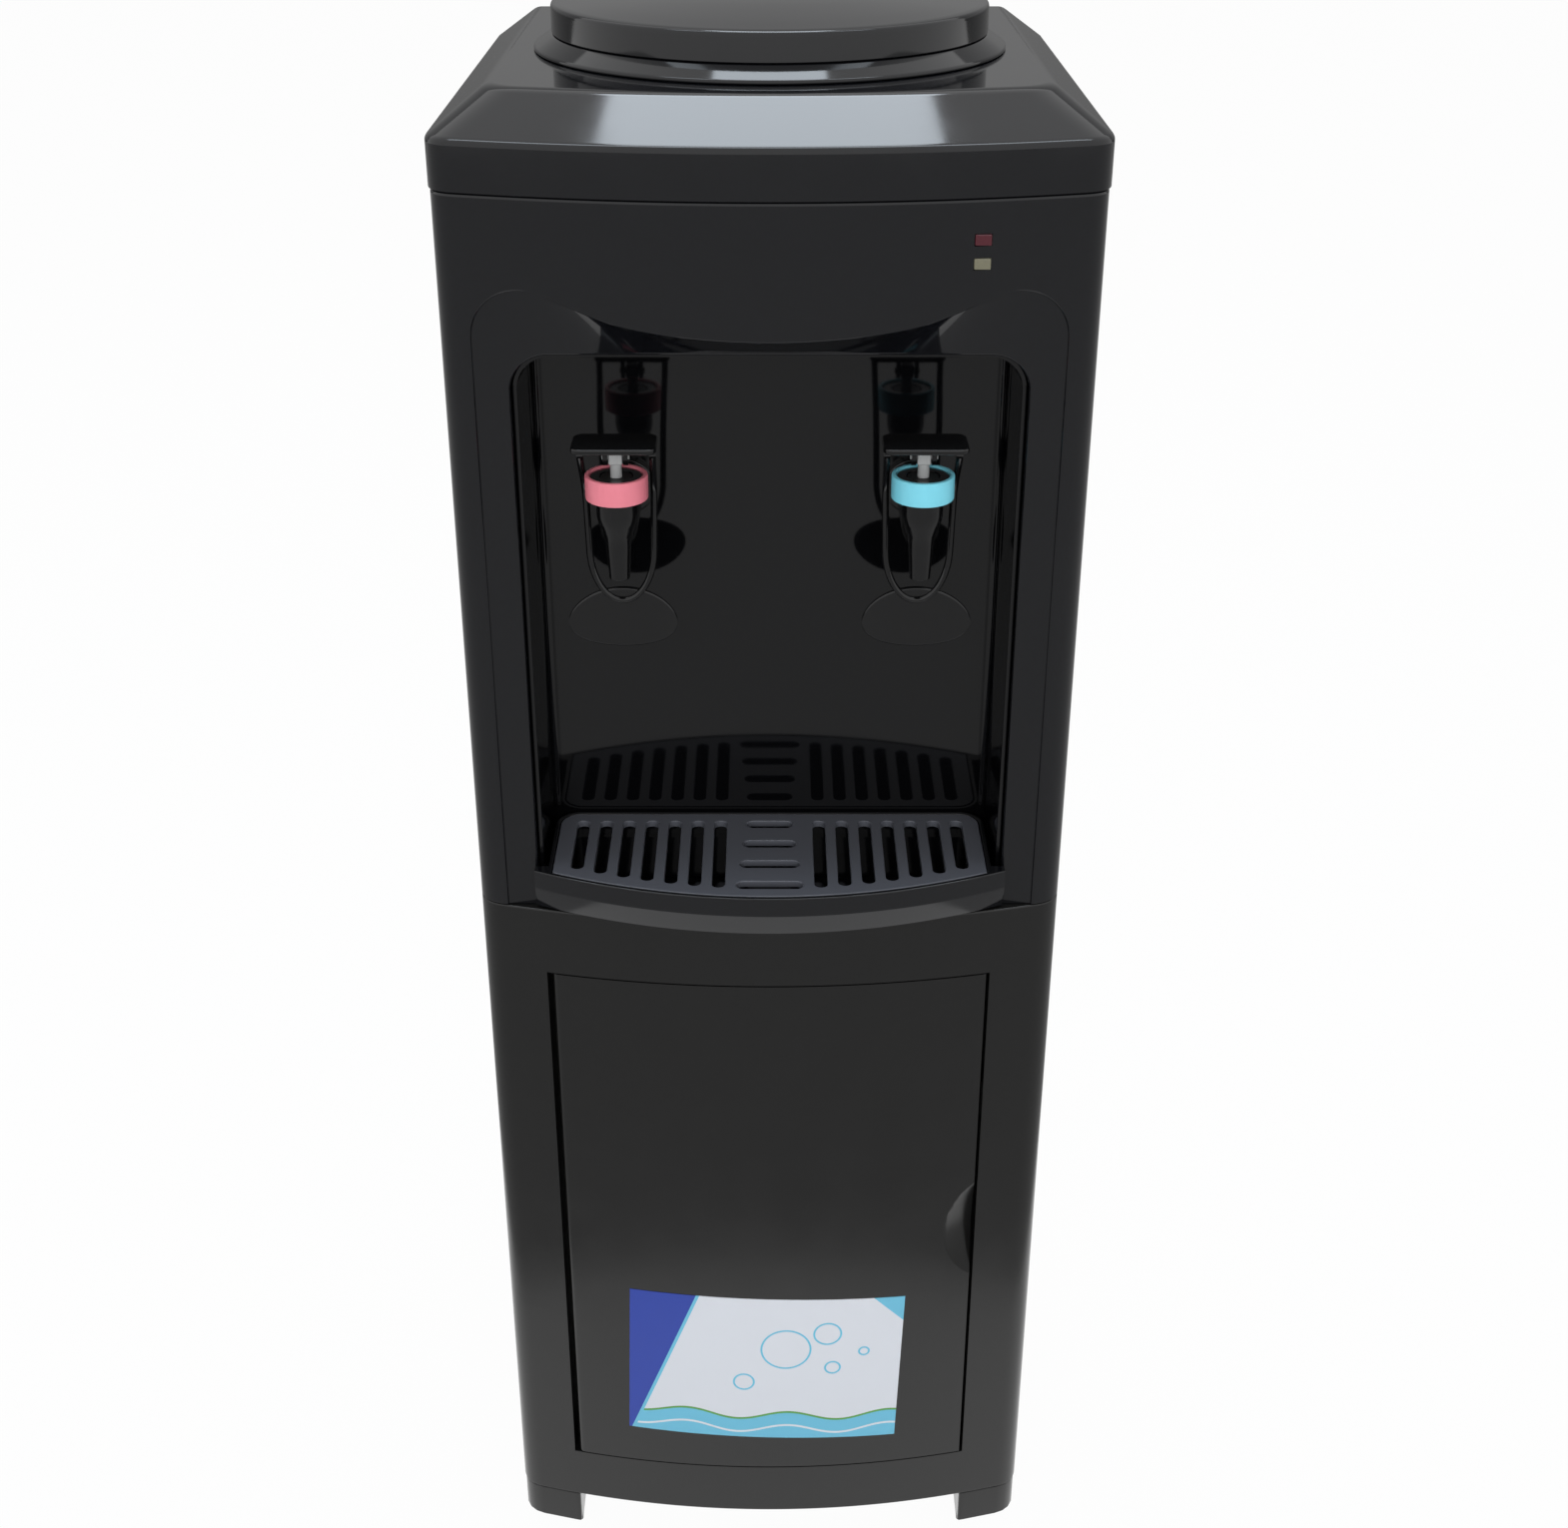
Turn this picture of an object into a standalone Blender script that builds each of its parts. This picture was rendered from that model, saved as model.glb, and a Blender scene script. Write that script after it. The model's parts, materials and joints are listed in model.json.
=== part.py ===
"""Floor water dispenser with a storage cupboard, two cup-lever taps, a drip tray and a bottle seat.

Units are metres and +Z is up. The front faces -Y. The origin lies on the floor, under the middle of the
whole dispenser. Each sub-part is one object, and a moving piece has its origin on its joint's axis.
"""

import math

import bmesh
import bpy
from mathutils import Matrix, Vector

# Whole body
BODY_WIDTH = 0.308
BODY_DEPTH = 0.294
SEAM_HEIGHT = 0.455
UPPER_HEIGHT = 0.3715
FOOT_HEIGHT = 0.030
BOW_DEPTH = 0.0227
CORNER_RADIUS = 0.0125
COVER_LIP = 0.001
WRAP_DEPTH = 0.020
WALL = 0.003
SHEET = 0.0012
GAP = 0.0003
SAME_POINT = 0.000001
OVERRUN = 0.010

# Reach of the drip tray in front and of the drain cap behind
TRAY_PROUD = 0.0153
REAR_REACH = 0.014

# Base and feet
FOOT_WIDTH = 0.036
FOOT_LENGTH = 0.044
FOOT_INSET = 0.0005
FOOT_ROUND = 0.006
PLATE_THICKNESS = 0.008
PLATE_LAP = 0.004

# Cupboard door and its frame
DOOR_MARGIN = 0.037
DOOR_BOTTOM = 0.067
DOOR_DROP = 0.040
DOOR_GAP = 0.0007
HINGE_GAP = 0.0022
DOOR_DEPTH = 0.011
DOOR_WALL = 0.0025
NOSE_RADIUS = 0.005
RETURN_DEPTH = 0.012
SCOOP_RADIUS = 0.031
SCOOP_DEPTH = 0.0085
SCOOP_OUTSET = 0.011
SCOOP_DROP = 0.002
PIN_RADIUS = 0.0024
PIN_LENGTH = 0.0095
PIN_SEAT = 0.006
PIN_PLAY = 0.0005
MAGNET_SIZE = (0.009, 0.009, 0.022)
MAGNET_DROP = 0.090
STRIKE_THICKNESS = 0.001
STRIKE_SIZE = 0.018

# Cupboard liner
LINER_WALL = 0.002
CUPBOARD_MARGIN = 0.005
CUPBOARD_DEPTH = 0.246

# Upper fascia, brow and opening
OPENING_MARGIN = 0.0325
OPENING_DROP = 0.0737
OPENING_RADIUS = 0.018
OPENING_PROUD = 0.003
BAND_REACH = 0.0185
BAND_DROP = 0.040
LOBE_RADIUS = 0.024
BROW_SAG = 0.0227
BAND_STEP = 0.0004

# Recess liner
RECESS_DEPTH = 0.056
RECESS_SETBACK = 0.006
RECESS_DRAFT = 0.002

# Top cover
COVER_SKIRT = 0.023
COVER_RISE = 0.0205
COVER_EDGE = 0.001
SHOULDER_FRONT = 0.035
SHOULDER_SIDE = 0.025
SHOULDER_REAR = 0.030
PLATEAU_CORNER = 0.016
COLLAR_SETBACK = 0.147

# Bottle collar, lid and probe
COLLAR_REACH = 0.006
COLLAR_BULGE = 0.0013
COLLAR_HEIGHT = 0.005
NECK_RADIUS = 0.1055
NECK_RISE = 0.010
NECK_WALL = 0.004
NECK_DROP = 0.038
FUNNEL_THROAT = 0.030
FUNNEL_WALL = 0.0025
FUNNEL_DROP = 0.070
THROAT_HOLE = 0.011
LID_REACH = 0.0033
LID_SKIRT = 0.0135
LID_CROWN = 0.006
LID_WALL = 0.0022
LID_EDGE = 0.0011
PROBE_RADIUS = 0.007
PROBE_BORE = 0.003
PROBE_RISE = 0.050
PROBE_TAIL = 0.030
PROBE_FLANGE = 0.024

# Water tank
TANK_RADIUS = 0.082
TANK_DEPTH = 0.146
TANK_WALL = 0.002
TANK_EDGE = 0.004
TANK_FLANGE_REACH = 0.0065
TANK_SHOULDER = 0.026
TUBE_WALL = 0.003
GASKET_HEIGHT = 0.002
GASKET_WIDTH = 0.006
SPIGOT_RADIUS = 0.006
SPIGOT_LENGTH = 0.008
COLD_PORT = 0.040
SEPARATOR_HEIGHT = 0.050
SEPARATOR_TUBE = 0.009
SEPARATOR_HOLES = 6

# Hot tank and what surrounds it
DECK_DROP = 0.015
DECK_FLANGE = 0.012
DECK_SETBACK = 0.064
STAND_RADIUS = 0.046
STAND_HEIGHT = 0.044
STAND_NOTCH = 0.022
JACKET_RADIUS = 0.066
JACKET_HEIGHT = 0.145
JACKET_FLOOR = 0.012
JACKET_CLEARANCE = 0.003
HOT_TANK_RADIUS = 0.050
HOT_TANK_HEIGHT = 0.130
HOT_TANK_EDGE = 0.005
DRAIN_PORT_PROUD = 0.002
HEATER_HEIGHT = 0.030
HEATER_RISE = 0.025
HEATER_THICKNESS = 0.0024
THERMOSTAT_RADIUS = 0.008
THERMOSTAT_HEIGHT = 0.007
HOT_PORT = 0.028
HOSE_RADIUS = 0.006
HOSE_LEAD = 0.034
HOSE_END = 0.001

# Taps
TAP_INSET = 0.049
TAP_PROUD = 0.012
TAP_DROP = 0.0718
BARREL_RADIUS = 0.0125
BARREL_HEIGHT = 0.028
CHAMBER_RADIUS = 0.008
CHAMBER_DEPTH = 0.0185
TAPER_HEIGHT = 0.007
NOZZLE_TOP_RADIUS = 0.0062
NOZZLE_RADIUS = 0.005
NOZZLE_LENGTH = 0.017
NOZZLE_BORE = 0.0028
BORE_LENGTH = 0.011
TAP_NECK_RADIUS = 0.009
TAP_TAIL = 0.022
TAP_FLANGE_RADIUS = 0.0145
TAP_FLANGE_THICKNESS = 0.004
TAP_HOLE_PLAY = 0.0003
RING_WALL = 0.003
RING_HEIGHT = 0.017
RING_CHAMFER = 0.0008
RING_RISE = 0.001
STEM_RADIUS = 0.0028
STEM_FOOT_RADIUS = 0.0068
STEM_FOOT_HEIGHT = 0.003
STEM_RISE = 0.006
HEAD_WIDTH = 0.0088
HEAD_DEPTH = 0.007
HEAD_HEIGHT = 0.007
TRUNNION_RADIUS = 0.0015
TRUNNION_LENGTH = 0.0148
SEAL_HEIGHT = 0.0035
SEAL_DROP = 0.0004
SEAL_PLAY = 0.0003
SPRING_RADIUS = 0.0052
SPRING_WIRE = 0.0006
SPRING_TURNS = 4
NUT_RADIUS = 0.015
NUT_THICKNESS = 0.006

# Cup levers
PLATE_WIDTH = 0.040
PLATE_FRONT = 0.020
PLATE_REAR = 0.007
LEVER_PLATE = 0.0028
PLATE_CORNER = 0.005
PLATE_LIFT = 0.005
EAR_THICKNESS = 0.0022
EAR_PLAY = 0.0004
EAR_RADIUS = 0.0042
LOOP_HALF = 0.0188
LOOP_STRAIGHT = 0.0540
LOOP_BOTTOM = 0.0272
LOOP_SETBACK = 0.019
LOOP_EASE = 0.036
ARM_WIDTH = 0.0044
ARM_DEPTH = 0.0040
PADDLE_WIDTH = 0.054
PADDLE_HEIGHT = 0.032
PADDLE_DROP = 0.0905
PADDLE_THICKNESS = 0.0025
PADDLE_CURVE = 0.007
PADDLE_TIP = 0.0015

# Drip tray and grille
TRAY_LAP = 0.0015
TRAY_HEIGHT = 0.0237
TRAY_SWEEP = 0.0285
TRAY_UNDERCUT = 0.0045
TRAY_BAND = 0.0133
TRAY_WING = 0.0055
TRAY_SIDE_CLEARANCE = 0.0010
TRAY_REAR_CLEARANCE = 0.0015
TRAY_CORNER = 0.0135
TRAY_WALL = 0.0025
TRAY_FLOOR = 0.0025
LEDGE_WIDTH = 0.003
GRILLE_THICKNESS = 0.0035
GRILLE_PLAY = 0.0004
SLOT_WIDTH = 0.0068
SLOT_PITCH = 0.0124
SLOT_FIRST = 0.0265
SLOT_MARGIN = 0.0075
SLOTS_PER_SIDE = 7
BAR_SLOTS = 4
BAR_SLOT_WIDTH = 0.005
BAR_SLOT_HALF = 0.0125
BAR_SLOT_GROWTH = 0.0016

# Lamps
LAMP_INSET = 0.0585
LAMP_DROP = 0.0181
LAMP_PITCH = 0.0108
LAMP_WIDTH = 0.009
LAMP_HEIGHT = 0.005
LAMP_LENGTH = 0.0073
LAMP_PLAY = 0.0003
BOARD_THICKNESS = 0.0016
BOARD_WIDTH = 0.024
BOARD_HEIGHT = 0.034
BOARD_POST = 0.004

# Rear panel and what it carries
VENT_LENGTH = 0.060
VENT_WIDTH = 0.005
VENT_PITCH = 0.012
VENT_ROWS = 5
VENT_INSET = 0.0835
VENT_LOW = 0.150
VENT_DROP = 0.1365
PANEL_SETBACK = 0.0006
FOLD = 0.014
SCREW_HEAD_RADIUS = 0.0038
SCREW_HEAD_HEIGHT = 0.002
SCREW_RADIUS = 0.0019
SCREW_LENGTH = 0.008
SCREW_PLAY = 0.0003
SCREW_LOW = 0.110
SCREW_DROP = 0.0665
FITTING_INSET = 0.054
SWITCH_RISE = 0.085
ROCKER_RADIUS = 0.010
ROCKER_WIDTH = 0.011
ROCKER_PLAY = 0.0003
ROCKER_AXIS_DEPTH = 0.0055
ROCKER_TILT = 9.0
ROCKER_FACE_ANGLE = 62.0
BEZEL_WALL = 0.0018
BEZEL_FLANGE = 0.0025
BEZEL_THICKNESS = 0.0022
GLAND_RISE = 0.045
GLAND_RADIUS = 0.008
GLAND_BORE = 0.004
GLAND_FLANGE = 0.011
GLAND_LENGTH = 0.009
DRAIN_RISE = 0.007
SPOUT_RADIUS = 0.008
SPOUT_BORE = 0.005
SPOUT_FLANGE = 0.013
SPOUT_FLANGE_THICKNESS = 0.003
SPOUT_REACH = 0.010
SPOUT_TAIL = 0.014
CAP_WALL = 0.0022
CAP_END = 0.0025
TERMINAL_SIZE = (0.044, 0.024, 0.018)
TERMINAL_INSET = 0.059
TERMINAL_SETBACK = 0.033
TERMINAL_WELLS = 3
TERMINAL_PITCH = 0.012
TERMINAL_WELL_RADIUS = 0.004

# Fineness of the curves
BOW_STEPS = 14
CORNER_STEPS = 4
ARC_STEPS = 5
BROW_STEPS = 5
ROUND_STEPS = 28
INNER_STEPS = 18
TUBE_STEPS = 12
SMALL_STEPS = 10
HOSE_STEPS = 9
HOSE_SIDES = 7
SPRING_SIDES = 4
SPRING_STEPS = 9
ARM_SIDES = 6
NUT_SIDES = 6
PLATE_STEPS = 3
SLOT_STEPS = 2
VENT_STEPS = 1
SHARP_ANGLE = 32

# Shares that shape the brow's S-curve, along its run and down its sag
BROW_TURN_SHARES = (0.655, 0.383)
BROW_LOBE_HANDLE_SHARES = ((0.888, 0.0), (0.759, 0.620))
BROW_SMILE_HANDLE_SHARES = ((0.534, 0.894), (0.302, 1.0))

# Shares of the lid's radius and of its crown's rise
LID_CROWN_SHARES = ((0.97, 0.12), (0.75, 0.45), (0.40, 0.85), (0.0, 1.0))

# Where the separator's holes lie, as a share of its radius
SEPARATOR_HOLE_SHARE = 0.7

# Shares of the run to the funnel's throat and of the funnel's drop
FUNNEL_SHARES = ((1.00, 0.0), (0.93, 0.18), (0.80, 0.42), (0.45, 0.86))

# Values worked out from the sizes above
HALF = BODY_WIDTH / 2
BOW_HALF = HALF + COVER_LIP
BODY_TOP = SEAM_HEIGHT + UPPER_HEIGHT
OPENING_WIDTH = BODY_WIDTH - OPENING_MARGIN - OPENING_MARGIN
BAND_WIDTH = OPENING_WIDTH + BAND_REACH + BAND_REACH
TRAY_WIDTH = OPENING_WIDTH + TRAY_LAP + TRAY_LAP
LAMP_OFFSET = HALF - LAMP_INSET
TAP_SPACING = OPENING_WIDTH - TAP_INSET - TAP_INSET
FRONT_Y = (BOW_DEPTH + TRAY_PROUD - BODY_DEPTH - REAR_REACH) / 2
BACK_Y = FRONT_Y + BODY_DEPTH
WRAP_Y = FRONT_Y + WRAP_DEPTH
OPENING_Y = FRONT_Y - OPENING_PROUD
RETURN_Y = FRONT_Y + RETURN_DEPTH
RECESS_Y = FRONT_Y + RECESS_DEPTH
RIM_HEIGHT = BODY_TOP + COVER_SKIRT
PLATEAU_HEIGHT = RIM_HEIGHT + COVER_RISE
COLLAR_Y = FRONT_Y + COLLAR_SETBACK
COLLAR_TOP = PLATEAU_HEIGHT + GAP + COLLAR_HEIGHT
COLLAR_RADIUS = NECK_RADIUS + COLLAR_REACH
LID_RADIUS = NECK_RADIUS + LID_REACH
TANK_FLANGE = NECK_RADIUS + TANK_FLANGE_REACH
THROAT_HEIGHT = PLATEAU_HEIGHT - FUNNEL_DROP
OPENING_TOP = BODY_TOP - OPENING_DROP
BAND_TOP = BODY_TOP - BAND_DROP
DOOR_TOP = SEAM_HEIGHT - DOOR_DROP
DOOR_HALF = HALF - DOOR_MARGIN
SCOOP_HEIGHT = (DOOR_BOTTOM + DOOR_TOP) / 2 - SCOOP_DROP
PIN_X = NOSE_RADIUS - DOOR_HALF
DECK_HEIGHT = SEAM_HEIGHT - DECK_DROP
TAP_Y = FRONT_Y - TAP_PROUD
BARREL_TOP = OPENING_TOP - TAP_DROP + RING_HEIGHT - RING_RISE
NECK_HEIGHT = BARREL_TOP - BARREL_HEIGHT - RING_RISE
SHOULDER_HEIGHT = PLATEAU_HEIGHT - NECK_DROP
TANK_TOP = SHOULDER_HEIGHT - GASKET_HEIGHT - GAP - GAP
TANK_BOTTOM = TANK_TOP - TANK_DEPTH
STAND_TOP = DECK_HEIGHT + SHEET + GAP + STAND_HEIGHT
HOT_TANK_BOTTOM = STAND_TOP + GAP + JACKET_FLOOR + GAP
HOT_TANK_TOP = HOT_TANK_BOTTOM + HOT_TANK_HEIGHT
PIVOT_HEIGHT = BARREL_TOP + STEM_RISE + HEAD_HEIGHT / 2
ROCKER_Y = BACK_Y - ROCKER_AXIS_DEPTH
VENT_OFFSET = HALF - VENT_INSET
VENT_HEIGHTS = (VENT_LOW, BODY_TOP - VENT_DROP)
SCREW_HEIGHTS = (SCREW_LOW, BODY_TOP - SCREW_DROP)
SWITCH_OFFSET = HALF - FITTING_INSET
GLAND_OFFSET = HALF - FITTING_INSET
GLAND_HEIGHT = SEAM_HEIGHT + GLAND_RISE
SWITCH_HEIGHT = GLAND_HEIGHT + SWITCH_RISE
DRAIN_HEIGHT = SEAM_HEIGHT + DRAIN_RISE
TERMINAL_OFFSET = HALF - TERMINAL_INSET


def clear_scene():
    """Remove the objects that a new scene starts with."""
    for obj in list(bpy.data.objects):
        bpy.data.objects.remove(obj, do_unlink=True)


def material(name, colour, roughness, metallic=0.0):
    """A Principled material with one colour."""
    made = bpy.data.materials.get(name) or bpy.data.materials.new(name)
    made.use_nodes = True
    shader = made.node_tree.nodes["Principled BSDF"]
    shader.inputs["Base Color"].default_value = (*colour, 1.0)
    shader.inputs["Roughness"].default_value = roughness
    shader.inputs["Metallic"].default_value = metallic
    return made


def gloss_black():
    return material("gloss_black", (0.018, 0.018, 0.019), 0.12)


def satin_black():
    return material("satin_black", (0.020, 0.020, 0.020), 0.35)


def painted_black():
    return material("painted_black", (0.020, 0.020, 0.021), 0.30, 0.2)


def zinc_steel():
    return material("zinc_steel", (0.55, 0.56, 0.58), 0.35, 1.0)


def stainless():
    return material("stainless", (0.62, 0.62, 0.60), 0.25, 1.0)


def milky_plastic():
    return material("milky_plastic", (0.80, 0.81, 0.80), 0.45)


def silicone():
    return material("silicone", (0.72, 0.73, 0.72), 0.60)


def foam():
    return material("foam", (0.75, 0.68, 0.45), 0.90)


def place(axis, u, v, w):
    """A point whose outline coordinates are u and v and whose height along the axis is w."""
    if axis == "Z":
        return Vector((u, v, w))
    if axis == "Y":
        return Vector((u, w, v))
    return Vector((w, u, v))


def solid_object(name, bm):
    """Turn a bmesh into a linked object with its faces pointing out."""
    bmesh.ops.recalc_face_normals(bm, faces=bm.faces[:])
    mesh = bpy.data.meshes.new(name)
    bm.to_mesh(mesh)
    bm.free()
    obj = bpy.data.objects.new(name, mesh)
    bpy.context.scene.collection.objects.link(obj)
    return obj


def prism(name, outline, low, high, axis="Z"):
    """Extrude a closed outline along an axis, from low to high."""
    bm = bmesh.new()
    face = bm.faces.new([bm.verts.new(place(axis, u, v, low)) for u, v in outline])
    grown = bmesh.ops.extrude_face_region(bm, geom=[face])
    moved = [item for item in grown["geom"] if isinstance(item, bmesh.types.BMVert)]
    bmesh.ops.translate(bm, verts=moved, vec=place(axis, 0, 0, high - low))
    return solid_object(name, bm)


def block(name, low, high):
    """A box between two corners."""
    outline = [(low[0], low[1]), (high[0], low[1]), (high[0], high[1]), (low[0], high[1])]
    return prism(name, outline, low[2], high[2])


def revolve(name, profile, centre, axis="Z", steps=ROUND_STEPS, turn=0.0):
    """Turn a profile of (radius, height) points round an axis through the centre.

    A profile whose two ends lie on the axis is left open there, and any other one is closed.
    """
    open_ended = profile[0][0] == 0 and profile[-1][0] == 0
    bm = bmesh.new()
    rings = []
    for radius, height in profile:
        if radius == 0:
            rings.append([bm.verts.new(centre + place(axis, 0, 0, height))])
            continue
        ring = []
        for step in range(steps):
            angle = turn + 2 * math.pi * step / steps
            spot = place(axis, radius * math.cos(angle), radius * math.sin(angle), height)
            ring.append(bm.verts.new(centre + spot))
        rings.append(ring)
    pairs = list(zip(rings, rings[1:]))
    if not open_ended:
        pairs.append((rings[-1], rings[0]))
    for one, two in pairs:
        for step in range(steps):
            ahead = (step + 1) % steps
            corners = []
            for ring, at in ((one, step), (one, ahead), (two, ahead), (two, step)):
                corner = ring[at % len(ring)]
                if corner not in corners:
                    corners.append(corner)
            bm.faces.new(corners)
    return solid_object(name, bm)


def cylinder(name, radius, centre, low, high, axis="Z", steps=TUBE_STEPS, turn=0.0):
    """A plain cylinder along an axis."""
    profile = [(0, low), (radius, low), (radius, high), (0, high)]
    return revolve(name, profile, centre, axis, steps, turn)


def loft(name, rings):
    """Join rings of points in order, with a cap at each end."""
    bm = bmesh.new()
    rows = [[bm.verts.new(point) for point in ring] for ring in rings]
    bm.faces.new(rows[0])
    bm.faces.new(rows[-1])
    for one, two in zip(rows, rows[1:]):
        for at in range(len(one)):
            ahead = (at + 1) % len(one)
            bm.faces.new((one[at], one[ahead], two[ahead], two[at]))
    return solid_object(name, bm)


def sweep(name, path, width, depth, sides):
    """An oval bar along a path that lies close to a plane facing the front."""
    rings = []
    for at, point in enumerate(path):
        before = path[max(at - 1, 0)]
        after = path[min(at + 1, len(path) - 1)]
        along = (after - before).normalized()
        side = along.cross(Vector((0, 1, 0))).normalized()
        lift = side.cross(along)
        ring = []
        for step in range(sides):
            angle = math.tau * (step + 0.5) / sides
            across = side * (math.cos(angle) * width / 2)
            ring.append(point + across + lift * (math.sin(angle) * depth / 2))
        rings.append(ring)
    return loft(name, rings)


def combine(target, tool, operation="DIFFERENCE"):
    """Cut the tool from the target, or join it to the target, and use the tool up."""
    change = target.modifiers.new(operation.lower(), "BOOLEAN")
    change.operation = operation
    change.solver = "EXACT"
    change.object = tool
    graph = bpy.context.evaluated_depsgraph_get()
    mesh = bpy.data.meshes.new_from_object(target.evaluated_get(graph))
    target.modifiers.clear()
    target.data = mesh
    bpy.data.objects.remove(tool, do_unlink=True)
    return target


def cut(target, *tools):
    for tool in tools:
        combine(target, tool)
    return target


def join(target, *tools):
    for tool in tools:
        combine(target, tool, "UNION")
    return target


def gather(name, pieces):
    """Put separate solids into one object without joining them."""
    bm = bmesh.new()
    for piece in pieces:
        bm.from_mesh(piece.data)
        bpy.data.objects.remove(piece, do_unlink=True)
    return solid_object(name, bm)


def finish(obj, finish_material, pivot=None):
    """Give the piece its material and shading, and put its origin on its joint's axis."""
    obj.data.materials.clear()
    obj.data.materials.append(finish_material)
    if pivot is not None:
        for vertex in obj.data.vertices:
            vertex.co -= pivot
        obj.location = pivot
    obj.data.shade_smooth()
    obj.data.set_sharp_from_angle(angle=math.radians(SHARP_ANGLE))
    return obj


def bow_y(x, inset=0.0):
    """The bowed front surface at x, moved back by inset."""
    return FRONT_Y + inset - BOW_DEPTH * (1 - (x / BOW_HALF) ** 2)


def bow_slope(x):
    """How fast the bowed front runs back with x."""
    return 2 * BOW_DEPTH * x / BOW_HALF**2


def curve_points(corners, steps):
    """Points of a Bezier curve, its first one left out."""
    points = []
    for step in range(1, steps + 1):
        share = step / steps
        row = [Vector(corner) for corner in corners]
        while len(row) > 1:
            row = [one.lerp(two, share) for one, two in zip(row, row[1:])]
        points.append(tuple(row[0]))
    return points


def front_outline(half, inset, corner, back):
    """Plan outline with a bowed front and rounded corners, from the rear left to the rear right."""
    run = half - corner
    start_y = bow_y(run, inset)
    bend_y = start_y + bow_slope(run) * corner
    left = [(-half, bend_y + corner)]
    left += curve_points([(-half, bend_y + corner), (-half, bend_y), (-run, start_y)], CORNER_STEPS)
    middle = [
        (run * (2 * step / BOW_STEPS - 1), bow_y(run * (2 * step / BOW_STEPS - 1), inset))
        for step in range(1, BOW_STEPS)
    ]
    right = [(-x, y) for x, y in reversed(left)]
    return [(-half, back)] + left + middle + right + [(half, back)]


def arc(centre_x, centre_y, radius, start, end, steps):
    """Points along an arc, both ends included, with angles in degrees."""
    points = []
    for step in range(steps + 1):
        angle = math.radians(start + (end - start) * step / steps)
        points.append((centre_x + radius * math.cos(angle), centre_y + radius * math.sin(angle)))
    return points


def mirrored(left):
    """A left half outline that ends on the centre line, followed by its mirror image."""
    return left + [(-x, z) for x, z in reversed(left[:-1])]


def band_outline(grow, low):
    """The smile-shaped outer edge of the bevel band, from the bottom left round to the bottom right."""
    half = BAND_WIDTH / 2 + grow
    radius = LOBE_RADIUS + grow
    top = BAND_TOP + grow
    run = half - radius
    left = [(-half, low)] + arc(-run, top - radius, radius, 180, 90, ARC_STEPS)

    def at(shares):
        return (-run * shares[0], top - BROW_SAG * shares[1])

    turn = at(BROW_TURN_SHARES)
    left += curve_points([(-run, top), *map(at, BROW_LOBE_HANDLE_SHARES), turn], BROW_STEPS)
    left += curve_points([turn, *map(at, BROW_SMILE_HANDLE_SHARES), (0.0, top - BROW_SAG)], BROW_STEPS)
    return mirrored(left)


def opening_outline(grow, low):
    """The opening's edge, with as many points as the band's outer edge."""
    half = OPENING_WIDTH / 2 + grow
    radius = OPENING_RADIUS + grow
    top = OPENING_TOP + grow
    run = half - radius
    left = [(-half, low)] + arc(-run, top - radius, radius, 180, 90, ARC_STEPS)
    count = 2 * BROW_STEPS
    left += [(-run * (1 - step / count), top) for step in range(1, count + 1)]
    return mirrored(left)


def opening_loft(name, grow, setback, low):
    """The space in front of the bevel band and through the opening, grown all round and set back."""
    outer = band_outline(grow, low)
    inner = opening_outline(grow, low)
    front = FRONT_Y - BOW_DEPTH - OVERRUN
    back = WRAP_Y + OVERRUN + OVERRUN
    rings = [
        [Vector((x, front, z)) for x, z in outer],
        [Vector((x, bow_y(x, BAND_STEP + setback), z)) for x, z in outer],
        [Vector((x, OPENING_Y + setback, z)) for x, z in inner],
        [Vector((x, back, z)) for x, z in inner],
    ]
    return loft(name, rings)


def rounded_box_outline(low_u, low_v, high_u, high_v, radius, steps):
    """A rectangle with four rounded corners, without points that lie on the one before."""
    outline = arc(low_u + radius, low_v + radius, radius, 180, 270, steps)
    outline += arc(high_u - radius, low_v + radius, radius, 270, 360, steps)
    outline += arc(high_u - radius, high_v - radius, radius, 0, 90, steps)
    outline += arc(low_u + radius, high_v - radius, radius, 90, 180, steps)
    return [point for at, point in enumerate(outline) if math.dist(point, outline[at - 1]) > SAME_POINT]


def make_base():
    """Base plate with four feet, the front pair following the bowed front."""
    half = HALF - FOOT_INSET
    corner = CORNER_RADIUS - FOOT_INSET
    outline = front_outline(half, FOOT_INSET, corner, BACK_Y - FOOT_INSET)
    feet = prism("base", outline, 0, FOOT_HEIGHT)
    bm = bmesh.new()
    bm.from_mesh(feet.data)
    lower = [edge for edge in bm.edges if all(vertex.co.z == 0 for vertex in edge.verts)]
    bmesh.ops.bevel(bm, geom=lower, offset=FOOT_ROUND, segments=2, affect="EDGES")
    bm.to_mesh(feet.data)
    bm.free()
    reach = half - FOOT_WIDTH
    low = -OVERRUN
    high = FOOT_HEIGHT + OVERRUN
    ahead = FRONT_Y - BOW_DEPTH - OVERRUN
    aside = HALF + OVERRUN
    cut(
        feet,
        block("cross", (-reach, ahead, low), (reach, BACK_Y + OVERRUN, high)),
        block("sides", (-aside, FRONT_Y + FOOT_LENGTH, low), (aside, BACK_Y - FOOT_LENGTH, high)),
    )
    inset = WALL + WALL
    plate_outline = front_outline(HALF - FOLD - GAP, inset, CORNER_RADIUS, BACK_Y - inset)
    bottom = FOOT_HEIGHT - PLATE_LAP
    plate = prism("plate", plate_outline, bottom, bottom + PLATE_THICKNESS)
    return finish(join(feet, plate), satin_black())


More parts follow.
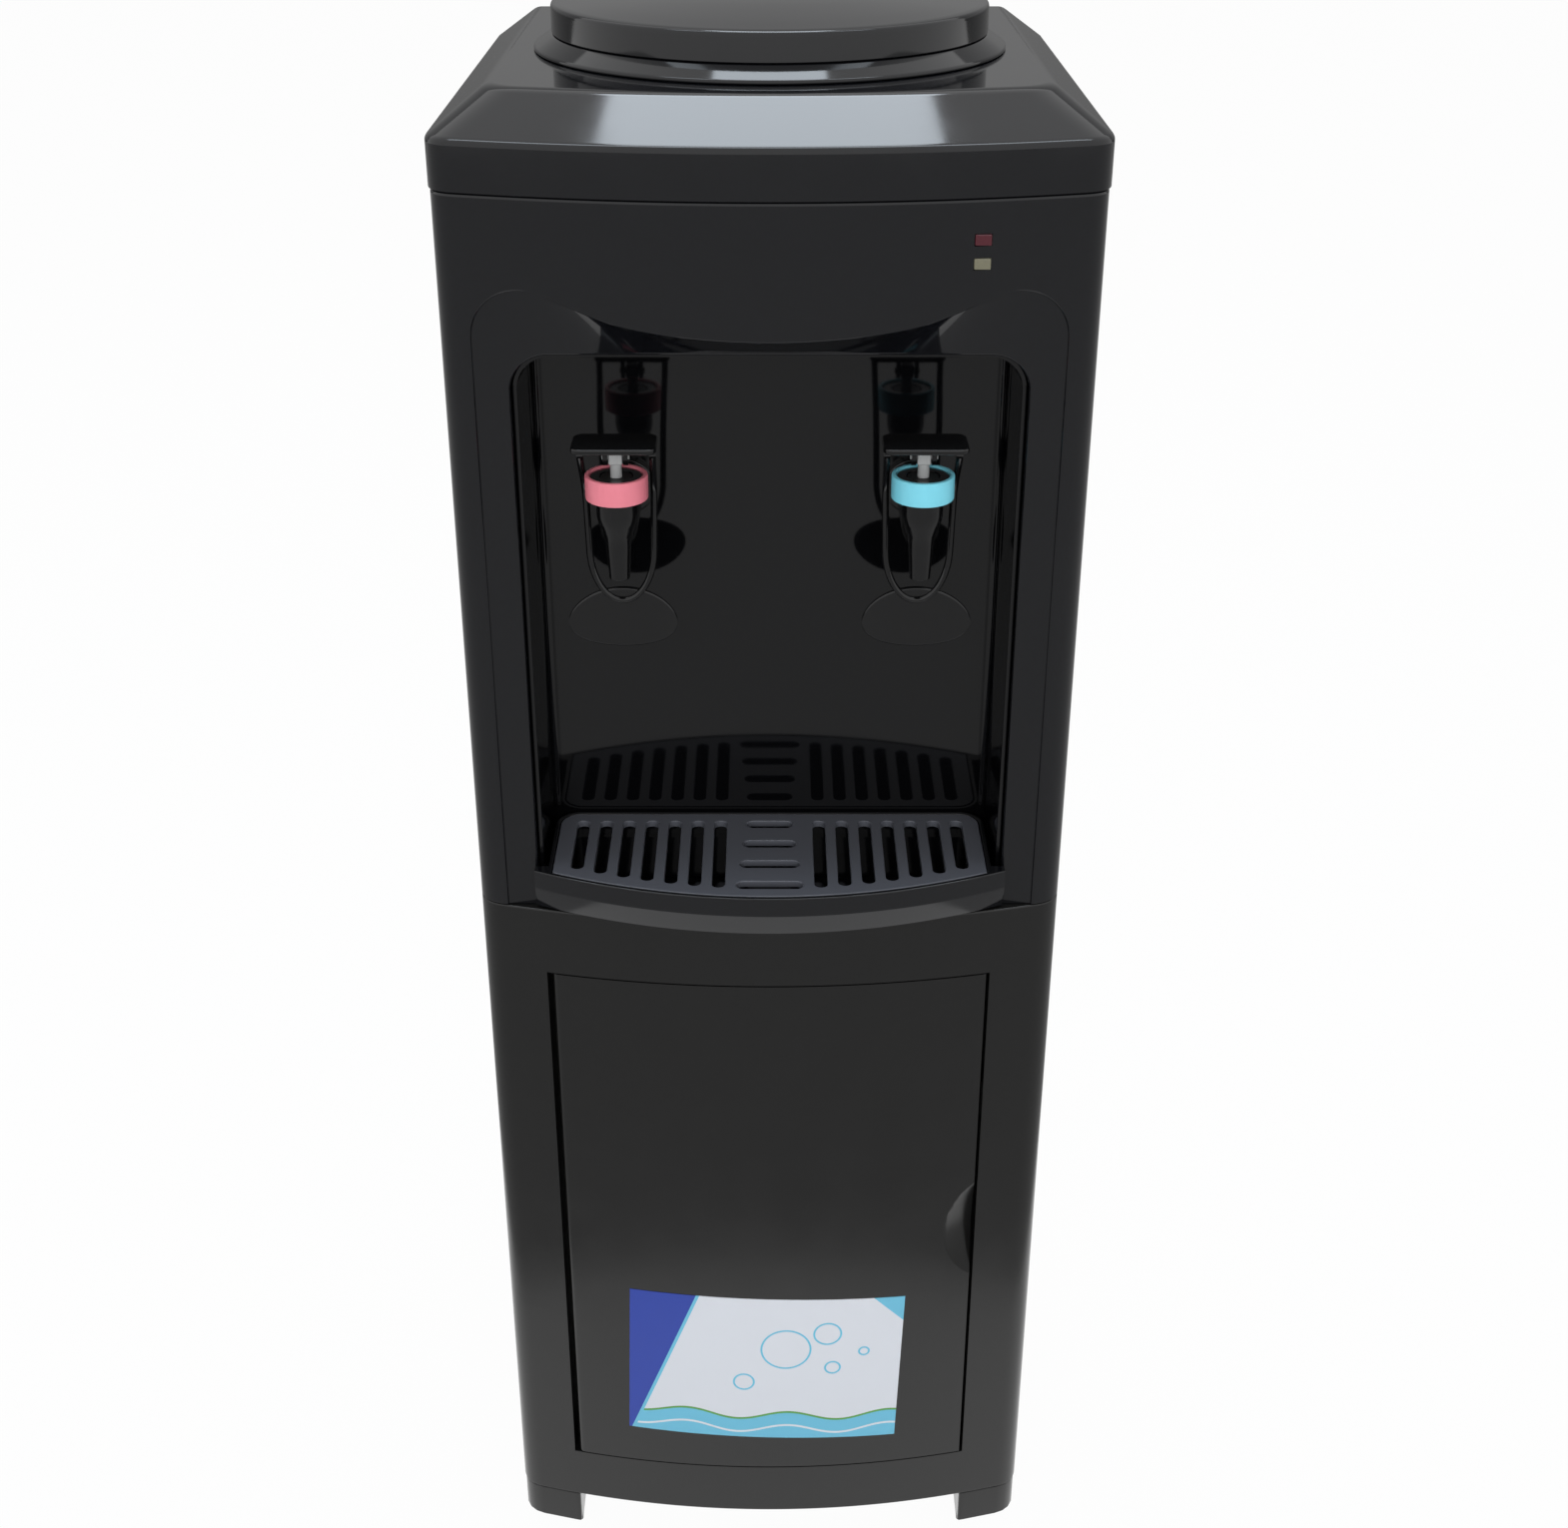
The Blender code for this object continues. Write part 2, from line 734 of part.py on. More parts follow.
def make_lower_front():
    """Bowed moulding round the cupboard opening, with a shelf on top and returns round the opening."""
    bottom = FOOT_HEIGHT + GAP
    outer = front_outline(HALF, 0.0, CORNER_RADIUS, WRAP_Y)
    frame = prism("lower_front", outer, bottom, SEAM_HEIGHT)
    far = FRONT_Y - BOW_DEPTH - OVERRUN
    behind = WRAP_Y + OVERRUN
    inner = front_outline(HALF - WALL, WALL, CORNER_RADIUS - WALL, behind)
    hollow = prism("hollow", inner, bottom - OVERRUN, SEAM_HEIGHT - WALL)
    left = -DOOR_HALF - HINGE_GAP
    right = DOOR_HALF + DOOR_GAP
    low = DOOR_BOTTOM - DOOR_GAP
    high = DOOR_TOP + DOOR_GAP
    cut(hollow, block("keep", (left - WALL, far, low - WALL), (right + WALL, RETURN_Y, high + WALL)))
    cut(frame, hollow, block("doorway", (left, far, low), (right, behind, high)))
    pin = Vector((PIN_X, pin_y(), 0))
    reach = WALL + OVERRUN / 4
    for level in (low, high):
        radius = PIN_RADIUS + PIN_PLAY
        cut(frame, cylinder("pin_hole", radius, pin, level - reach, level + reach))
    return finish(frame, satin_black())


def pin_y():
    """The door pins lie one nose radius behind the bowed surface."""
    return bow_y(PIN_X) + NOSE_RADIUS * math.hypot(1, bow_slope(PIN_X))


def door_pivot():
    return Vector((PIN_X, pin_y(), (DOOR_BOTTOM + DOOR_TOP) / 2))


def door_outline():
    """Plan outline of the door: bowed skin, square right edge, and a round nose about the pins."""
    right = DOOR_HALF
    span = right - PIN_X
    skin = [PIN_X + span * step / BOW_STEPS for step in range(BOW_STEPS + 1)]
    outline = [(x, bow_y(x)) for x in skin]
    outline += [(x, bow_y(x, DOOR_DEPTH)) for x in reversed(skin)]
    slope = math.degrees(math.atan(bow_slope(PIN_X)))
    outline += arc(PIN_X, pin_y(), NOSE_RADIUS, 90, 270 + slope, ARC_STEPS)[:-1]
    return outline


def scoop_centre(depth_radius):
    """Centre of the ball that makes the finger scoop at the door's right edge."""
    x = DOOR_HALF + SCOOP_OUTSET
    return Vector((x, bow_y(x, SCOOP_DEPTH) - depth_radius, SCOOP_HEIGHT))


def ball(name, centre, radius):
    """A ball made by turning a half circle."""
    steps = TUBE_STEPS
    profile = [(0, -radius)]
    for step in range(1, steps):
        angle = math.pi * step / steps - math.pi / 2
        profile.append((radius * math.cos(angle), radius * math.sin(angle)))
    profile.append((0, radius))
    return revolve(name, profile, centre, "Z", ROUND_STEPS)


def strike_place():
    """Centre x and centre z of the strike plate's boss on the door, and the y of its face."""
    x = DOOR_HALF - DOOR_WALL - STRIKE_SIZE / 2
    return x, DOOR_TOP - MAGNET_DROP, bow_y(DOOR_HALF, DOOR_DEPTH) - STRIKE_THICKNESS - GAP


def make_door():
    """Bowed door moulded as a shallow tray, with a finger scoop, pin bosses and a strike plate boss."""
    door = prism("cupboard_door", door_outline(), DOOR_BOTTOM, DOOR_TOP)
    left = PIN_X + NOSE_RADIUS + DOOR_WALL
    right = DOOR_HALF - DOOR_WALL
    behind = FRONT_Y + DOOR_DEPTH + OVERRUN
    span = right - left
    skin = [left + span * step / BOW_STEPS for step in range(BOW_STEPS + 1)]
    outline = [(left, behind)] + [(x, bow_y(x, DOOR_WALL)) for x in skin] + [(right, behind)]
    pocket = prism("pocket", outline, DOOR_BOTTOM + DOOR_WALL, DOOR_TOP - DOOR_WALL)
    radius = (SCOOP_RADIUS**2 + SCOOP_DEPTH**2) / (2 * SCOOP_DEPTH)
    centre = scoop_centre(radius)
    cut(pocket, ball("keep_scoop", centre, radius + DOOR_WALL))
    x, z, y = strike_place()
    reach = STRIKE_SIZE / 2
    far = FRONT_Y - BOW_DEPTH - OVERRUN
    past = behind + OVERRUN
    cut(pocket, block("boss", (x - reach, far, z - reach), (right + DOOR_WALL, past, z + reach)))
    cut(door, pocket, ball("scoop", centre, radius))
    ahead = y - DOOR_WALL - DOOR_WALL
    join(door, block("pad", (x - reach, ahead, z - reach), (x + reach, y, z + reach)))
    grown = reach + GAP
    cut(door, block("seat", (x - grown, y, z - grown), (x + grown, behind, z + grown)))
    pin = Vector((PIN_X, pin_y(), 0))
    radius = PIN_RADIUS + GAP
    cut(door, cylinder("pin_seat", radius, pin, DOOR_BOTTOM - OVERRUN, DOOR_BOTTOM + PIN_SEAT))
    cut(door, cylinder("pin_seat", radius, pin, DOOR_TOP - PIN_SEAT, DOOR_TOP + OVERRUN))
    return finish(door, satin_black(), door_pivot())


def make_door_pins():
    """Steel pins pressed into the door's top and bottom, and turning in the frame."""
    pin = Vector((PIN_X, pin_y(), 0))
    low_end = DOOR_BOTTOM + PIN_SEAT - GAP
    high_start = DOOR_TOP - PIN_SEAT + GAP
    for name, start in (("door_pin_lower", low_end - PIN_LENGTH), ("door_pin_upper", high_start)):
        finish(cylinder(name, PIN_RADIUS, pin, start, start + PIN_LENGTH), zinc_steel(), door_pivot())


def make_strike():
    """Steel plate on the door that the magnet holds."""
    x, z, y = strike_place()
    reach = STRIKE_SIZE / 2
    low = (x - reach, y + GAP, z - reach)
    high = (x + reach, y + GAP + STRIKE_THICKNESS, z + reach)
    return finish(block("strike_plate", low, high), zinc_steel(), door_pivot())


def make_magnet():
    """Magnet catch on the right return of the door frame."""
    x, z, y = strike_place()
    front = y + GAP + STRIKE_THICKNESS + GAP
    right = DOOR_HALF + DOOR_GAP - GAP
    low = (right - MAGNET_SIZE[0], front, z - MAGNET_SIZE[2] / 2)
    high = (right, front + MAGNET_SIZE[1], z + MAGNET_SIZE[2] / 2)
    return finish(block("door_magnet", low, high), satin_black())


def make_cupboard_liner():
    """Open-fronted box behind the door, with a flange against the frame's returns."""
    half = DOOR_HALF - CUPBOARD_MARGIN
    low = DOOR_BOTTOM + CUPBOARD_MARGIN
    high = DOOR_TOP - CUPBOARD_MARGIN
    front = RETURN_Y + GAP
    back = front + CUPBOARD_DEPTH
    outer = half + LINER_WALL
    box = block("cupboard_liner", (-outer, front, low - LINER_WALL), (outer, back, high + LINER_WALL))
    left = -DOOR_HALF - HINGE_GAP - WALL
    right = DOOR_HALF + DOOR_GAP + WALL
    bottom = DOOR_BOTTOM - DOOR_GAP - WALL
    top = DOOR_TOP + DOOR_GAP + WALL
    join(box, block("flange", (left, front, bottom), (right, front + LINER_WALL, top)))
    cut(box, block("inside", (-half, front - OVERRUN, low), (half, back - LINER_WALL, high)))
    return finish(box, satin_black())


def make_fascia():
    """Bowed upper moulding with the smile brow and the bevel band that runs back to the opening."""
    low = SEAM_HEIGHT + GAP
    outer = front_outline(HALF, 0.0, CORNER_RADIUS, WRAP_Y)
    fascia = prism("upper_fascia", outer, low, BODY_TOP)
    inner = front_outline(HALF - WALL, WALL, CORNER_RADIUS - WALL, WRAP_Y + OVERRUN)
    hollow = prism("hollow", inner, low + WALL, BODY_TOP + OVERRUN)
    cut(hollow, opening_loft("keep", WALL, WALL, low - OVERRUN - OVERRUN))
    cut(fascia, opening_loft("opening", 0.0, 0.0, low - OVERRUN), hollow)
    for height in lamp_heights():
        x = LAMP_OFFSET
        reach = LAMP_WIDTH / 2 + LAMP_PLAY
        rise = LAMP_HEIGHT / 2 + LAMP_PLAY
        ahead = bow_y(x) - OVERRUN
        window = block("window", (x - reach, ahead, height - rise), (x + reach, WRAP_Y, height + rise))
        cut(fascia, window)
    return finish(fascia, gloss_black())


def make_recess_liner():
    """Glossy liner of the tap recess: back, sides and ceiling, and a floor under the drip tray."""
    clear = -GAP
    wall = LINER_WALL
    front = OPENING_Y + RECESS_SETBACK
    back = RECESS_Y + wall
    shell = prism("recess_liner", opening_outline(clear, SEAM_HEIGHT - wall), front, back, "Y")
    ahead = front - OVERRUN
    wide = opening_outline(clear - wall, SEAM_HEIGHT)
    narrow = opening_outline(clear - wall - RECESS_DRAFT, SEAM_HEIGHT)
    rings = [[Vector((x, ahead, z)) for x, z in wide], [Vector((x, RECESS_Y, z)) for x, z in narrow]]
    cut(shell, loft("inside", rings))
    step = block("step", (-HALF, ahead, SEAM_HEIGHT - OVERRUN), (HALF, WRAP_Y + GAP, SEAM_HEIGHT + GAP))
    cut(shell, step)
    for x in tap_places():
        centre = Vector((x, 0, NECK_HEIGHT))
        radius = TAP_NECK_RADIUS + TAP_HOLE_PLAY
        cut(shell, cylinder("hole", radius, centre, RECESS_Y - OVERRUN, back + OVERRUN, "Y"))
    return finish(shell, gloss_black())


def make_side_panel(name, side):
    """Sheet steel side with a fold at the front and at the rear."""
    front = WRAP_Y + GAP
    back = BACK_Y - SHEET - PANEL_SETBACK - GAP
    outline = [
        (HALF - FOLD, front),
        (HALF, front),
        (HALF, back),
        (HALF - FOLD, back),
        (HALF - FOLD, back - SHEET),
        (HALF - SHEET, back - SHEET),
        (HALF - SHEET, front + SHEET),
        (HALF - FOLD, front + SHEET),
    ]
    outline = [(side * x, y) for x, y in outline]
    panel = prism(name, outline, FOOT_HEIGHT + GAP, BODY_TOP)
    for height in SCREW_HEIGHTS:
        centre = Vector((side * screw_x(), 0, height))
        radius = SCREW_RADIUS + SCREW_PLAY
        inside = back - OVERRUN / 2
        cut(panel, cylinder("hole", radius, centre, inside, back + OVERRUN, "Y", SMALL_STEPS))
    return finish(panel, painted_black())


def screw_x():
    """The screws run down the middle of the side panels' rear folds."""
    return HALF - FOLD / 2 - SHEET / 2


def make_back_panel():
    """Sheet steel back with two banks of vents and the holes of what it carries."""
    back = BACK_Y - PANEL_SETBACK
    front = back - SHEET
    ahead = front - OVERRUN
    behind = back + OVERRUN
    half = HALF - GAP
    panel = block("back_panel", (-half, front, FOOT_HEIGHT + GAP), (half, back, BODY_TOP))
    vents = []
    for side in (-1, 1):
        for bank in VENT_HEIGHTS:
            for row in range(VENT_ROWS):
                height = bank + VENT_PITCH * (row - (VENT_ROWS - 1) / 2)
                outline = rounded_box_outline(
                    side * VENT_OFFSET - VENT_LENGTH / 2,
                    height - VENT_WIDTH / 2,
                    side * VENT_OFFSET + VENT_LENGTH / 2,
                    height + VENT_WIDTH / 2,
                    VENT_WIDTH / 2,
                    VENT_STEPS,
                )
                vents.append(prism("vent", outline, ahead, behind, "Y"))
    cut(panel, gather("vents", vents))
    for side in (-1, 1):
        for height in SCREW_HEIGHTS:
            centre = Vector((side * screw_x(), 0, height))
            radius = SCREW_RADIUS + SCREW_PLAY
            cut(panel, cylinder("hole", radius, centre, ahead, behind, "Y", SMALL_STEPS))
    across, rise = bezel_reach()
    low = (-SWITCH_OFFSET - across - GAP, ahead, SWITCH_HEIGHT - rise - GAP)
    high = (-SWITCH_OFFSET + across + GAP, behind, SWITCH_HEIGHT + rise + GAP)
    cut(panel, block("switch_hole", low, high))
    for x, height, radius in (
        (-GLAND_OFFSET, GLAND_HEIGHT, GLAND_RADIUS),
        (0.0, DRAIN_HEIGHT, SPOUT_RADIUS),
    ):
        centre = Vector((x, 0, height))
        cut(panel, cylinder("hole", radius + GAP, centre, ahead, behind, "Y", TUBE_STEPS))
    return finish(panel, painted_black())


def make_back_screws():
    """Pan-head screws that hold the back panel to the side panels."""
    back = BACK_Y - PANEL_SETBACK + GAP
    profile = [
        (0, back - SCREW_LENGTH),
        (SCREW_RADIUS, back - SCREW_LENGTH + SCREW_RADIUS),
        (SCREW_RADIUS, back),
        (SCREW_HEAD_RADIUS, back),
        (SCREW_HEAD_RADIUS - GAP, back + SCREW_HEAD_HEIGHT),
        (0, back + SCREW_HEAD_HEIGHT),
    ]
    for word, side in (("left", -1), ("right", 1)):
        for level, height in zip(("lower", "upper"), SCREW_HEIGHTS):
            centre = Vector((side * screw_x(), 0, height))
            screw = revolve(f"back_screw_{level}_{word}", profile, centre, "Y", SMALL_STEPS)
            finish(screw, zinc_steel())


def cover_ring(inset, height, corner, front_extra=0.0, rear_extra=0.0):
    """One level of the top cover's shape, as points round its plan outline."""
    half = BOW_HALF - inset
    outline = front_outline(half, inset + front_extra, corner, BACK_Y + COVER_LIP - inset - rear_extra)
    return [Vector((x, y, height)) for x, y in outline]


def make_top_cover():
    """Cover with a short skirt, sloping shoulders and a flat top, open in the middle for the collar."""
    low = BODY_TOP + GAP
    corner = CORNER_RADIUS + COVER_LIP
    front_extra = SHOULDER_FRONT - SHOULDER_SIDE
    rear_extra = SHOULDER_REAR - SHOULDER_SIDE
    rings = [
        cover_ring(0.0, low, corner),
        cover_ring(0.0, RIM_HEIGHT - COVER_EDGE, corner),
        cover_ring(COVER_EDGE, RIM_HEIGHT, corner),
        cover_ring(SHOULDER_SIDE, PLATEAU_HEIGHT, PLATEAU_CORNER, front_extra, rear_extra),
    ]
    cover = loft("top_cover", rings)
    under = low - OVERRUN
    under_inset = SHOULDER_SIDE + WALL / 2
    inner = [
        cover_ring(WALL, under, corner - WALL),
        cover_ring(WALL, RIM_HEIGHT - WALL, corner - WALL),
        cover_ring(under_inset, PLATEAU_HEIGHT - WALL, PLATEAU_CORNER, front_extra, rear_extra),
    ]
    cut(cover, loft("inside", inner))
    centre = Vector((0, COLLAR_Y, 0))
    tube_outer = NECK_RADIUS + GAP + TUBE_WALL
    tube_low = TANK_TOP + GAP
    tube = [
        (NECK_RADIUS + GAP, tube_low),
        (tube_outer, tube_low),
        (tube_outer, PLATEAU_HEIGHT - WALL / 2),
        (NECK_RADIUS + GAP, PLATEAU_HEIGHT - WALL / 2),
    ]
    hole = cylinder(
        "hole", NECK_RADIUS + GAP, centre, under, PLATEAU_HEIGHT + OVERRUN, "Z", ROUND_STEPS
    )
    cut(cover, hole)
    join(cover, revolve("tube", tube, centre))
    return finish(cover, gloss_black())


def make_collar():
    """Bottle collar: a bulging flange on the cover, a neck, and a funnel down to the throat."""
    centre = Vector((0, COLLAR_Y, 0))
    seat = PLATEAU_HEIGHT + GAP
    bore = NECK_RADIUS - NECK_WALL
    top = COLLAR_TOP + NECK_RISE
    shoulder = SHOULDER_HEIGHT
    throat = THROAT_HEIGHT
    run = bore - FUNNEL_THROAT
    drop = PLATEAU_HEIGHT - throat
    bowl = [
        (FUNNEL_THROAT + run * across, PLATEAU_HEIGHT - drop * down) for across, down in FUNNEL_SHARES
    ]
    under = [(radius - FUNNEL_WALL, height - FUNNEL_WALL) for radius, height in reversed(bowl[2:])]
    profile = [
        (COLLAR_RADIUS, seat),
        (COLLAR_RADIUS + COLLAR_BULGE, seat + COLLAR_HEIGHT / 2),
        (COLLAR_RADIUS, COLLAR_TOP),
        (NECK_RADIUS, COLLAR_TOP),
        (NECK_RADIUS, top - NECK_WALL / 4),
        (NECK_RADIUS - NECK_WALL / 4, top),
        (bore + NECK_WALL / 4, top),
        (bore, top - NECK_WALL / 4),
        *bowl,
        (FUNNEL_THROAT, throat + FUNNEL_WALL),
        (FUNNEL_THROAT, throat),
        (THROAT_HOLE, throat),
        (THROAT_HOLE, throat - FUNNEL_WALL),
        (FUNNEL_THROAT + FUNNEL_WALL, throat - FUNNEL_WALL),
        *under,
        (bore - FUNNEL_WALL, shoulder),
        (NECK_RADIUS, shoulder),
        (NECK_RADIUS, seat),
    ]
    return finish(revolve("bottle_collar", profile, centre), gloss_black())


def make_lid():
    """Dust lid: short skirt round the collar's neck, slightly domed on top."""
    centre = Vector((0, COLLAR_Y, 0))
    low = COLLAR_TOP + GAP
    rim = low + LID_SKIRT
    crown = [(LID_RADIUS * across, rim + LID_CROWN * up) for across, up in LID_CROWN_SHARES]
    skirt = [(0, low), (LID_RADIUS, low), (LID_RADIUS, rim - LID_EDGE), (LID_RADIUS - LID_EDGE, rim)]
    dome = [*skirt, *crown]
    under = [(radius, height - LID_WALL) for radius, height in crown[1:]]
    inner = LID_RADIUS - LID_WALL
    hollow = [(0, low - OVERRUN), (inner, low - OVERRUN), (inner, rim - LID_WALL), *under]
    lid = cut(revolve("lid", dome, centre), revolve("hollow", hollow, centre))
    return finish(lid, gloss_black(), Vector((0, COLLAR_Y, low)))


def make_probe():
    """Hollow spike that opens the bottle's cap, seated in the funnel's throat."""
    centre = Vector((0, COLLAR_Y, 0))
    seat = THROAT_HEIGHT + GAP
    flange = seat + FUNNEL_WALL
    tip = flange + PROBE_RISE
    profile = [
        (PROBE_BORE, THROAT_HEIGHT - PROBE_TAIL),
        (PROBE_RADIUS, THROAT_HEIGHT - PROBE_TAIL),
        (PROBE_RADIUS, seat),
        (PROBE_FLANGE, seat),
        (PROBE_FLANGE, flange),
        (PROBE_RADIUS + PROBE_BORE, flange),
        (PROBE_RADIUS, flange + PROBE_RADIUS),
        (PROBE_RADIUS, tip - PROBE_RADIUS),
        (PROBE_BORE + (PROBE_RADIUS - PROBE_BORE) / 4, tip),
        (PROBE_BORE, tip),
    ]
    probe = revolve("bottle_probe", profile, centre, "Z", TUBE_STEPS)
    return finish(probe, milky_plastic())


def make_gasket():
    """Seal ring between the collar's shoulder and the tank's flange."""
    centre = Vector((0, COLLAR_Y, 0))
    low = TANK_TOP + GAP
    high = low + GASKET_HEIGHT
    outer = NECK_RADIUS
    inner = outer - GASKET_WIDTH
    profile = [(inner, low), (outer, low), (outer, high), (inner, high)]
    return finish(revolve("tank_gasket", profile, centre), silicone())


def make_water_tank():
    """Open tank under the bottle seat, hung by its flange, with two ports in its floor."""
    centre = Vector((0, COLLAR_Y, 0))
    mouth = NECK_RADIUS - GASKET_WIDTH
    wall = TANK_WALL
    shoulder = TANK_TOP - TANK_SHOULDER
    bore = SPIGOT_RADIUS / 2
    port = TANK_BOTTOM - SPIGOT_LENGTH
    profile = [
        (bore, port),
        (SPIGOT_RADIUS, port),
        (SPIGOT_RADIUS, TANK_BOTTOM),
        (TANK_RADIUS - TANK_EDGE, TANK_BOTTOM),
        (TANK_RADIUS, TANK_BOTTOM + TANK_EDGE),
        (TANK_RADIUS, shoulder),
        (mouth + wall, TANK_TOP - wall - wall),
        (mouth + wall, TANK_TOP - wall),
        (TANK_FLANGE, TANK_TOP - wall),
        (TANK_FLANGE, TANK_TOP),
        (mouth, TANK_TOP),
        (mouth, TANK_TOP - wall - wall),
        (TANK_RADIUS - wall, shoulder),
        (TANK_RADIUS - wall, TANK_BOTTOM + wall),
        (bore, TANK_BOTTOM + wall),
    ]
    tank = revolve("water_tank", profile, centre, "Z", INNER_STEPS)
    at = Vector((COLD_PORT, COLLAR_Y, 0))
    join(tank, cylinder("spigot", SPIGOT_RADIUS, at, port, TANK_BOTTOM + wall / 2))
    cut(tank, cylinder("bore", bore, at, port - OVERRUN, TANK_BOTTOM + OVERRUN))
    return finish(tank, stainless())


def make_separator():
    """Plate that keeps fresh water off the hot tank's feed, on a tube that stands on the floor."""
    centre = Vector((0, COLLAR_Y, 0))
    floor = TANK_BOTTOM + TANK_WALL + GAP
    high = floor + SEPARATOR_HEIGHT
    radius = TANK_RADIUS - TANK_WALL - GAP
    bore = SEPARATOR_TUBE - TANK_WALL
    profile = [
        (bore, floor),
        (SEPARATOR_TUBE, floor),
        (SEPARATOR_TUBE, high),
        (radius, high),
        (radius, high + TANK_WALL),
        (bore, high + TANK_WALL),
    ]
    plate = revolve("tank_separator", profile, centre, "Z", INNER_STEPS)
    for turn in range(SEPARATOR_HOLES):
        angle = math.tau * turn / SEPARATOR_HOLES
        at = centre + Vector((math.cos(angle), math.sin(angle), 0)) * (radius * SEPARATOR_HOLE_SHARE)
        under = high - OVERRUN
        cut(plate, cylinder("hole", SEPARATOR_TUBE, at, under, high + OVERRUN, "Z", SMALL_STEPS))
    return finish(plate, milky_plastic())


def make_deck():
    """Sheet steel deck above the cupboard, folded up against the side panels."""
    half = HALF - SHEET - GAP
    front = FRONT_Y + DECK_SETBACK
    back = BACK_Y - PANEL_SETBACK - SHEET - SHEET - GAP - GAP - GAP
    outline = [
        (-half, DECK_HEIGHT),
        (half, DECK_HEIGHT),
        (half, DECK_HEIGHT + DECK_FLANGE),
        (half - SHEET, DECK_HEIGHT + DECK_FLANGE),
        (half - SHEET, DECK_HEIGHT + SHEET),
        (SHEET - half, DECK_HEIGHT + SHEET),
        (SHEET - half, DECK_HEIGHT + DECK_FLANGE),
        (-half, DECK_HEIGHT + DECK_FLANGE),
    ]
    return finish(prism("inner_deck", outline, front, back, "Y"), zinc_steel())


def make_stand():
    """Short steel hoop that carries the hot tank's jacket, with a notch for the drain hose."""
    centre = Vector((0, COLLAR_Y, 0))
    low = DECK_HEIGHT + SHEET + GAP
    profile = [
        (STAND_RADIUS - SHEET, low),
        (STAND_RADIUS, low),
        (STAND_RADIUS, STAND_TOP),
        (STAND_RADIUS - SHEET, STAND_TOP),
    ]
    hoop = revolve("hot_tank_stand", profile, centre, "Z", INNER_STEPS)
    half = STAND_NOTCH / 2
    notch = block(
        "notch",
        (-half, COLLAR_Y, low + WALL),
        (half, COLLAR_Y + STAND_RADIUS + OVERRUN, STAND_TOP - WALL),
    )
    return finish(cut(hoop, notch), zinc_steel())


def make_jacket():
    """Foam cup round the hot tank."""
    centre = Vector((0, COLLAR_Y, 0))
    low = STAND_TOP + GAP
    inner = HOT_TANK_RADIUS + JACKET_CLEARANCE
    bore = SPIGOT_RADIUS + JACKET_CLEARANCE
    profile = [
        (bore, low),
        (JACKET_RADIUS, low),
        (JACKET_RADIUS, low + JACKET_HEIGHT),
        (inner, low + JACKET_HEIGHT),
        (inner, low + JACKET_FLOOR),
        (bore, low + JACKET_FLOOR),
    ]
    return finish(revolve("tank_jacket", profile, centre, "Z", INNER_STEPS), foam())


def make_hot_tank():
    """Hollow hot tank with a drain port below, and a feed and an outlet port on top."""
    centre = Vector((0, COLLAR_Y, 0))
    edge = HOT_TANK_EDGE
    wall = TANK_WALL
    bore = SPIGOT_RADIUS / 2
    port = HOT_TANK_TOP + SPIGOT_LENGTH
    profile = [
        (bore, hot_drain_height()),
        (SPIGOT_RADIUS, hot_drain_height()),
        (SPIGOT_RADIUS, HOT_TANK_BOTTOM),
        (HOT_TANK_RADIUS - edge, HOT_TANK_BOTTOM),
        (HOT_TANK_RADIUS, HOT_TANK_BOTTOM + edge),
        (HOT_TANK_RADIUS, HOT_TANK_TOP - edge),
        (HOT_TANK_RADIUS - edge, HOT_TANK_TOP),
        (SPIGOT_RADIUS, HOT_TANK_TOP),
        (SPIGOT_RADIUS, port),
        (bore, port),
        (bore, HOT_TANK_TOP - wall),
        (HOT_TANK_RADIUS - edge, HOT_TANK_TOP - wall),
        (HOT_TANK_RADIUS - wall, HOT_TANK_TOP - edge),
        (HOT_TANK_RADIUS - wall, HOT_TANK_BOTTOM + edge),
        (HOT_TANK_RADIUS - edge, HOT_TANK_BOTTOM + wall),
        (bore, HOT_TANK_BOTTOM + wall),
    ]
    tank = revolve("hot_tank", profile, centre, "Z", INNER_STEPS)
    side = centre + Vector((-HOT_PORT, 0, 0))
    join(tank, cylinder("outlet", SPIGOT_RADIUS, side, HOT_TANK_TOP - wall / 2, port))
    cut(tank, cylinder("bore", bore, side, HOT_TANK_TOP - edge, port + OVERRUN))
    return finish(tank, stainless())


def hot_drain_height():
    """Lower end of the hot tank's drain port, just under the jacket."""
    return STAND_TOP - DRAIN_PORT_PROUD


def make_heater():
    """Band heater round the lower part of the hot tank."""
    centre = Vector((0, COLLAR_Y, 0))
    low = HOT_TANK_BOTTOM + HEATER_RISE
    inner = HOT_TANK_RADIUS + GAP
    outer = inner + HEATER_THICKNESS
    high = low + HEATER_HEIGHT
    profile = [(inner, low), (outer, low), (outer, high), (inner, high)]
    return finish(revolve("band_heater", profile, centre, "Z", INNER_STEPS), zinc_steel())


def make_thermostat():
    """Disc thermostat on top of the hot tank."""
    centre = Vector((HOT_PORT, COLLAR_Y, 0))
    low = HOT_TANK_TOP + GAP
    disc = cylinder("thermostat", THERMOSTAT_RADIUS, centre, low, low + THERMOSTAT_HEIGHT)
    return finish(disc, milky_plastic())


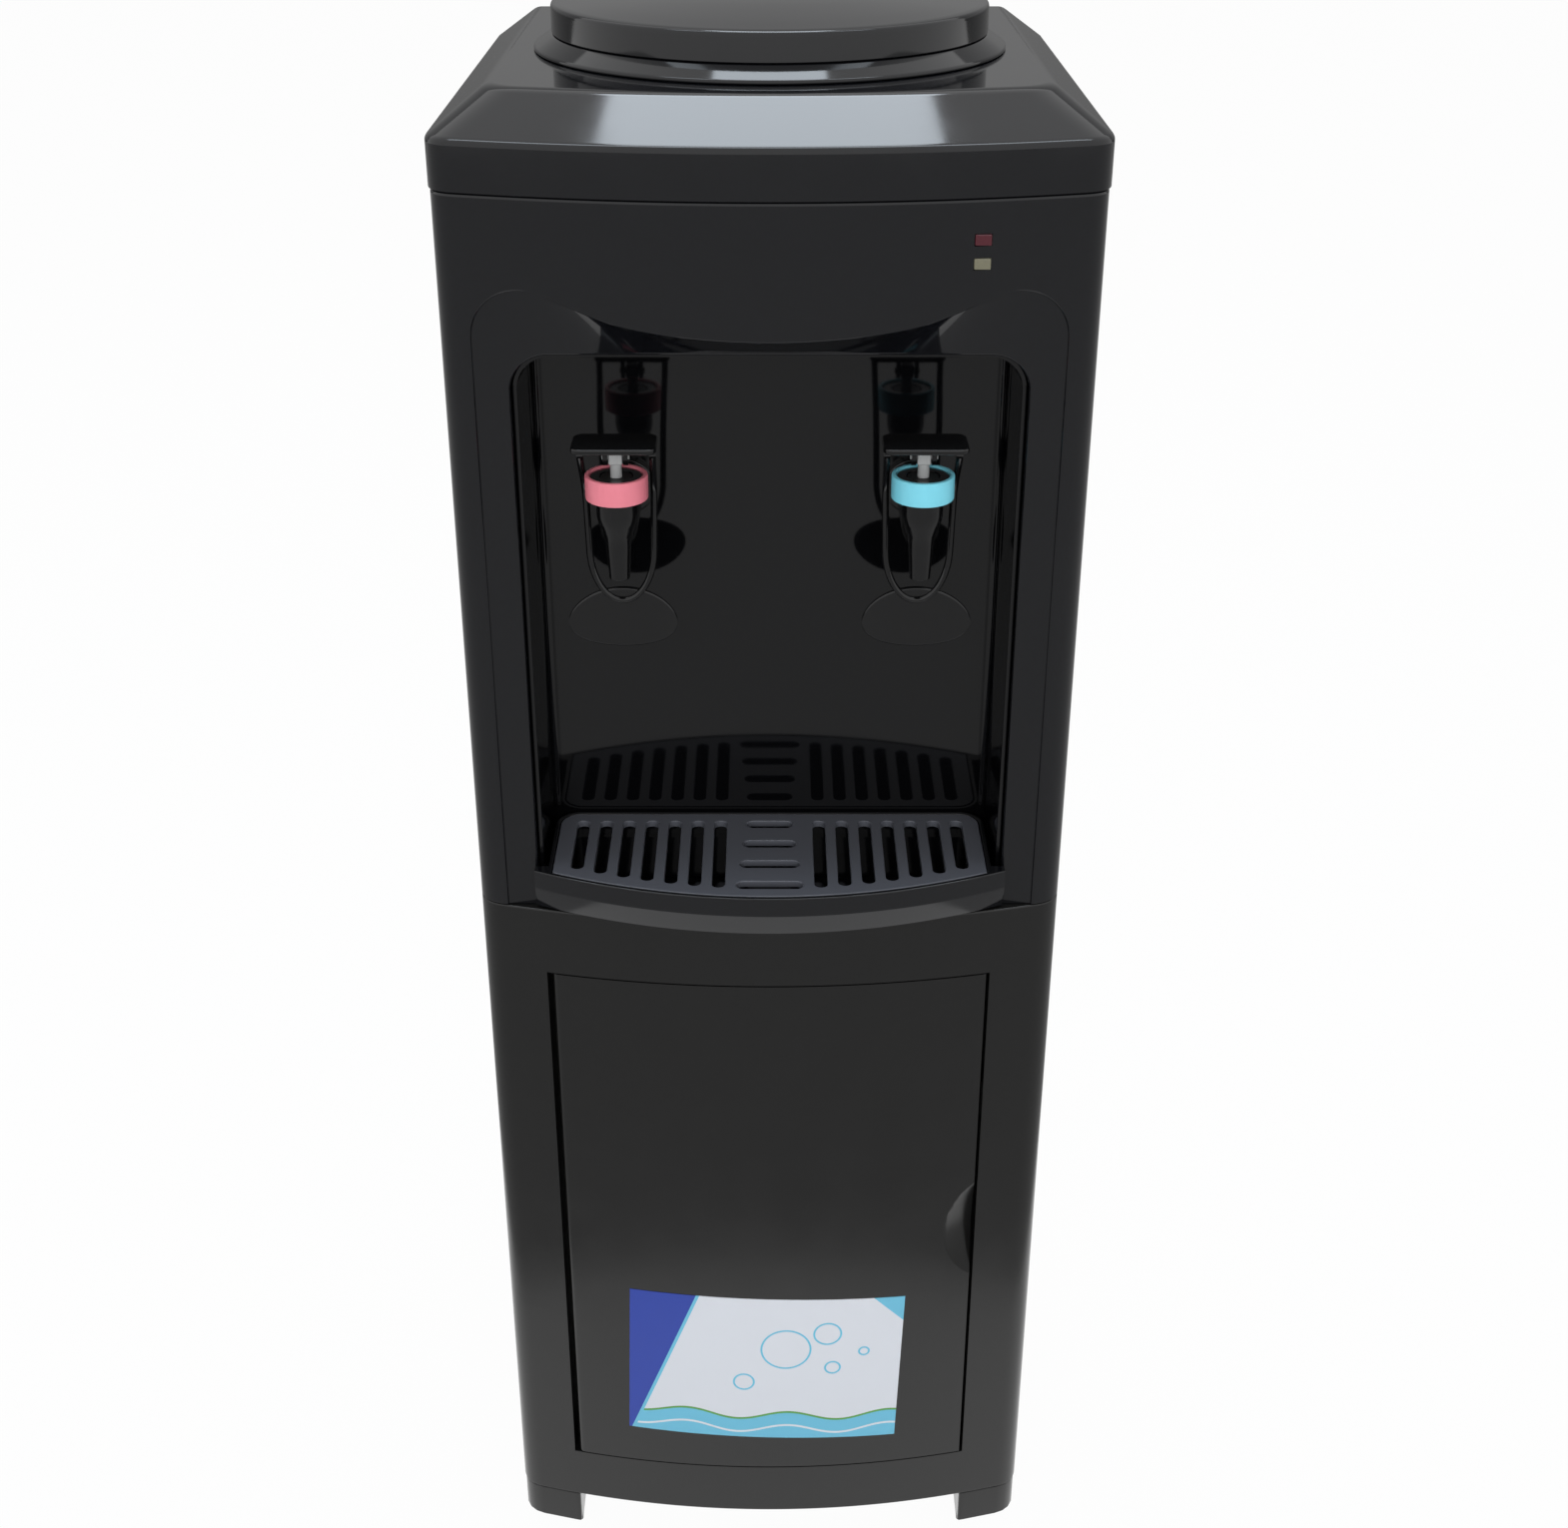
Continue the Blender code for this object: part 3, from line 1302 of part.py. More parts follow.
def tube(name, path, radius, sides, tube_material):
    """A round bar along a path, its sections turned as little as they can be."""
    rings = []
    side = None
    for at, point in enumerate(path):
        along = (path[min(at + 1, len(path) - 1)] - path[max(at - 1, 0)]).normalized()
        if side is None:
            side = along.orthogonal().normalized()
        side = (side - along * side.dot(along)).normalized()
        lift = along.cross(side)
        ring = []
        for step in range(sides):
            angle = math.tau * step / sides
            ring.append(point + (side * math.cos(angle) + lift * math.sin(angle)) * radius)
        rings.append(ring)
    return finish(loft(name, rings), tube_material)


def hose(name, start, start_handle, end_handle, end):
    """A hose along one smooth curve between two ports."""
    start, start_handle, end_handle, end = map(Vector, (start, start_handle, end_handle, end))
    leave = start + (start_handle - start).normalized() * HOSE_END
    arrive = end + (end_handle - end).normalized() * HOSE_END
    bend = curve_points([leave, start_handle, end_handle, arrive], HOSE_STEPS)
    path = [start, leave, *map(Vector, bend), end]
    return tube(name, path, HOSE_RADIUS, HOSE_SIDES, silicone())


def make_hoses():
    """The four hoses: tank to hot tank, hot tank to hot tap, tank to cold tap, hot tank to drain."""
    y = COLLAR_Y
    port = TANK_BOTTOM - SPIGOT_LENGTH - GAP
    top = HOT_TANK_TOP + SPIGOT_LENGTH + GAP
    tail = RECESS_Y + LINER_WALL + TAP_TAIL + GAP
    hot_x, cold_x = tap_places()
    lead = HOSE_LEAD
    hose("feed_hose", (0, y, port), (0, y, (port + top) / 2), (0, y, (port + top) / 2), (0, y, top))
    hose(
        "hot_hose",
        (-HOT_PORT, y, top),
        (-HOT_PORT, y, top + lead / 2),
        (hot_x, tail + lead, NECK_HEIGHT),
        (hot_x, tail, NECK_HEIGHT),
    )
    hose(
        "cold_hose",
        (COLD_PORT, y, port),
        (COLD_PORT, y, port - lead / 2),
        (cold_x, tail + lead, NECK_HEIGHT),
        (cold_x, tail, NECK_HEIGHT),
    )
    start = hot_drain_height() - GAP
    end = BACK_Y - PANEL_SETBACK - SHEET - SPOUT_TAIL - GAP
    hose("drain_hose", (0, y, start), (0, y, DRAIN_HEIGHT), (0, y, DRAIN_HEIGHT), (0, end, DRAIN_HEIGHT))


def tap_places():
    """The x of the hot tap and of the cold tap."""
    return -TAP_SPACING / 2, TAP_SPACING / 2


def make_tap_body(name, x):
    """Barrel with its chamber, tapered nozzle, and a neck through the liner's back."""
    centre = Vector((x, TAP_Y, 0))
    low = BARREL_TOP - BARREL_HEIGHT
    chamber = BARREL_TOP - CHAMBER_DEPTH
    taper = low - TAPER_HEIGHT
    tip = taper - NOZZLE_LENGTH
    profile = [
        (0, chamber),
        (CHAMBER_RADIUS, chamber),
        (CHAMBER_RADIUS, BARREL_TOP),
        (BARREL_RADIUS, BARREL_TOP),
        (BARREL_RADIUS, low),
        (NOZZLE_TOP_RADIUS, taper),
        (NOZZLE_RADIUS, tip),
        (NOZZLE_BORE, tip),
        (NOZZLE_BORE, tip + BORE_LENGTH),
        (0, tip + BORE_LENGTH),
    ]
    body = revolve(name, profile, centre, "Z", INNER_STEPS)
    along = Vector((x, 0, NECK_HEIGHT))
    neck_end = RECESS_Y + LINER_WALL + TAP_TAIL
    face = RECESS_Y - GAP
    neck = [
        (0, TAP_Y),
        (TAP_NECK_RADIUS, TAP_Y),
        (TAP_NECK_RADIUS, face - TAP_FLANGE_THICKNESS),
        (TAP_FLANGE_RADIUS, face - TAP_FLANGE_THICKNESS),
        (TAP_FLANGE_RADIUS, face),
        (TAP_NECK_RADIUS, face),
        (TAP_NECK_RADIUS, neck_end),
        (0, neck_end),
    ]
    join(body, revolve("neck", neck, along, "Y", TUBE_STEPS))
    return finish(body, gloss_black())


def make_tap_ring(name, x, colour):
    """Coloured cap ring round the top of the barrel."""
    centre = Vector((x, TAP_Y, 0))
    inner = BARREL_RADIUS + GAP
    outer = inner + RING_WALL
    high = BARREL_TOP + RING_RISE
    low = high - RING_HEIGHT
    edge = RING_CHAMFER
    profile = [
        (inner, low),
        (outer - edge, low),
        (outer, low + edge),
        (outer, high - edge),
        (outer - edge, high),
        (inner, high),
    ]
    return finish(revolve(name, profile, centre, "Z", INNER_STEPS), colour)


def lever_pivot(x):
    return Vector((x, TAP_Y, PIVOT_HEIGHT))


def make_tap_stem(name, x):
    """Valve stem: foot in the chamber, rod, and a head with two trunnions for the lever."""
    centre = Vector((x, TAP_Y, 0))
    foot = BARREL_TOP - CHAMBER_DEPTH + GAP
    head = BARREL_TOP + STEM_RISE
    profile = [
        (0, foot),
        (STEM_FOOT_RADIUS, foot),
        (STEM_FOOT_RADIUS, foot + STEM_FOOT_HEIGHT),
        (STEM_RADIUS, foot + STEM_FOOT_HEIGHT),
        (STEM_RADIUS, head + HEAD_HEIGHT / 2),
        (0, head + HEAD_HEIGHT / 2),
    ]
    stem = revolve(name, profile, centre, "Z", TUBE_STEPS)
    low = (x - HEAD_WIDTH / 2, TAP_Y - HEAD_DEPTH / 2, head)
    high = (x + HEAD_WIDTH / 2, TAP_Y + HEAD_DEPTH / 2, head + HEAD_HEIGHT)
    join(stem, block("head", low, high))
    middle = Vector((0, TAP_Y, PIVOT_HEIGHT))
    start = x - TRUNNION_LENGTH / 2
    end = start + TRUNNION_LENGTH
    join(stem, cylinder("trunnions", TRUNNION_RADIUS, middle, start, end, "X", SMALL_STEPS))
    return finish(stem, milky_plastic(), lever_pivot(x))


def make_tap_seal(name, x):
    """Sealing disc that closes the chamber round the stem."""
    centre = Vector((x, TAP_Y, 0))
    high = BARREL_TOP - SEAL_DROP
    low = high - SEAL_HEIGHT
    inner = STEM_RADIUS + SEAL_PLAY
    outer = CHAMBER_RADIUS - GAP
    profile = [(inner, low), (outer, low), (outer, high), (inner, high)]
    return finish(revolve(name, profile, centre, "Z", TUBE_STEPS), satin_black())


def make_tap_spring(name, x):
    """Coil spring between the stem's foot and the sealing disc."""
    low = BARREL_TOP - CHAMBER_DEPTH + GAP + STEM_FOOT_HEIGHT + SPRING_WIRE + GAP
    high = BARREL_TOP - SEAL_DROP - SEAL_HEIGHT - SPRING_WIRE - GAP
    count = SPRING_TURNS * SPRING_STEPS
    path = []
    for step in range(count + 1):
        angle = math.tau * step / SPRING_STEPS
        height = low + (high - low) * step / count
        across = x + SPRING_RADIUS * math.cos(angle)
        path.append(Vector((across, TAP_Y + SPRING_RADIUS * math.sin(angle), height)))
    return tube(name, path, SPRING_WIRE, SPRING_SIDES, stainless())


def make_tap_nut(name, x):
    """Hexagonal lock nut behind the recess liner."""
    centre = Vector((x, 0, NECK_HEIGHT))
    low = RECESS_Y + LINER_WALL + GAP
    high = low + NUT_THICKNESS
    nut = cylinder(name, NUT_RADIUS, centre, low, high, "Y", NUT_SIDES)
    bore = TAP_NECK_RADIUS + GAP
    cut(nut, cylinder("hole", bore, centre, low - OVERRUN, high + OVERRUN, "Y", TUBE_STEPS))
    return finish(nut, milky_plastic())


def loop_path(x):
    """The lever's loop: down one side, round the bottom and up the other side."""
    top = PIVOT_HEIGHT + PLATE_LIFT + LEVER_PLATE / 2
    bend = PIVOT_HEIGHT - LOOP_STRAIGHT
    half = []
    for step in range(ARC_STEPS):
        share = step / ARC_STEPS
        half.append((LOOP_HALF, top + (bend - top) * share))
    for step in range(ARC_STEPS + 1):
        angle = math.pi / 2 * step / ARC_STEPS
        half.append((LOOP_HALF * math.cos(angle), bend - LOOP_BOTTOM * math.sin(angle)))
    path = half + [(-across, height) for across, height in reversed(half[:-1])]
    points = []
    for across, height in path:
        share = min(1.0, (top - height) / LOOP_EASE)
        back = LOOP_SETBACK * share**2 * (3 - 2 * share)
        points.append(Vector((x + across, TAP_Y + back, height)))
    return points


def make_paddle(x):
    """Round paddle, curved to take a cup, as a loft of thin sections across its width."""
    centre_z = PIVOT_HEIGHT - PADDLE_DROP
    half = PADDLE_WIDTH / 2
    rings = []
    count = 2 * ARC_STEPS
    for step in range(count + 1):
        angle = math.pi * step / count
        across = -half * math.cos(angle)
        rise = max(PADDLE_HEIGHT / 2 * math.sin(angle), PADDLE_TIP)
        front = TAP_Y + LOOP_SETBACK - PADDLE_CURVE * (across / half) ** 2
        back = front + PADDLE_THICKNESS
        low = centre_z - rise
        high = centre_z + rise
        ring = [(front, low), (back, low), (back, high), (front, high)]
        rings.append([Vector((x + across, y, z)) for y, z in ring])
    return loft("paddle", rings)


def make_lever(name, x):
    """Cup lever: thumb plate with two ears on the stem's trunnions, a loop and a round paddle."""
    low = PIVOT_HEIGHT + PLATE_LIFT
    outline = rounded_box_outline(
        x - PLATE_WIDTH / 2,
        TAP_Y - PLATE_FRONT,
        x + PLATE_WIDTH / 2,
        TAP_Y + PLATE_REAR,
        PLATE_CORNER,
        PLATE_STEPS,
    )
    lever = prism(name, outline, low, low + LEVER_PLATE)
    join(lever, sweep("loop", loop_path(x), ARM_WIDTH, ARM_DEPTH, ARM_SIDES), make_paddle(x))
    for side in (-1, 1):
        start = side * (HEAD_WIDTH / 2 + EAR_PLAY)
        end = start + side * EAR_THICKNESS
        ear_outline = arc(TAP_Y, PIVOT_HEIGHT, EAR_RADIUS, 180, 360, ARC_STEPS)
        root = low + LEVER_PLATE / 2
        ear_outline += [(TAP_Y + EAR_RADIUS, root), (TAP_Y - EAR_RADIUS, root)]
        join(lever, prism("ear", ear_outline, x + min(start, end), x + max(start, end), "X"))
    middle = Vector((0, TAP_Y, PIVOT_HEIGHT))
    reach = TRUNNION_LENGTH
    hole = cylinder("hole", TRUNNION_RADIUS + EAR_PLAY, middle, x - reach, x + reach, "X", SMALL_STEPS)
    return finish(cut(lever, hole), gloss_black(), lever_pivot(x))


def make_tap(word, x, colour):
    make_tap_body(word + "_tap_body", x)
    make_tap_ring(word + "_tap_ring", x, colour)
    make_tap_stem(word + "_tap_stem", x)
    make_tap_seal(word + "_tap_seal", x)
    make_tap_spring(word + "_tap_spring", x)
    make_tap_nut(word + "_tap_nut", x)
    make_lever(word + "_tap_lever", x)


def tray_front(x, inset):
    """The drip tray's bowed front at x."""
    half = TRAY_WIDTH / 2
    return FRONT_Y - BOW_DEPTH - TRAY_PROUD + inset + TRAY_SWEEP * (x / half) ** 2


def tray_rear():
    return RECESS_Y - TRAY_REAR_CLEARANCE


def tray_side():
    """Half width of the tray's part inside the recess."""
    return OPENING_WIDTH / 2 - GAP - LINER_WALL - RECESS_DRAFT - TRAY_SIDE_CLEARANCE


def tray_outline(inset, wing=True):
    """Plan outline of the tray: bowed front, short wings, and rounded rear corners."""
    half = TRAY_WIDTH / 2 - inset
    side = tray_side() - inset
    radius = TRAY_CORNER - inset
    rear = tray_rear() - inset
    reach = half if wing else side
    front = [
        (reach * (2 * step / BOW_STEPS - 1), tray_front(reach * (2 * step / BOW_STEPS - 1), inset))
        for step in range(BOW_STEPS + 1)
    ]
    outline = list(front)
    if wing:
        step_y = tray_front(TRAY_WIDTH / 2, 0) + TRAY_WING
        outline += [(half, step_y - inset), (side, step_y - inset)]
    outline += arc(side - radius, rear - radius, radius, 0, 90, ARC_STEPS)
    outline += [(-x, y) for x, y in arc(side - radius, rear - radius, radius, 90, 0, ARC_STEPS)]
    if wing:
        outline += [(-side, step_y - inset), (-half, step_y - inset)]
    return outline


def tray_pivot():
    return Vector((0, tray_front(0, 0), SEAM_HEIGHT + GAP))


def tray_ring(low_cut, height):
    """One level of the tray's outside, its front edge pulled back by low_cut."""
    points = []
    for x, y in tray_outline(0.0):
        on_front = y < tray_front(TRAY_WIDTH / 2, 0) + TRAY_WING / 2
        points.append(Vector((x, y + (low_cut if on_front else 0.0), height)))
    return points


def make_tray():
    """Drip tray: undercut front band, basin, and a ledge for the grille."""
    low = SEAM_HEIGHT + GAP
    top = low + TRAY_HEIGHT
    rings = [
        tray_ring(TRAY_UNDERCUT, low),
        tray_ring(0.0, low + TRAY_BAND),
        tray_ring(0.0, top),
    ]
    tray = loft("drip_tray", rings)
    seat = top - GRILLE_THICKNESS - GAP
    upper = prism("upper", tray_outline(TRAY_WALL, False), seat, top + OVERRUN)
    basin_inset = TRAY_WALL + LEDGE_WIDTH
    middle = prism("middle", tray_outline(basin_inset, False), low + TRAY_BAND, seat + OVERRUN / 4)
    lower_outline = tray_outline(basin_inset + TRAY_UNDERCUT, False)
    lower = prism("lower", lower_outline, low + TRAY_FLOOR, low + TRAY_BAND + OVERRUN / 4)
    cut(tray, upper, middle, lower)
    return finish(tray, gloss_black(), tray_pivot())


def grille_front(x):
    return tray_front(x, TRAY_WALL + GRILLE_PLAY)


def make_grille():
    """Drip grille: fore-and-aft slots either side of a block of cross slots."""
    high = SEAM_HEIGHT + GAP + TRAY_HEIGHT
    low = high - GRILLE_THICKNESS
    grille = prism("drip_grille", tray_outline(TRAY_WALL + GRILLE_PLAY, False), low, high)
    rear = tray_rear() - TRAY_WALL - GRILLE_PLAY - SLOT_MARGIN
    slots = []
    half = SLOT_WIDTH / 2
    for side in (-1, 1):
        for at in range(SLOTS_PER_SIDE):
            x = side * (SLOT_FIRST + SLOT_PITCH * at)
            front = grille_front(abs(x) + half) + SLOT_MARGIN
            outline = rounded_box_outline(x - half, front, x + half, rear, half, SLOT_STEPS)
            slots.append(prism("slot", outline, low - OVERRUN, high + OVERRUN))
    front = grille_front(BAR_SLOT_HALF) + SLOT_MARGIN
    pitch = (rear - front - BAR_SLOT_WIDTH) / (BAR_SLOTS - 1)
    for at in range(BAR_SLOTS):
        y = rear - BAR_SLOT_WIDTH / 2 - pitch * at
        reach = BAR_SLOT_HALF + BAR_SLOT_GROWTH * at
        round_end = BAR_SLOT_WIDTH / 2
        outline = rounded_box_outline(-reach, y - round_end, reach, y + round_end, round_end, SLOT_STEPS)
        slots.append(prism("slot", outline, low - OVERRUN, high + OVERRUN))
    cut(grille, gather("slots", slots))
    return finish(grille, satin_black(), tray_pivot())


def lamp_heights():
    """Heights of the heating lamp and of the power lamp below it."""
    upper = BODY_TOP - LAMP_DROP
    return upper, upper - LAMP_PITCH


def make_lamp(name, height, colour):
    """Lamp lens that lies flush in its window."""
    half = LAMP_WIDTH / 2
    left = LAMP_OFFSET - half
    right = LAMP_OFFSET + half
    outline = [
        (left, bow_y(left)),
        (right, bow_y(right)),
        (right, bow_y(LAMP_OFFSET) + LAMP_LENGTH),
        (left, bow_y(LAMP_OFFSET) + LAMP_LENGTH),
    ]
    rise = LAMP_HEIGHT / 2
    return finish(prism(name, outline, height - rise, height + rise), colour)


def make_lamp_board():
    """Small board behind the lamps, on two posts that meet the fascia's inner side."""
    front = bow_y(LAMP_OFFSET) + LAMP_LENGTH + GAP
    upper, lower = lamp_heights()
    middle = (upper + lower) / 2
    half = BOARD_WIDTH / 2
    rise = BOARD_HEIGHT / 2
    low = (LAMP_OFFSET - half, front, middle - rise)
    high = (LAMP_OFFSET + half, front + BOARD_THICKNESS, middle + rise)
    board = block("lamp_board", low, high)
    for side in (-1, 1):
        x = LAMP_OFFSET + side * (half - BOARD_POST / 2)
        face = bow_y(x + BOARD_POST / 2, WALL) + GAP
        post = block(
            "post",
            (x - BOARD_POST / 2, face, middle - BOARD_POST / 2),
            (x + BOARD_POST / 2, front + BOARD_THICKNESS / 2, middle + BOARD_POST / 2),
        )
        join(board, post)
    return finish(board, milky_plastic())


def bezel_reach():
    """Half width and half height of the switch bezel's body."""
    return ROCKER_WIDTH / 2 + ROCKER_PLAY + BEZEL_WALL, ROCKER_RADIUS + ROCKER_PLAY + BEZEL_WALL


def make_bezel():
    """Switch housing in the back panel, with a round pocket for the rocker."""
    across, rise = bezel_reach()
    back = BACK_Y - PANEL_SETBACK
    x = -SWITCH_OFFSET
    deep = ROCKER_Y - ROCKER_RADIUS - ROCKER_PLAY - BEZEL_WALL
    low = SWITCH_HEIGHT - rise
    high = SWITCH_HEIGHT + rise
    body = block("switch_bezel", (x - across, deep, low), (x + across, back + GAP, high))
    edge = BEZEL_FLANGE
    flange = block(
        "flange",
        (x - across - edge, back + GAP, low - edge),
        (x + across + edge, back + GAP + BEZEL_THICKNESS, high + edge),
    )
    join(body, flange)
    centre = Vector((0, ROCKER_Y, SWITCH_HEIGHT))
    reach = ROCKER_WIDTH / 2 + ROCKER_PLAY
    radius = ROCKER_RADIUS + ROCKER_PLAY
    cut(body, cylinder("pocket", radius, centre, x - reach, x + reach, "X", INNER_STEPS))
    return finish(body, satin_black())


def make_rocker():
    """Rocker key, a round slice with two flats that meet at a shallow angle."""
    x = -SWITCH_OFFSET
    face = math.radians(ROCKER_FACE_ANGLE)
    rise = ROCKER_RADIUS * math.sin(face)
    depth = ROCKER_RADIUS * math.cos(face) - rise * math.sin(math.radians(ROCKER_TILT))
    outline = arc(0, 0, ROCKER_RADIUS, ROCKER_FACE_ANGLE, 360 - ROCKER_FACE_ANGLE, INNER_STEPS)
    outline.append((depth, 0.0))
    rest = Matrix.Rotation(math.radians(ROCKER_TILT), 2)
    axis = Vector((ROCKER_Y, SWITCH_HEIGHT))
    turned = [axis + rest @ Vector(point) for point in outline]
    half = ROCKER_WIDTH / 2
    rocker = prism("heater_rocker", turned, x - half, x + half, "X")
    pivot = Vector((x, ROCKER_Y, SWITCH_HEIGHT))
    return finish(rocker, material("signal_red", (0.62, 0.03, 0.03), 0.35), pivot)


def make_gland():
    """Rubber gland of the mains lead, with an open bore."""
    centre = Vector((-GLAND_OFFSET, 0, GLAND_HEIGHT))
    back = BACK_Y - PANEL_SETBACK
    inside = back - SHEET - GAP
    outside = back + GAP
    profile = [
        (GLAND_BORE, outside + GLAND_LENGTH),
        (GLAND_BORE + SHEET, outside + GLAND_LENGTH),
        (GLAND_RADIUS, outside + BEZEL_THICKNESS),
        (GLAND_FLANGE, outside + BEZEL_THICKNESS),
        (GLAND_FLANGE, outside),
        (GLAND_RADIUS, outside),
        (GLAND_RADIUS, inside),
        (GLAND_FLANGE, inside),
        (GLAND_FLANGE, inside - BEZEL_THICKNESS),
        (GLAND_BORE, inside - BEZEL_THICKNESS),
    ]
    return finish(revolve("cord_gland", profile, centre, "Y", TUBE_STEPS), satin_black())


def make_drain_spout():
    """Drain outlet through the back panel."""
    centre = Vector((0, 0, DRAIN_HEIGHT))
    back = BACK_Y - PANEL_SETBACK
    inside = back - SHEET
    outside = back + GAP
    profile = [
        (SPOUT_BORE, inside - SPOUT_TAIL),
        (SPOUT_RADIUS, inside - SPOUT_TAIL),
        (SPOUT_RADIUS, outside),
        (SPOUT_FLANGE, outside),
        (SPOUT_FLANGE, outside + SPOUT_FLANGE_THICKNESS),
        (SPOUT_RADIUS, outside + SPOUT_FLANGE_THICKNESS),
        (SPOUT_RADIUS, outside + SPOUT_REACH),
        (SPOUT_BORE, outside + SPOUT_REACH),
    ]
    return finish(revolve("drain_spout", profile, centre, "Y", INNER_STEPS), milky_plastic())


def make_drain_cap():
    """Screw cap over the drain outlet."""
    centre = Vector((0, 0, DRAIN_HEIGHT))
    seat = BACK_Y - PANEL_SETBACK + GAP + SPOUT_FLANGE_THICKNESS + GAP
    end = BACK_Y + REAR_REACH
    inner = SPOUT_RADIUS + GAP
    outer = inner + CAP_WALL
    profile = [
        (inner, seat),
        (outer, seat),
        (outer, end - GAP),
        (outer - GAP, end),
        (0, end),
        (0, end - CAP_END),
        (inner, end - CAP_END),
    ]
    split = profile.index((0, end - CAP_END))
    cap = revolve("drain_cap", [(0, seat), *profile[1:split]], centre, "Y", INNER_STEPS)
    hollow = [(0, seat - OVERRUN), (inner, seat - OVERRUN), (inner, end - CAP_END), (0, end - CAP_END)]
    cut(cap, revolve("hollow", hollow, centre, "Y", INNER_STEPS))
    return finish(cap, satin_black(), Vector((0, seat, DRAIN_HEIGHT)))


def make_terminal_block():
    """Terminal block on the deck, behind the switch."""
    long, deep, tall = TERMINAL_SIZE
    low_z = DECK_HEIGHT + SHEET + GAP
    y = BACK_Y - TERMINAL_SETBACK - deep
    low = (-TERMINAL_OFFSET - long / 2, y, low_z)
    high = (-TERMINAL_OFFSET + long / 2, y + deep, low_z + tall)
    body = block("terminal_block", low, high)
    for at in range(TERMINAL_WELLS):
        x = -TERMINAL_OFFSET + TERMINAL_PITCH * (at - (TERMINAL_WELLS - 1) / 2)
        centre = Vector((x, y + deep / 2, low_z))
        radius = TERMINAL_WELL_RADIUS
        cut(body, cylinder("well", radius, centre, tall / 2, tall + OVERRUN, "Z", SMALL_STEPS))
    return finish(body, milky_plastic())


def main():
    clear_scene()
    make_base()
    make_lower_front()
    make_door()
    make_door_pins()
    make_strike()
    make_magnet()
    make_cupboard_liner()
    make_fascia()
    make_recess_liner()
    make_side_panel("left_side_panel", -1)
    make_side_panel("right_side_panel", 1)
    make_back_panel()
    make_back_screws()
    make_top_cover()
    make_collar()
    make_lid()
    make_probe()
    make_gasket()
    make_water_tank()
    make_separator()
    make_deck()
    make_stand()
    make_jacket()
    make_hot_tank()
    make_heater()
    make_thermostat()
    make_hoses()
    hot_x, cold_x = tap_places()
    make_tap("hot", hot_x, material("tap_red", (0.87, 0.20, 0.22), 0.35))
    make_tap("cold", cold_x, material("tap_blue", (0.16, 0.60, 0.86), 0.35))
    make_tray()
    make_grille()
    upper, lower = lamp_heights()
    make_lamp("heating_lamp", upper, material("lamp_red", (0.30, 0.02, 0.03), 0.25))
    make_lamp("power_lamp", lower, material("lamp_green", (0.45, 0.45, 0.08), 0.25))
    make_lamp_board()
    make_bezel()
    make_rocker()
    make_gland()
    make_drain_spout()
    make_drain_cap()
    make_terminal_block()


main()
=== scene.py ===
"""Looks of the floor water dispenser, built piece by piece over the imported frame, in a plain studio.

Units are metres, +Z is up and the front faces -Y, as in the frame. Each sub-assembly is a class: its fields
are sizes, and its methods model the pieces at their place and dress them.
"""

import json
import logging
import math
from abc import ABC, abstractmethod
from contextlib import contextmanager
from dataclasses import dataclass
from enum import Enum
from typing import Callable, Iterator, Sequence

import bmesh
import bpy
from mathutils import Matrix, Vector
from mathutils.kdtree import KDTree


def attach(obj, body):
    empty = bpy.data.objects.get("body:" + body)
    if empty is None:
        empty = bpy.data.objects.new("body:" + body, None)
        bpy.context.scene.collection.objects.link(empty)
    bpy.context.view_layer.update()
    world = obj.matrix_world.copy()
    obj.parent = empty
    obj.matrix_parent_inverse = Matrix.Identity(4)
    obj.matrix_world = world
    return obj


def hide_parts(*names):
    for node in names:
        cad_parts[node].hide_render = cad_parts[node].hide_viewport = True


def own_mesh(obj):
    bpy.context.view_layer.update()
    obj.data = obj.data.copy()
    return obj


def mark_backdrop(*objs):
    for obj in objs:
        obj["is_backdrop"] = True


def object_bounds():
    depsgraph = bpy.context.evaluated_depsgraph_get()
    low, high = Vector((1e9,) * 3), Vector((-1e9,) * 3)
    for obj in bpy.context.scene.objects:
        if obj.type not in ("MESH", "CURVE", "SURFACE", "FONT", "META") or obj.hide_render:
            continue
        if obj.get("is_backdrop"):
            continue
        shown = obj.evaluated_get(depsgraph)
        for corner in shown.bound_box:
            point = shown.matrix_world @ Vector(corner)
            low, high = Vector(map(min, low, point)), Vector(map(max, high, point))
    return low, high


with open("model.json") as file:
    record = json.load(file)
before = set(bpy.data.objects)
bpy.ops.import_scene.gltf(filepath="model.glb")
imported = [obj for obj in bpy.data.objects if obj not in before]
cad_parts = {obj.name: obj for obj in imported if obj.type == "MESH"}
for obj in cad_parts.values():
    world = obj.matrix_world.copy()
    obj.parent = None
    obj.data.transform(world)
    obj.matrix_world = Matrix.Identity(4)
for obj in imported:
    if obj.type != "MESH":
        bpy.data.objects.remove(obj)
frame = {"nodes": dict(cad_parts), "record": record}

LOG = logging.getLogger("dispenser")
WHITE = (1.0, 1.0, 1.0, 1.0)

# Side of the small plane that a line of edges is drawn from
SEED_SIZE = 0.001

# Points that are nearer to each other than this are one point
SAME_POINT = 0.000002

# An edge this near to a face belongs to it, by FINE where other edges are close and by CLOSE elsewhere
FINE = 0.0002
CLOSE = 0.001

# How far a cutter reaches past what it cuts
OVERRUN = 0.01

# Faces that meet at less than this many degrees are parts of one flat face
FLAT_ANGLE = 0.4

Piece = bpy.types.Object
Socket = bpy.types.NodeSocket
Edge = bmesh.types.BMEdge
Outline = list[tuple[float, float]]
Loop = list[Vector]


class Kind(Enum):
    """What a bench operation picks."""

    VERT = "VERT"
    EDGE = "EDGE"
    FACE = "FACE"


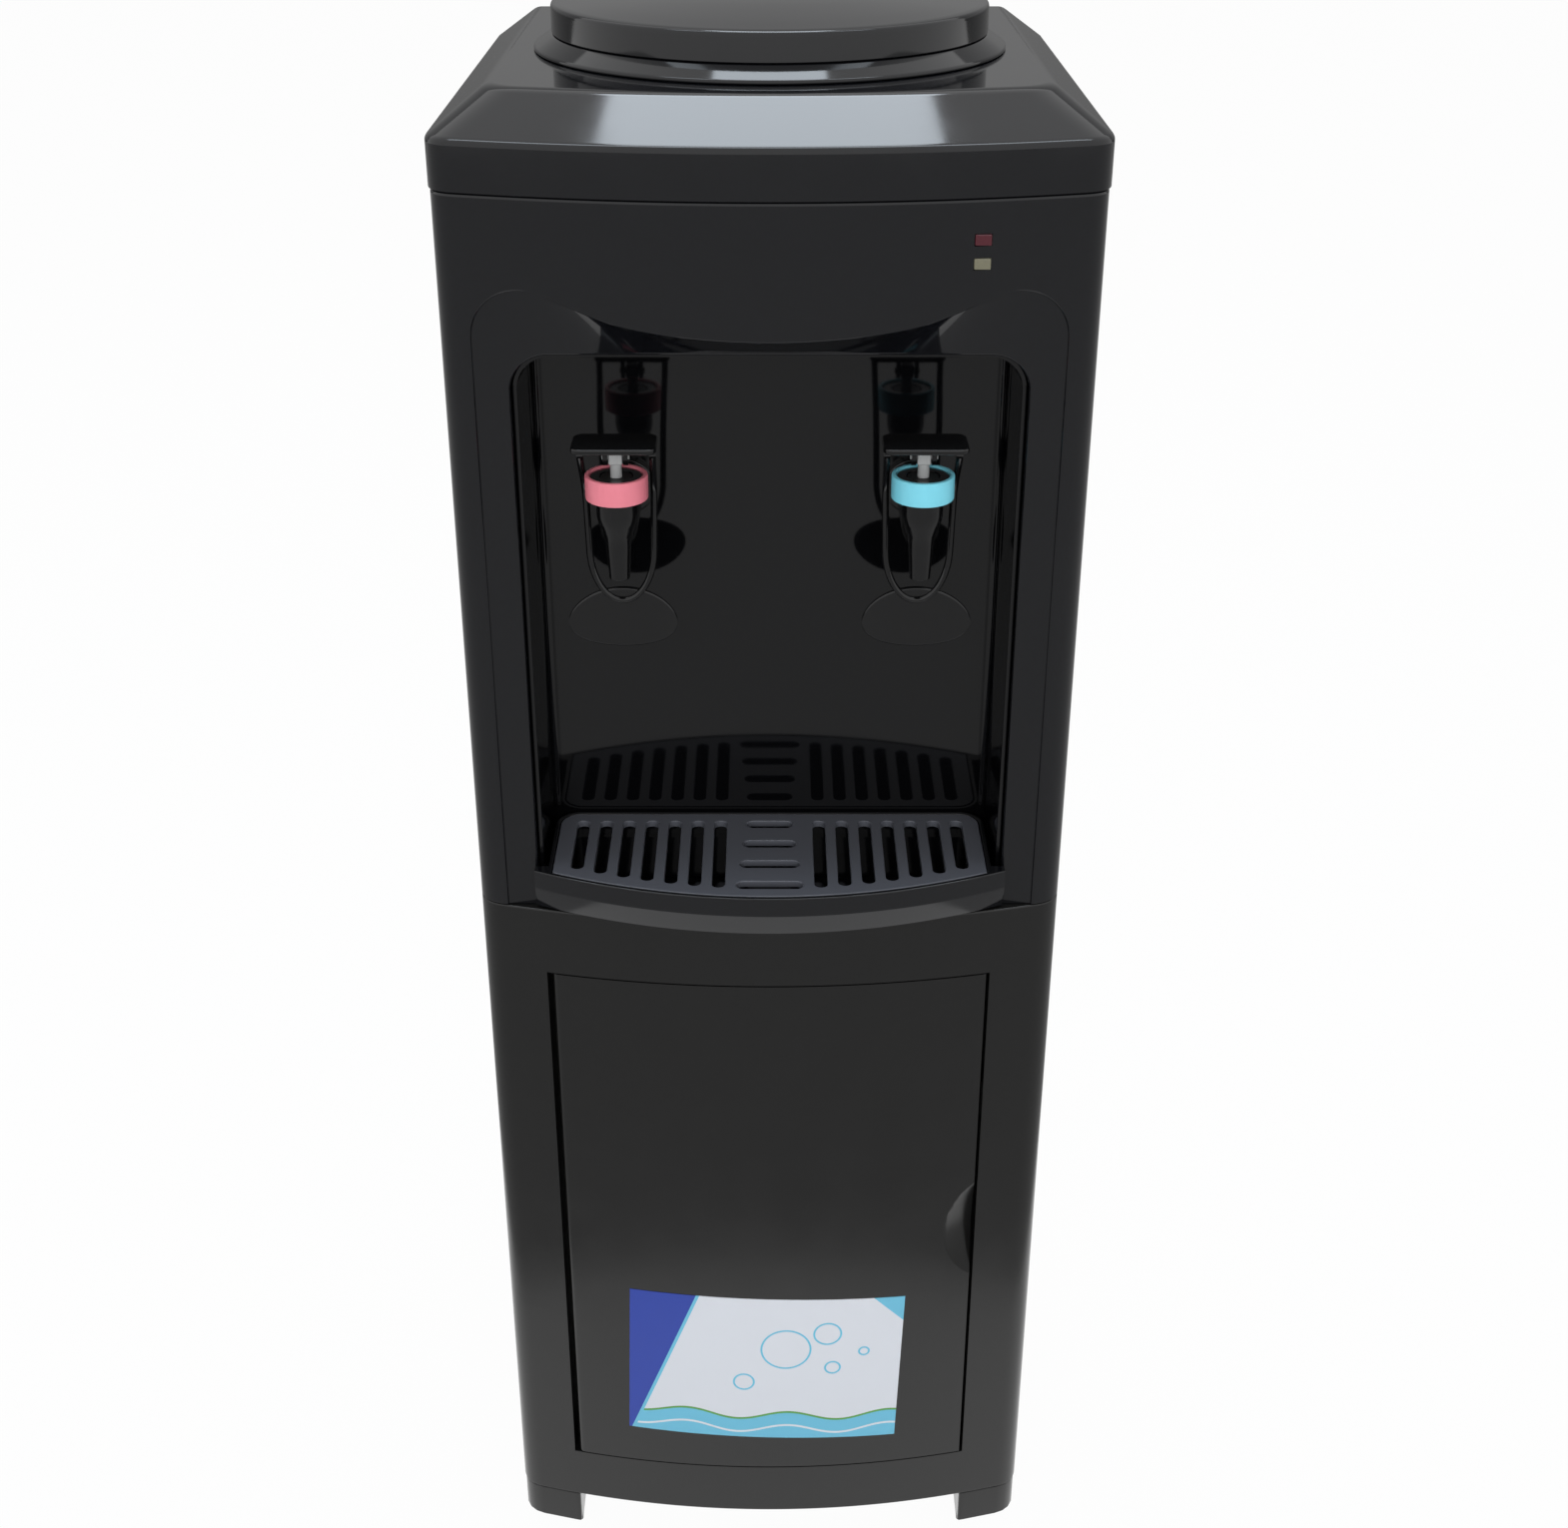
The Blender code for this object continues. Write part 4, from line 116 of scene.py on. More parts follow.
class Way(Enum):
    """The axis that an outline is drawn across, or that a profile turns round."""

    X = "X"
    Y = "Y"
    Z = "Z"


class Water(Enum):
    """Which tap a piece belongs to."""

    HOT = "hot"
    COLD = "cold"


def at(way: Way, u: float, v: float, w: float) -> Vector:
    """The point with outline place (u, v) at height w along the way.

    Args:
        way: The axis.
        u: First place across the axis.
        v: Second place across the axis.
        w: Height along the axis.

    Returns:
        The point.
    """
    if way is Way.Z:
        return Vector((u, v, w))
    if way is Way.Y:
        return Vector((u, w, v))
    return Vector((w, u, v))


def placed(outline: Outline, height: float, way: Way) -> Loop:
    """The points of an outline at a height along an axis."""
    return [at(way, u, v, height) for u, v in outline]


def arc(across: float, up: float, radius: float, start: float, end: float, steps: int) -> Outline:
    """Points along an arc, both ends included.

    Args:
        across: First coordinate of the centre.
        up: Second coordinate of the centre.
        radius: Radius of the arc.
        start: Angle of the first point, in degrees.
        end: Angle of the last point, in degrees.
        steps: Number of steps along the arc.

    Returns:
        The points, from start to end.
    """
    points = []
    for step in range(steps + 1):
        angle = math.radians(start + (end - start) * step / steps)
        points.append((across + radius * math.cos(angle), up + radius * math.sin(angle)))
    return points


def quarter(radius: float, steps: int) -> Outline:
    """The steps of a rolled edge: how far each is from the edge's end, and how far it has turned away."""
    turns = [math.pi / 2 * step / steps for step in range(steps + 1)]
    return [(radius * (1 - math.sin(turn)), radius * (1 - math.cos(turn))) for turn in turns]


def bezier(corners: Sequence[Sequence[float]], steps: int) -> Outline:
    """Points of a Bezier curve, its first one left out.

    Args:
        corners: The curve's control points.
        steps: Number of steps along the curve.

    Returns:
        The points, from the first step to the end.
    """
    points = []
    for step in range(1, steps + 1):
        row = [Vector(corner) for corner in corners]
        while len(row) > 1:
            row = [one.lerp(two, step / steps) for one, two in zip(row, row[1:])]
        points.append(tuple(row[0]))
    return points


def eased(profile: Outline, radii: dict[int, float], steps: int = 5) -> Outline:
    """A profile with some of its corners rounded.

    Args:
        profile: The profile's points.
        radii: The distance from a corner at which its rounding starts, for each corner by its place.
        steps: Number of steps in each rounding.

    Returns:
        The profile with curves in place of those corners.
    """
    points = []
    for place, corner in enumerate(profile):
        if place not in radii:
            points.append(corner)
            continue
        here = Vector(corner)
        before = Vector(profile[place - 1])
        after = Vector(profile[(place + 1) % len(profile)])
        start = here + (before - here).normalized() * min(radii[place], (before - here).length / 2)
        end = here + (after - here).normalized() * min(radii[place], (after - here).length / 2)
        points.append(tuple(start))
        points += bezier([start, here, end], steps)
    return points


def band(inner: float, outer: float, low: float, high: float) -> Outline:
    """The profile of a tube, or of a rod where the inner radius is nothing."""
    return [(inner, low), (outer, low), (outer, high), (inner, high)]


def mirrored(left: Outline) -> Outline:
    """A left half that ends on the centre line, followed by its mirror image."""
    return left + [(-u, v) for u, v in reversed(left[:-1])]


def round_box(low: tuple[float, float], high: tuple[float, float], radius: float, steps: int) -> Outline:
    """A rectangle with rounded corners.

    Args:
        low: The rectangle's lowest corner.
        high: The rectangle's highest corner.
        radius: Radius of the corners.
        steps: Number of steps in each corner.

    Returns:
        The outline, without points that lie on the one before.
    """
    outline = arc(low[0] + radius, low[1] + radius, radius, 180, 270, steps)
    outline += arc(high[0] - radius, low[1] + radius, radius, 270, 360, steps)
    outline += arc(high[0] - radius, high[1] - radius, radius, 0, 90, steps)
    outline += arc(low[0] + radius, high[1] - radius, radius, 90, 180, steps)
    return [one for place, one in enumerate(outline) if math.dist(one, outline[place - 1]) > SAME_POINT]


def choose(piece: Piece) -> None:
    """Leave edit mode, and make the piece the one selected and active object.

    Args:
        piece: The piece.
    """
    active = bpy.context.view_layer.objects.active
    if active is not None and active.mode != "OBJECT":
        bpy.ops.object.mode_set(mode="OBJECT")
    bpy.ops.object.select_all(action="DESELECT")
    piece.select_set(True)
    bpy.context.view_layer.objects.active = piece


@contextmanager
def editing(piece: Piece) -> Iterator[None]:
    """Open the piece in edit mode with nothing selected, and close it again at the end.

    Args:
        piece: The piece.

    Yields:
        Nothing, while the piece is open.
    """
    choose(piece)
    bpy.ops.object.mode_set(mode="EDIT")
    bpy.ops.mesh.select_mode(type=Kind.VERT.value)
    bpy.ops.mesh.select_all(action="DESELECT")
    yield
    bpy.ops.object.mode_set(mode="OBJECT")


def new_piece(name: str) -> Piece:
    """An empty piece at the origin, ready for the bench.

    Args:
        name: Name of the piece.

    Returns:
        The piece.
    """
    bpy.ops.object.select_all(action="DESELECT")
    bpy.ops.object.add(type="MESH", location=(0, 0, 0))
    piece = bpy.context.view_layer.objects.active
    piece.name = name
    piece.data.name = name
    return piece


def pick(piece: Piece, kind: Kind, test: Callable[[object], bool]) -> int:
    """In edit mode, select what passes a test and nothing else.

    Args:
        piece: The piece that is open.
        kind: Whether vertices, edges or faces are picked.
        test: Given a vertex, an edge or a face, says whether it is picked.

    Returns:
        How many were picked.
    """
    bpy.ops.mesh.select_mode(type=kind.value)
    bpy.ops.mesh.select_all(action="DESELECT")
    mesh = bmesh.from_edit_mesh(piece.data)
    items = {Kind.VERT: mesh.verts, Kind.EDGE: mesh.edges, Kind.FACE: mesh.faces}[kind]
    picked = [item for item in items if test(item)]
    for item in picked:
        item.select_set(True)
    mesh.select_flush_mode()
    bmesh.update_edit_mesh(piece.data)
    return len(picked)


def draw(points: Sequence[Vector]) -> None:
    """In edit mode, extrude a line of edges through points, from a small plane merged to the first.

    Args:
        points: The points, in order.
    """
    bpy.ops.mesh.select_all(action="DESELECT")
    bpy.ops.mesh.primitive_plane_add(size=SEED_SIZE, location=points[0])
    bpy.ops.mesh.merge(type="CENTER")
    for one, two in zip(points, points[1:]):
        bpy.ops.mesh.extrude_region_move(TRANSFORM_OT_translate={"value": two - one})


def merge_all() -> None:
    """In edit mode, select everything and merge points that lie on each other."""
    bpy.ops.mesh.select_all(action="SELECT")
    bpy.ops.mesh.remove_doubles(threshold=SAME_POINT)


def weld_all() -> None:
    """In edit mode, merge points that lie on each other, and turn all faces outwards."""
    merge_all()
    bpy.ops.mesh.normals_make_consistent(inside=False)


def prism(name: str, outline: Outline, low: float, high: float, way: Way = Way.Z) -> Piece:
    """Draw a closed outline, fill it, and extrude it along an axis.

    Args:
        name: Name of the piece.
        outline: Points of the outline.
        low: Height of the outline along the axis.
        high: Height that the outline is extruded to.
        way: The axis.

    Returns:
        The closed piece.
    """
    piece = new_piece(name)
    with editing(piece):
        draw(placed(outline, low, way))
        bpy.ops.mesh.select_all(action="SELECT")
        bpy.ops.mesh.edge_face_add()
        bpy.ops.mesh.extrude_region_move(TRANSFORM_OT_translate={"value": at(way, 0, 0, high - low)})
        weld_all()
    return piece


def block(name: str, low: Sequence[float], high: Sequence[float]) -> Piece:
    """A cube primitive stretched between two corners.

    Args:
        name: Name of the piece.
        low: The lowest corner.
        high: The highest corner.

    Returns:
        The closed piece.
    """
    piece = new_piece(name)
    with editing(piece):
        middle = [(one + two) / 2 for one, two in zip(low, high)]
        span = [two - one for one, two in zip(low, high)]
        bpy.ops.mesh.primitive_cube_add(size=1, location=middle, scale=span)
        weld_all()
    return piece


def turned(name: str, profile: Outline, centre: Vector, way: Way, steps: int) -> Piece:
    """Draw a profile of radius and height, and spin it round an axis.

    Args:
        name: Name of the piece.
        profile: Points of (radius, height). One that starts and ends on the axis closes at its poles,
            and any other one closes on itself.
        centre: A point on the axis, from which heights count.
        way: The axis.
        steps: Number of steps in a full turn.

    Returns:
        The closed piece.
    """
    points = [centre + at(way, radius, 0, height) for radius, height in profile]
    if profile[0][0] or profile[-1][0]:
        points.append(points[0])
    piece = new_piece(name)
    with editing(piece):
        draw(points)
        merge_all()
        bpy.ops.mesh.select_all(action="SELECT")
        axis = at(way, 0, 0, 1)
        bpy.ops.mesh.spin(steps=steps, angle=math.tau, center=centre, axis=axis, use_auto_merge=True)
        weld_all()
    return piece


def rod(name: str, radius: float, low: float, high: float, centre: Vector, way: Way, steps: int) -> Piece:
    """A cylinder round an axis, between two heights along it."""
    return turned(name, band(0, radius, low, high), centre, way, steps)


def lofted(name: str, loops: Sequence[Loop]) -> Piece:
    """Draw closed loops, bridge each to the next, and fill the two ends.

    Args:
        name: Name of the piece.
        loops: Loops of points, all with the same number of points, and no two neighbours in one plane.

    Returns:
        The closed piece.
    """
    tree = KDTree(sum(len(loop) for loop in loops))
    for place, loop in enumerate(loops):
        for point in loop:
            tree.insert(point, place)
    tree.balance()

    def on_loop(*wanted: int) -> Callable[[Edge], bool]:
        """A test for the edges that lie on one of the wanted loops.

        Args:
            wanted: Places of the wanted loops.

        Returns:
            The test.
        """

        def test(edge: Edge) -> bool:
            """Whether both ends of the edge are points of the same wanted loop."""
            ends = {tree.find(vertex.co)[1] for vertex in edge.verts}
            return len(ends) == 1 and ends.pop() in wanted

        return test

    piece = new_piece(name)
    with editing(piece):
        for loop in loops:
            draw([*loop, loop[0]])
        merge_all()
        for place in range(len(loops) - 1):
            pick(piece, Kind.EDGE, on_loop(place, place + 1))
            bpy.ops.mesh.bridge_edge_loops()
        for place in (0, len(loops) - 1):
            pick(piece, Kind.EDGE, on_loop(place))
            bpy.ops.mesh.edge_face_add()
        weld_all()
    return piece


def combined(target: Piece, tool: Piece, operation: str) -> Piece:
    """Apply a boolean modifier of the tool on the target, and use the tool up.

    Args:
        target: The piece that is changed.
        tool: The piece that is used up.
        operation: The modifier's operation.

    Returns:
        The target.
    """
    choose(target)
    change = target.modifiers.new(operation.lower(), "BOOLEAN")
    change.operation = operation
    change.solver = "EXACT"
    change.object = tool
    bpy.ops.object.modifier_apply(modifier=change.name)
    bpy.data.objects.remove(tool, do_unlink=True)
    return target


def carved(target: Piece, *tools: Piece) -> Piece:
    """Cut the tools from the target, one after the other.

    Args:
        target: The piece that is cut.
        tools: The pieces that are cut from it.

    Returns:
        The target.
    """
    for tool in tools:
        combined(target, tool, "DIFFERENCE")
    return target


def fused(target: Piece, *tools: Piece) -> Piece:
    """Join the tools to the target, one after the other.

    Args:
        target: The piece that they are joined to.
        tools: The pieces that are joined to it.

    Returns:
        The target.
    """
    for tool in tools:
        combined(target, tool, "UNION")
    return target


def gathered(target: Piece, *others: Piece) -> Piece:
    """Bring separate pieces into one, without cutting them into each other.

    Args:
        target: The piece that takes up the others.
        others: The other pieces.

    Returns:
        The target.
    """
    choose(target)
    for other in others:
        other.select_set(True)
    bpy.ops.object.join()
    return target


def is_sharp(edge: Edge, degrees: float) -> bool:
    """Whether the two faces at an edge meet at more than so many degrees."""
    return len(edge.link_faces) == 2 and edge.calc_face_angle() > math.radians(degrees)


def softened(
    piece: Piece,
    width: float,
    segments: int = 3,
    where: Callable[[Vector], bool] | None = None,
    degrees: float = 35,
) -> Piece:
    """Bevel the sharp edges of a piece.

    Args:
        piece: The piece.
        width: How far the bevel reaches from the edge.
        segments: Number of segments across the bevel.
        where: Given the middle of an edge, says whether that edge is bevelled. All are if it is None.
        degrees: How sharp an edge has to be.

    Returns:
        The piece.
    """

    def wanted(edge: Edge) -> bool:
        """Whether the edge is sharp and lies where the bevel is wanted."""
        middle = (edge.verts[0].co + edge.verts[1].co) / 2
        return is_sharp(edge, degrees) and (where is None or where(middle))

    with editing(piece):
        if pick(piece, Kind.EDGE, wanted):
            bpy.ops.mesh.bevel(offset=width, segments=segments, affect="EDGES", clamp_overlap=True)
        weld_all()
    return piece


def welded(node: str, name: str) -> Piece:
    """A copy of a node of the frame, its loose triangles merged into flat faces.

    Args:
        node: Name of the node.
        name: Name of the copy.

    Returns:
        The copy.
    """
    mesh = frame["nodes"][node].data.copy()
    mesh.name = name
    mesh.materials.clear()
    piece = bpy.data.objects.new(name, mesh)
    bpy.context.scene.collection.objects.link(piece)
    choose(piece)
    if mesh.has_custom_normals:
        bpy.ops.mesh.customdata_custom_splitnormals_clear()
    with editing(piece):
        merge_all()
        bpy.ops.mesh.dissolve_limited(angle_limit=math.radians(FLAT_ANGLE))
    return piece


class NodeDesk:
    """Adds shader nodes to one material or world, and links them."""

    def __init__(self, tree: bpy.types.NodeTree) -> None:
        """Start with an empty tree."""
        self.tree = tree
        tree.nodes.clear()

    def add(self, kind: str, **settings: object) -> bpy.types.Node:
        """A new node of a kind, with its settings.

        Args:
            kind: The node's type.
            settings: Its settings by name.

        Returns:
            The node.
        """
        node = self.tree.nodes.new(kind)
        for name, value in settings.items():
            setattr(node, name, value)
        return node

    def fill(self, socket: Socket, value: object) -> None:
        """Link an output to a socket, or write a plain value on it.

        Args:
            socket: The input.
            value: An output or a plain value.
        """
        if isinstance(value, Socket):
            self.tree.links.new(value, socket)
        else:
            socket.default_value = value

    def write(self, node: bpy.types.Node, values: dict[str, object]) -> None:
        """Link or write a value on each named input of a node."""
        for name, value in values.items():
            self.fill(node.inputs[name], value)

    def math(self, operation: str, *values: object) -> Socket:
        """The output of a math node.

        Args:
            operation: The node's operation.
            values: An output or a plain value for each input.

        Returns:
            The output.
        """
        node = self.add("ShaderNodeMath", operation=operation)
        for socket, value in zip(node.inputs, values):
            self.fill(socket, value)
        return node.outputs[0]

    def noise(self, place: Socket, scale: float, detail: float) -> Socket:
        """The value of a noise texture at a place.

        Args:
            place: Where the texture is read.
            scale: Its scale.
            detail: Its detail.

        Returns:
            The value.
        """
        node = self.add("ShaderNodeTexNoise")
        self.write(node, {"Vector": place, "Scale": scale, "Detail": detail})
        return node.outputs[0]

    def bump(self, height: Socket, distance: float, normal: Socket | None) -> Socket:
        """The normal of a surface with a relief of so many metres, over another normal if one is given.

        Args:
            height: The relief, from 0 to 1.
            distance: How many metres the relief is high.
            normal: The normal under it, or None.

        Returns:
            The normal.
        """
        node = self.add("ShaderNodeBump")
        self.write(node, {"Distance": distance, "Height": height})
        if normal is not None:
            self.fill(node.inputs["Normal"], normal)
        return node.outputs[0]

    def blend(self, share: object, one: object, two: object) -> Socket:
        """The mix of two colours, whose sockets have no name of their own.

        Args:
            share: How much of the second colour there is.
            one: The first colour.
            two: The second colour.

        Returns:
            The colour.
        """
        node = self.add("ShaderNodeMix", data_type="RGBA")
        self.fill(node.inputs["Factor"], share)
        self.fill(node.inputs[6], one)
        self.fill(node.inputs[7], two)
        return node.outputs[2]

    def spread(self, value: object, source: Sequence[float], target: Sequence[float]) -> Socket:
        """A value moved from a source range, to which it is held, to a target range.

        Args:
            value: The value.
            source: Both ends of the source range.
            target: Both ends of the target range.

        Returns:
            The value in the target range.
        """
        node = self.add("ShaderNodeMapRange")
        ends = {"From Min": source[0], "From Max": source[1], "To Min": target[0], "To Max": target[1]}
        self.write(node, {"Value": value, **ends})
        return node.outputs["Result"]

    def height(self) -> Socket:
        """The object coordinate along Z."""
        split = self.add("ShaderNodeSeparateXYZ")
        self.fill(split.inputs[0], self.place())
        return split.outputs["Z"]

    def mixed(self, share: Socket, one: bpy.types.Node, two: bpy.types.Node) -> Socket:
        """The mix of two shaders.

        Args:
            share: How much of the second shader there is.
            one: The first shader.
            two: The second shader.

        Returns:
            The mix.
        """
        node = self.add("ShaderNodeMixShader")
        self.fill(node.inputs[0], share)
        self.fill(node.inputs[1], one.outputs[0])
        self.fill(node.inputs[2], two.outputs[0])
        return node.outputs[0]

    def place(self) -> Socket:
        """The object coordinates."""
        return self.add("ShaderNodeTexCoord").outputs["Object"]

    def end(self, kind: str, shader: Socket) -> None:
        """Link a shader to the output."""
        self.fill(self.add(kind).inputs["Surface"], shader)


def new_material(name: str) -> tuple[bpy.types.Material, NodeDesk]:
    """An empty material, and the desk on which its nodes are made.

    Args:
        name: Name of the material.

    Returns:
        The material and its desk.
    """
    made = bpy.data.materials.new(name)
    made.use_nodes = True
    return made, NodeDesk(made.node_tree)


@dataclass(frozen=True)
class Finish:
    """A surface: one colour and gloss, with slow waves, a fine grain and a slight change of gloss."""

    name: str
    slot: str
    colour: tuple[float, float, float]
    roughness: float
    metallic: float = 0.0
    wave_height: float = 0.00003
    wave_scale: float = 11.0
    grain_height: float = 0.0000015
    grain_scale: float = 1400.0
    unevenness: float = 0.02
    gloss_scale: float = 38.0
    noise_span: tuple[float, float] = (0.3, 0.7)
    glow: float = 0.0

    def shader(self, desk: NodeDesk) -> bpy.types.Node:
        """The finish's shader node on a desk, with its relief and its change of gloss.

        Args:
            desk: The material's desk.

        Returns:
            The shader node.
        """
        place = desk.place()
        shader = desk.add("ShaderNodeBsdfPrincipled")
        colour = (*self.colour, 1.0)
        desk.write(shader, {"Base Color": colour, "Metallic": self.metallic})
        if self.glow:
            desk.write(shader, {"Emission Color": colour, "Emission Strength": self.glow})
        gloss = (self.roughness - self.unevenness, self.roughness + self.unevenness)
        roughness = desk.spread(desk.noise(place, self.gloss_scale, 3.0), self.noise_span, gloss)
        waves = desk.bump(desk.noise(place, self.wave_scale, 1.0), self.wave_height, None)
        grain = desk.bump(desk.noise(place, self.grain_scale, 2.0), self.grain_height, waves)
        desk.write(shader, {"Roughness": roughness, "Normal": grain})
        return shader

    def material(self) -> bpy.types.Material:
        """The finish's material, made the first time that it is asked for.

        Returns:
            The material.
        """
        made = bpy.data.materials.get(self.name)
        if made is None:
            made, desk = new_material(self.name)
            desk.end("ShaderNodeOutputMaterial", self.shader(desk).outputs["BSDF"])
        return made


@dataclass(frozen=True)
class LabelPrint(Finish):
    """A printed label: white ground, a slanted blue end, light waves below, and plain bubbles."""

    deep: tuple[float, float, float] = (0.014, 0.050, 0.40)
    leafy: tuple[float, float, float] = (0.10, 0.36, 0.06)
    corner_reach: float = 0.116
    light: tuple[float, float, float] = (0.17, 0.58, 0.80)
    middle: tuple[float, float, float] = (-0.0030, 0.0, 0.1455)
    tilt: float = 1.9
    slant: float = 0.34
    end_share: float = -0.060
    end_line: float = 0.0020
    wave_level: float = -0.0400
    wave_lift: float = 0.0030
    wave_pitch: float = 105.0
    bubbles: tuple[tuple[float, float, float], ...] = (
        (0.012, 0.016, 0.0150),
        (0.036, 0.028, 0.0085),
        (0.040, 0.002, 0.0050),
        (-0.012, -0.010, 0.0065),
        (0.058, 0.014, 0.0035),
    )
    rim: float = 0.0012
    strata: tuple[float, ...] = (0.0045, 0.0030, -0.0060, -0.0075)

    def shader(self, desk: NodeDesk) -> bpy.types.Node:
        """The shader of the finish with the print as its colour.

        Args:
            desk: The material's desk.

        Returns:
            The shader node.
        """
        shader = super().shader(desk)
        spot = desk.add("ShaderNodeMapping", vector_type="TEXTURE")
        turn = (0.0, math.radians(self.tilt), 0.0)
        desk.write(spot, {"Vector": desk.place(), "Location": self.middle, "Rotation": turn})
        split = desk.add("ShaderNodeSeparateXYZ")
        desk.fill(split.inputs[0], spot.outputs[0])
        across = split.outputs["X"]
        up = split.outputs["Z"]
        tints = (self.colour, self.deep, self.leafy, self.light)
        paper, deep, leafy, light = ((*tint, 1.0) for tint in tints)

        def under(value: Socket, limit: float, ground: object, tint: object) -> Socket:
            """The ground, with the tint wherever the value lies under the limit."""
            return desk.blend(desk.math("LESS_THAN", value, limit), ground, tint)

        colour = under(desk.math("ADD", across, up), self.corner_reach, light, paper)
        for x, z, radius in self.bubbles:
            run = desk.math("SUBTRACT", across, x)
            rise = desk.math("SUBTRACT", up, z)
            square = desk.math("ADD", desk.math("MULTIPLY", run, run), desk.math("MULTIPLY", rise, rise))
            reach = desk.math("SQRT", square)
            colour = under(reach, radius, colour, light)
            colour = under(reach, radius - self.rim, colour, paper)
        wave = desk.math("SINE", desk.math("MULTIPLY", across, self.wave_pitch))
        level = desk.math("SUBTRACT", up, desk.math("MULTIPLY", wave, self.wave_lift))
        for lift, tint in zip(self.strata, (leafy, light, paper, light)):
            colour = under(level, self.wave_level + lift, colour, tint)
        lean = desk.math("SUBTRACT", across, desk.math("MULTIPLY", up, self.slant))
        colour = under(lean, self.end_share + self.end_line, colour, light)
        colour = under(lean, self.end_share, colour, deep)
        desk.fill(shader.inputs["Base Color"], colour)
        return shader


GLOSS_MOULDING = Finish("gloss_moulding", "gloss_black", (0.0054, 0.0057, 0.0072), 0.075)
RECESS_MOULDING = Finish(
    "recess_moulding", "gloss_black", (0.0026, 0.0027, 0.0033), 0.055, wave_height=0.00002, unevenness=0.01
)
TAP_MOULDING = Finish(
    "tap_moulding", "gloss_black", (0.0048, 0.0048, 0.0052), 0.12, wave_height=0.00001, wave_scale=60.0
)
SATIN_MOULDING = Finish(
    "satin_moulding", "satin_black", (0.0068, 0.0067, 0.0064), 0.20, grain_height=0.000004, unevenness=0.03
)
GRILLE_MOULDING = Finish(
    "grille_moulding", "satin_black", (0.120, 0.127, 0.150), 0.34, grain_height=0.000004, unevenness=0.03
)
DARK_LINER = Finish("dark_liner", "satin_black", (0.010, 0.010, 0.010), 0.50, grain_height=0.00001)
PAINTED_STEEL = Finish(
    "painted_steel", "painted_black", (0.0085, 0.0086, 0.0090), 0.34, grain_height=0.00001, grain_scale=900.0
)
ZINC_PLATE = Finish("zinc_plate", "zinc_steel", (0.55, 0.56, 0.58), 0.36, metallic=1.0)
STAINLESS_STEEL = Finish("stainless_steel", "stainless", (0.62, 0.62, 0.60), 0.24, metallic=1.0)
MILKY_PLASTIC = Finish("milky_plastic", "milky_plastic", (0.78, 0.79, 0.78), 0.42, wave_scale=40.0)
# A darker copy of the milky plastic of the same slot: painted shade on the valve stem, which stands in the
# recess under the thumb plate
SHADED_STEM_PLASTIC = Finish("shaded_stem_plastic", "milky_plastic", (0.46, 0.47, 0.47), 0.38, wave_scale=40.0)
CLEAR_SILICONE = Finish("clear_silicone", "silicone", (0.72, 0.73, 0.72), 0.55)
SOFT_RUBBER = Finish("soft_rubber", "black_rubber", (0.020, 0.020, 0.020), 0.62, grain_height=0.00001)
OPEN_FOAM = Finish("open_foam", "foam", (0.74, 0.67, 0.44), 0.92, grain_height=0.0002, grain_scale=420.0)
HOT_RED = Finish("hot_red", "tap_red", (0.96, 0.27, 0.34), 0.30, wave_height=0.00001, wave_scale=60.0)
COLD_BLUE = Finish("cold_blue", "tap_blue", (0.25, 0.80, 0.97), 0.30, wave_height=0.00001, wave_scale=60.0)
RED_LENS = Finish("red_lens", "lamp_red", (0.090, 0.015, 0.023), 0.14, wave_scale=80.0)
GREEN_LENS = Finish("green_lens", "lamp_green", (0.20, 0.19, 0.13), 0.14, glow=0.05, wave_scale=80.0)
SIGNAL_RED = Finish("signal_red_gloss", "signal_red", (0.58, 0.022, 0.022), 0.18)
LABEL = LabelPrint("label_print", "satin_black", (0.79, 0.82, 0.88), 0.24, wave_height=0.0)


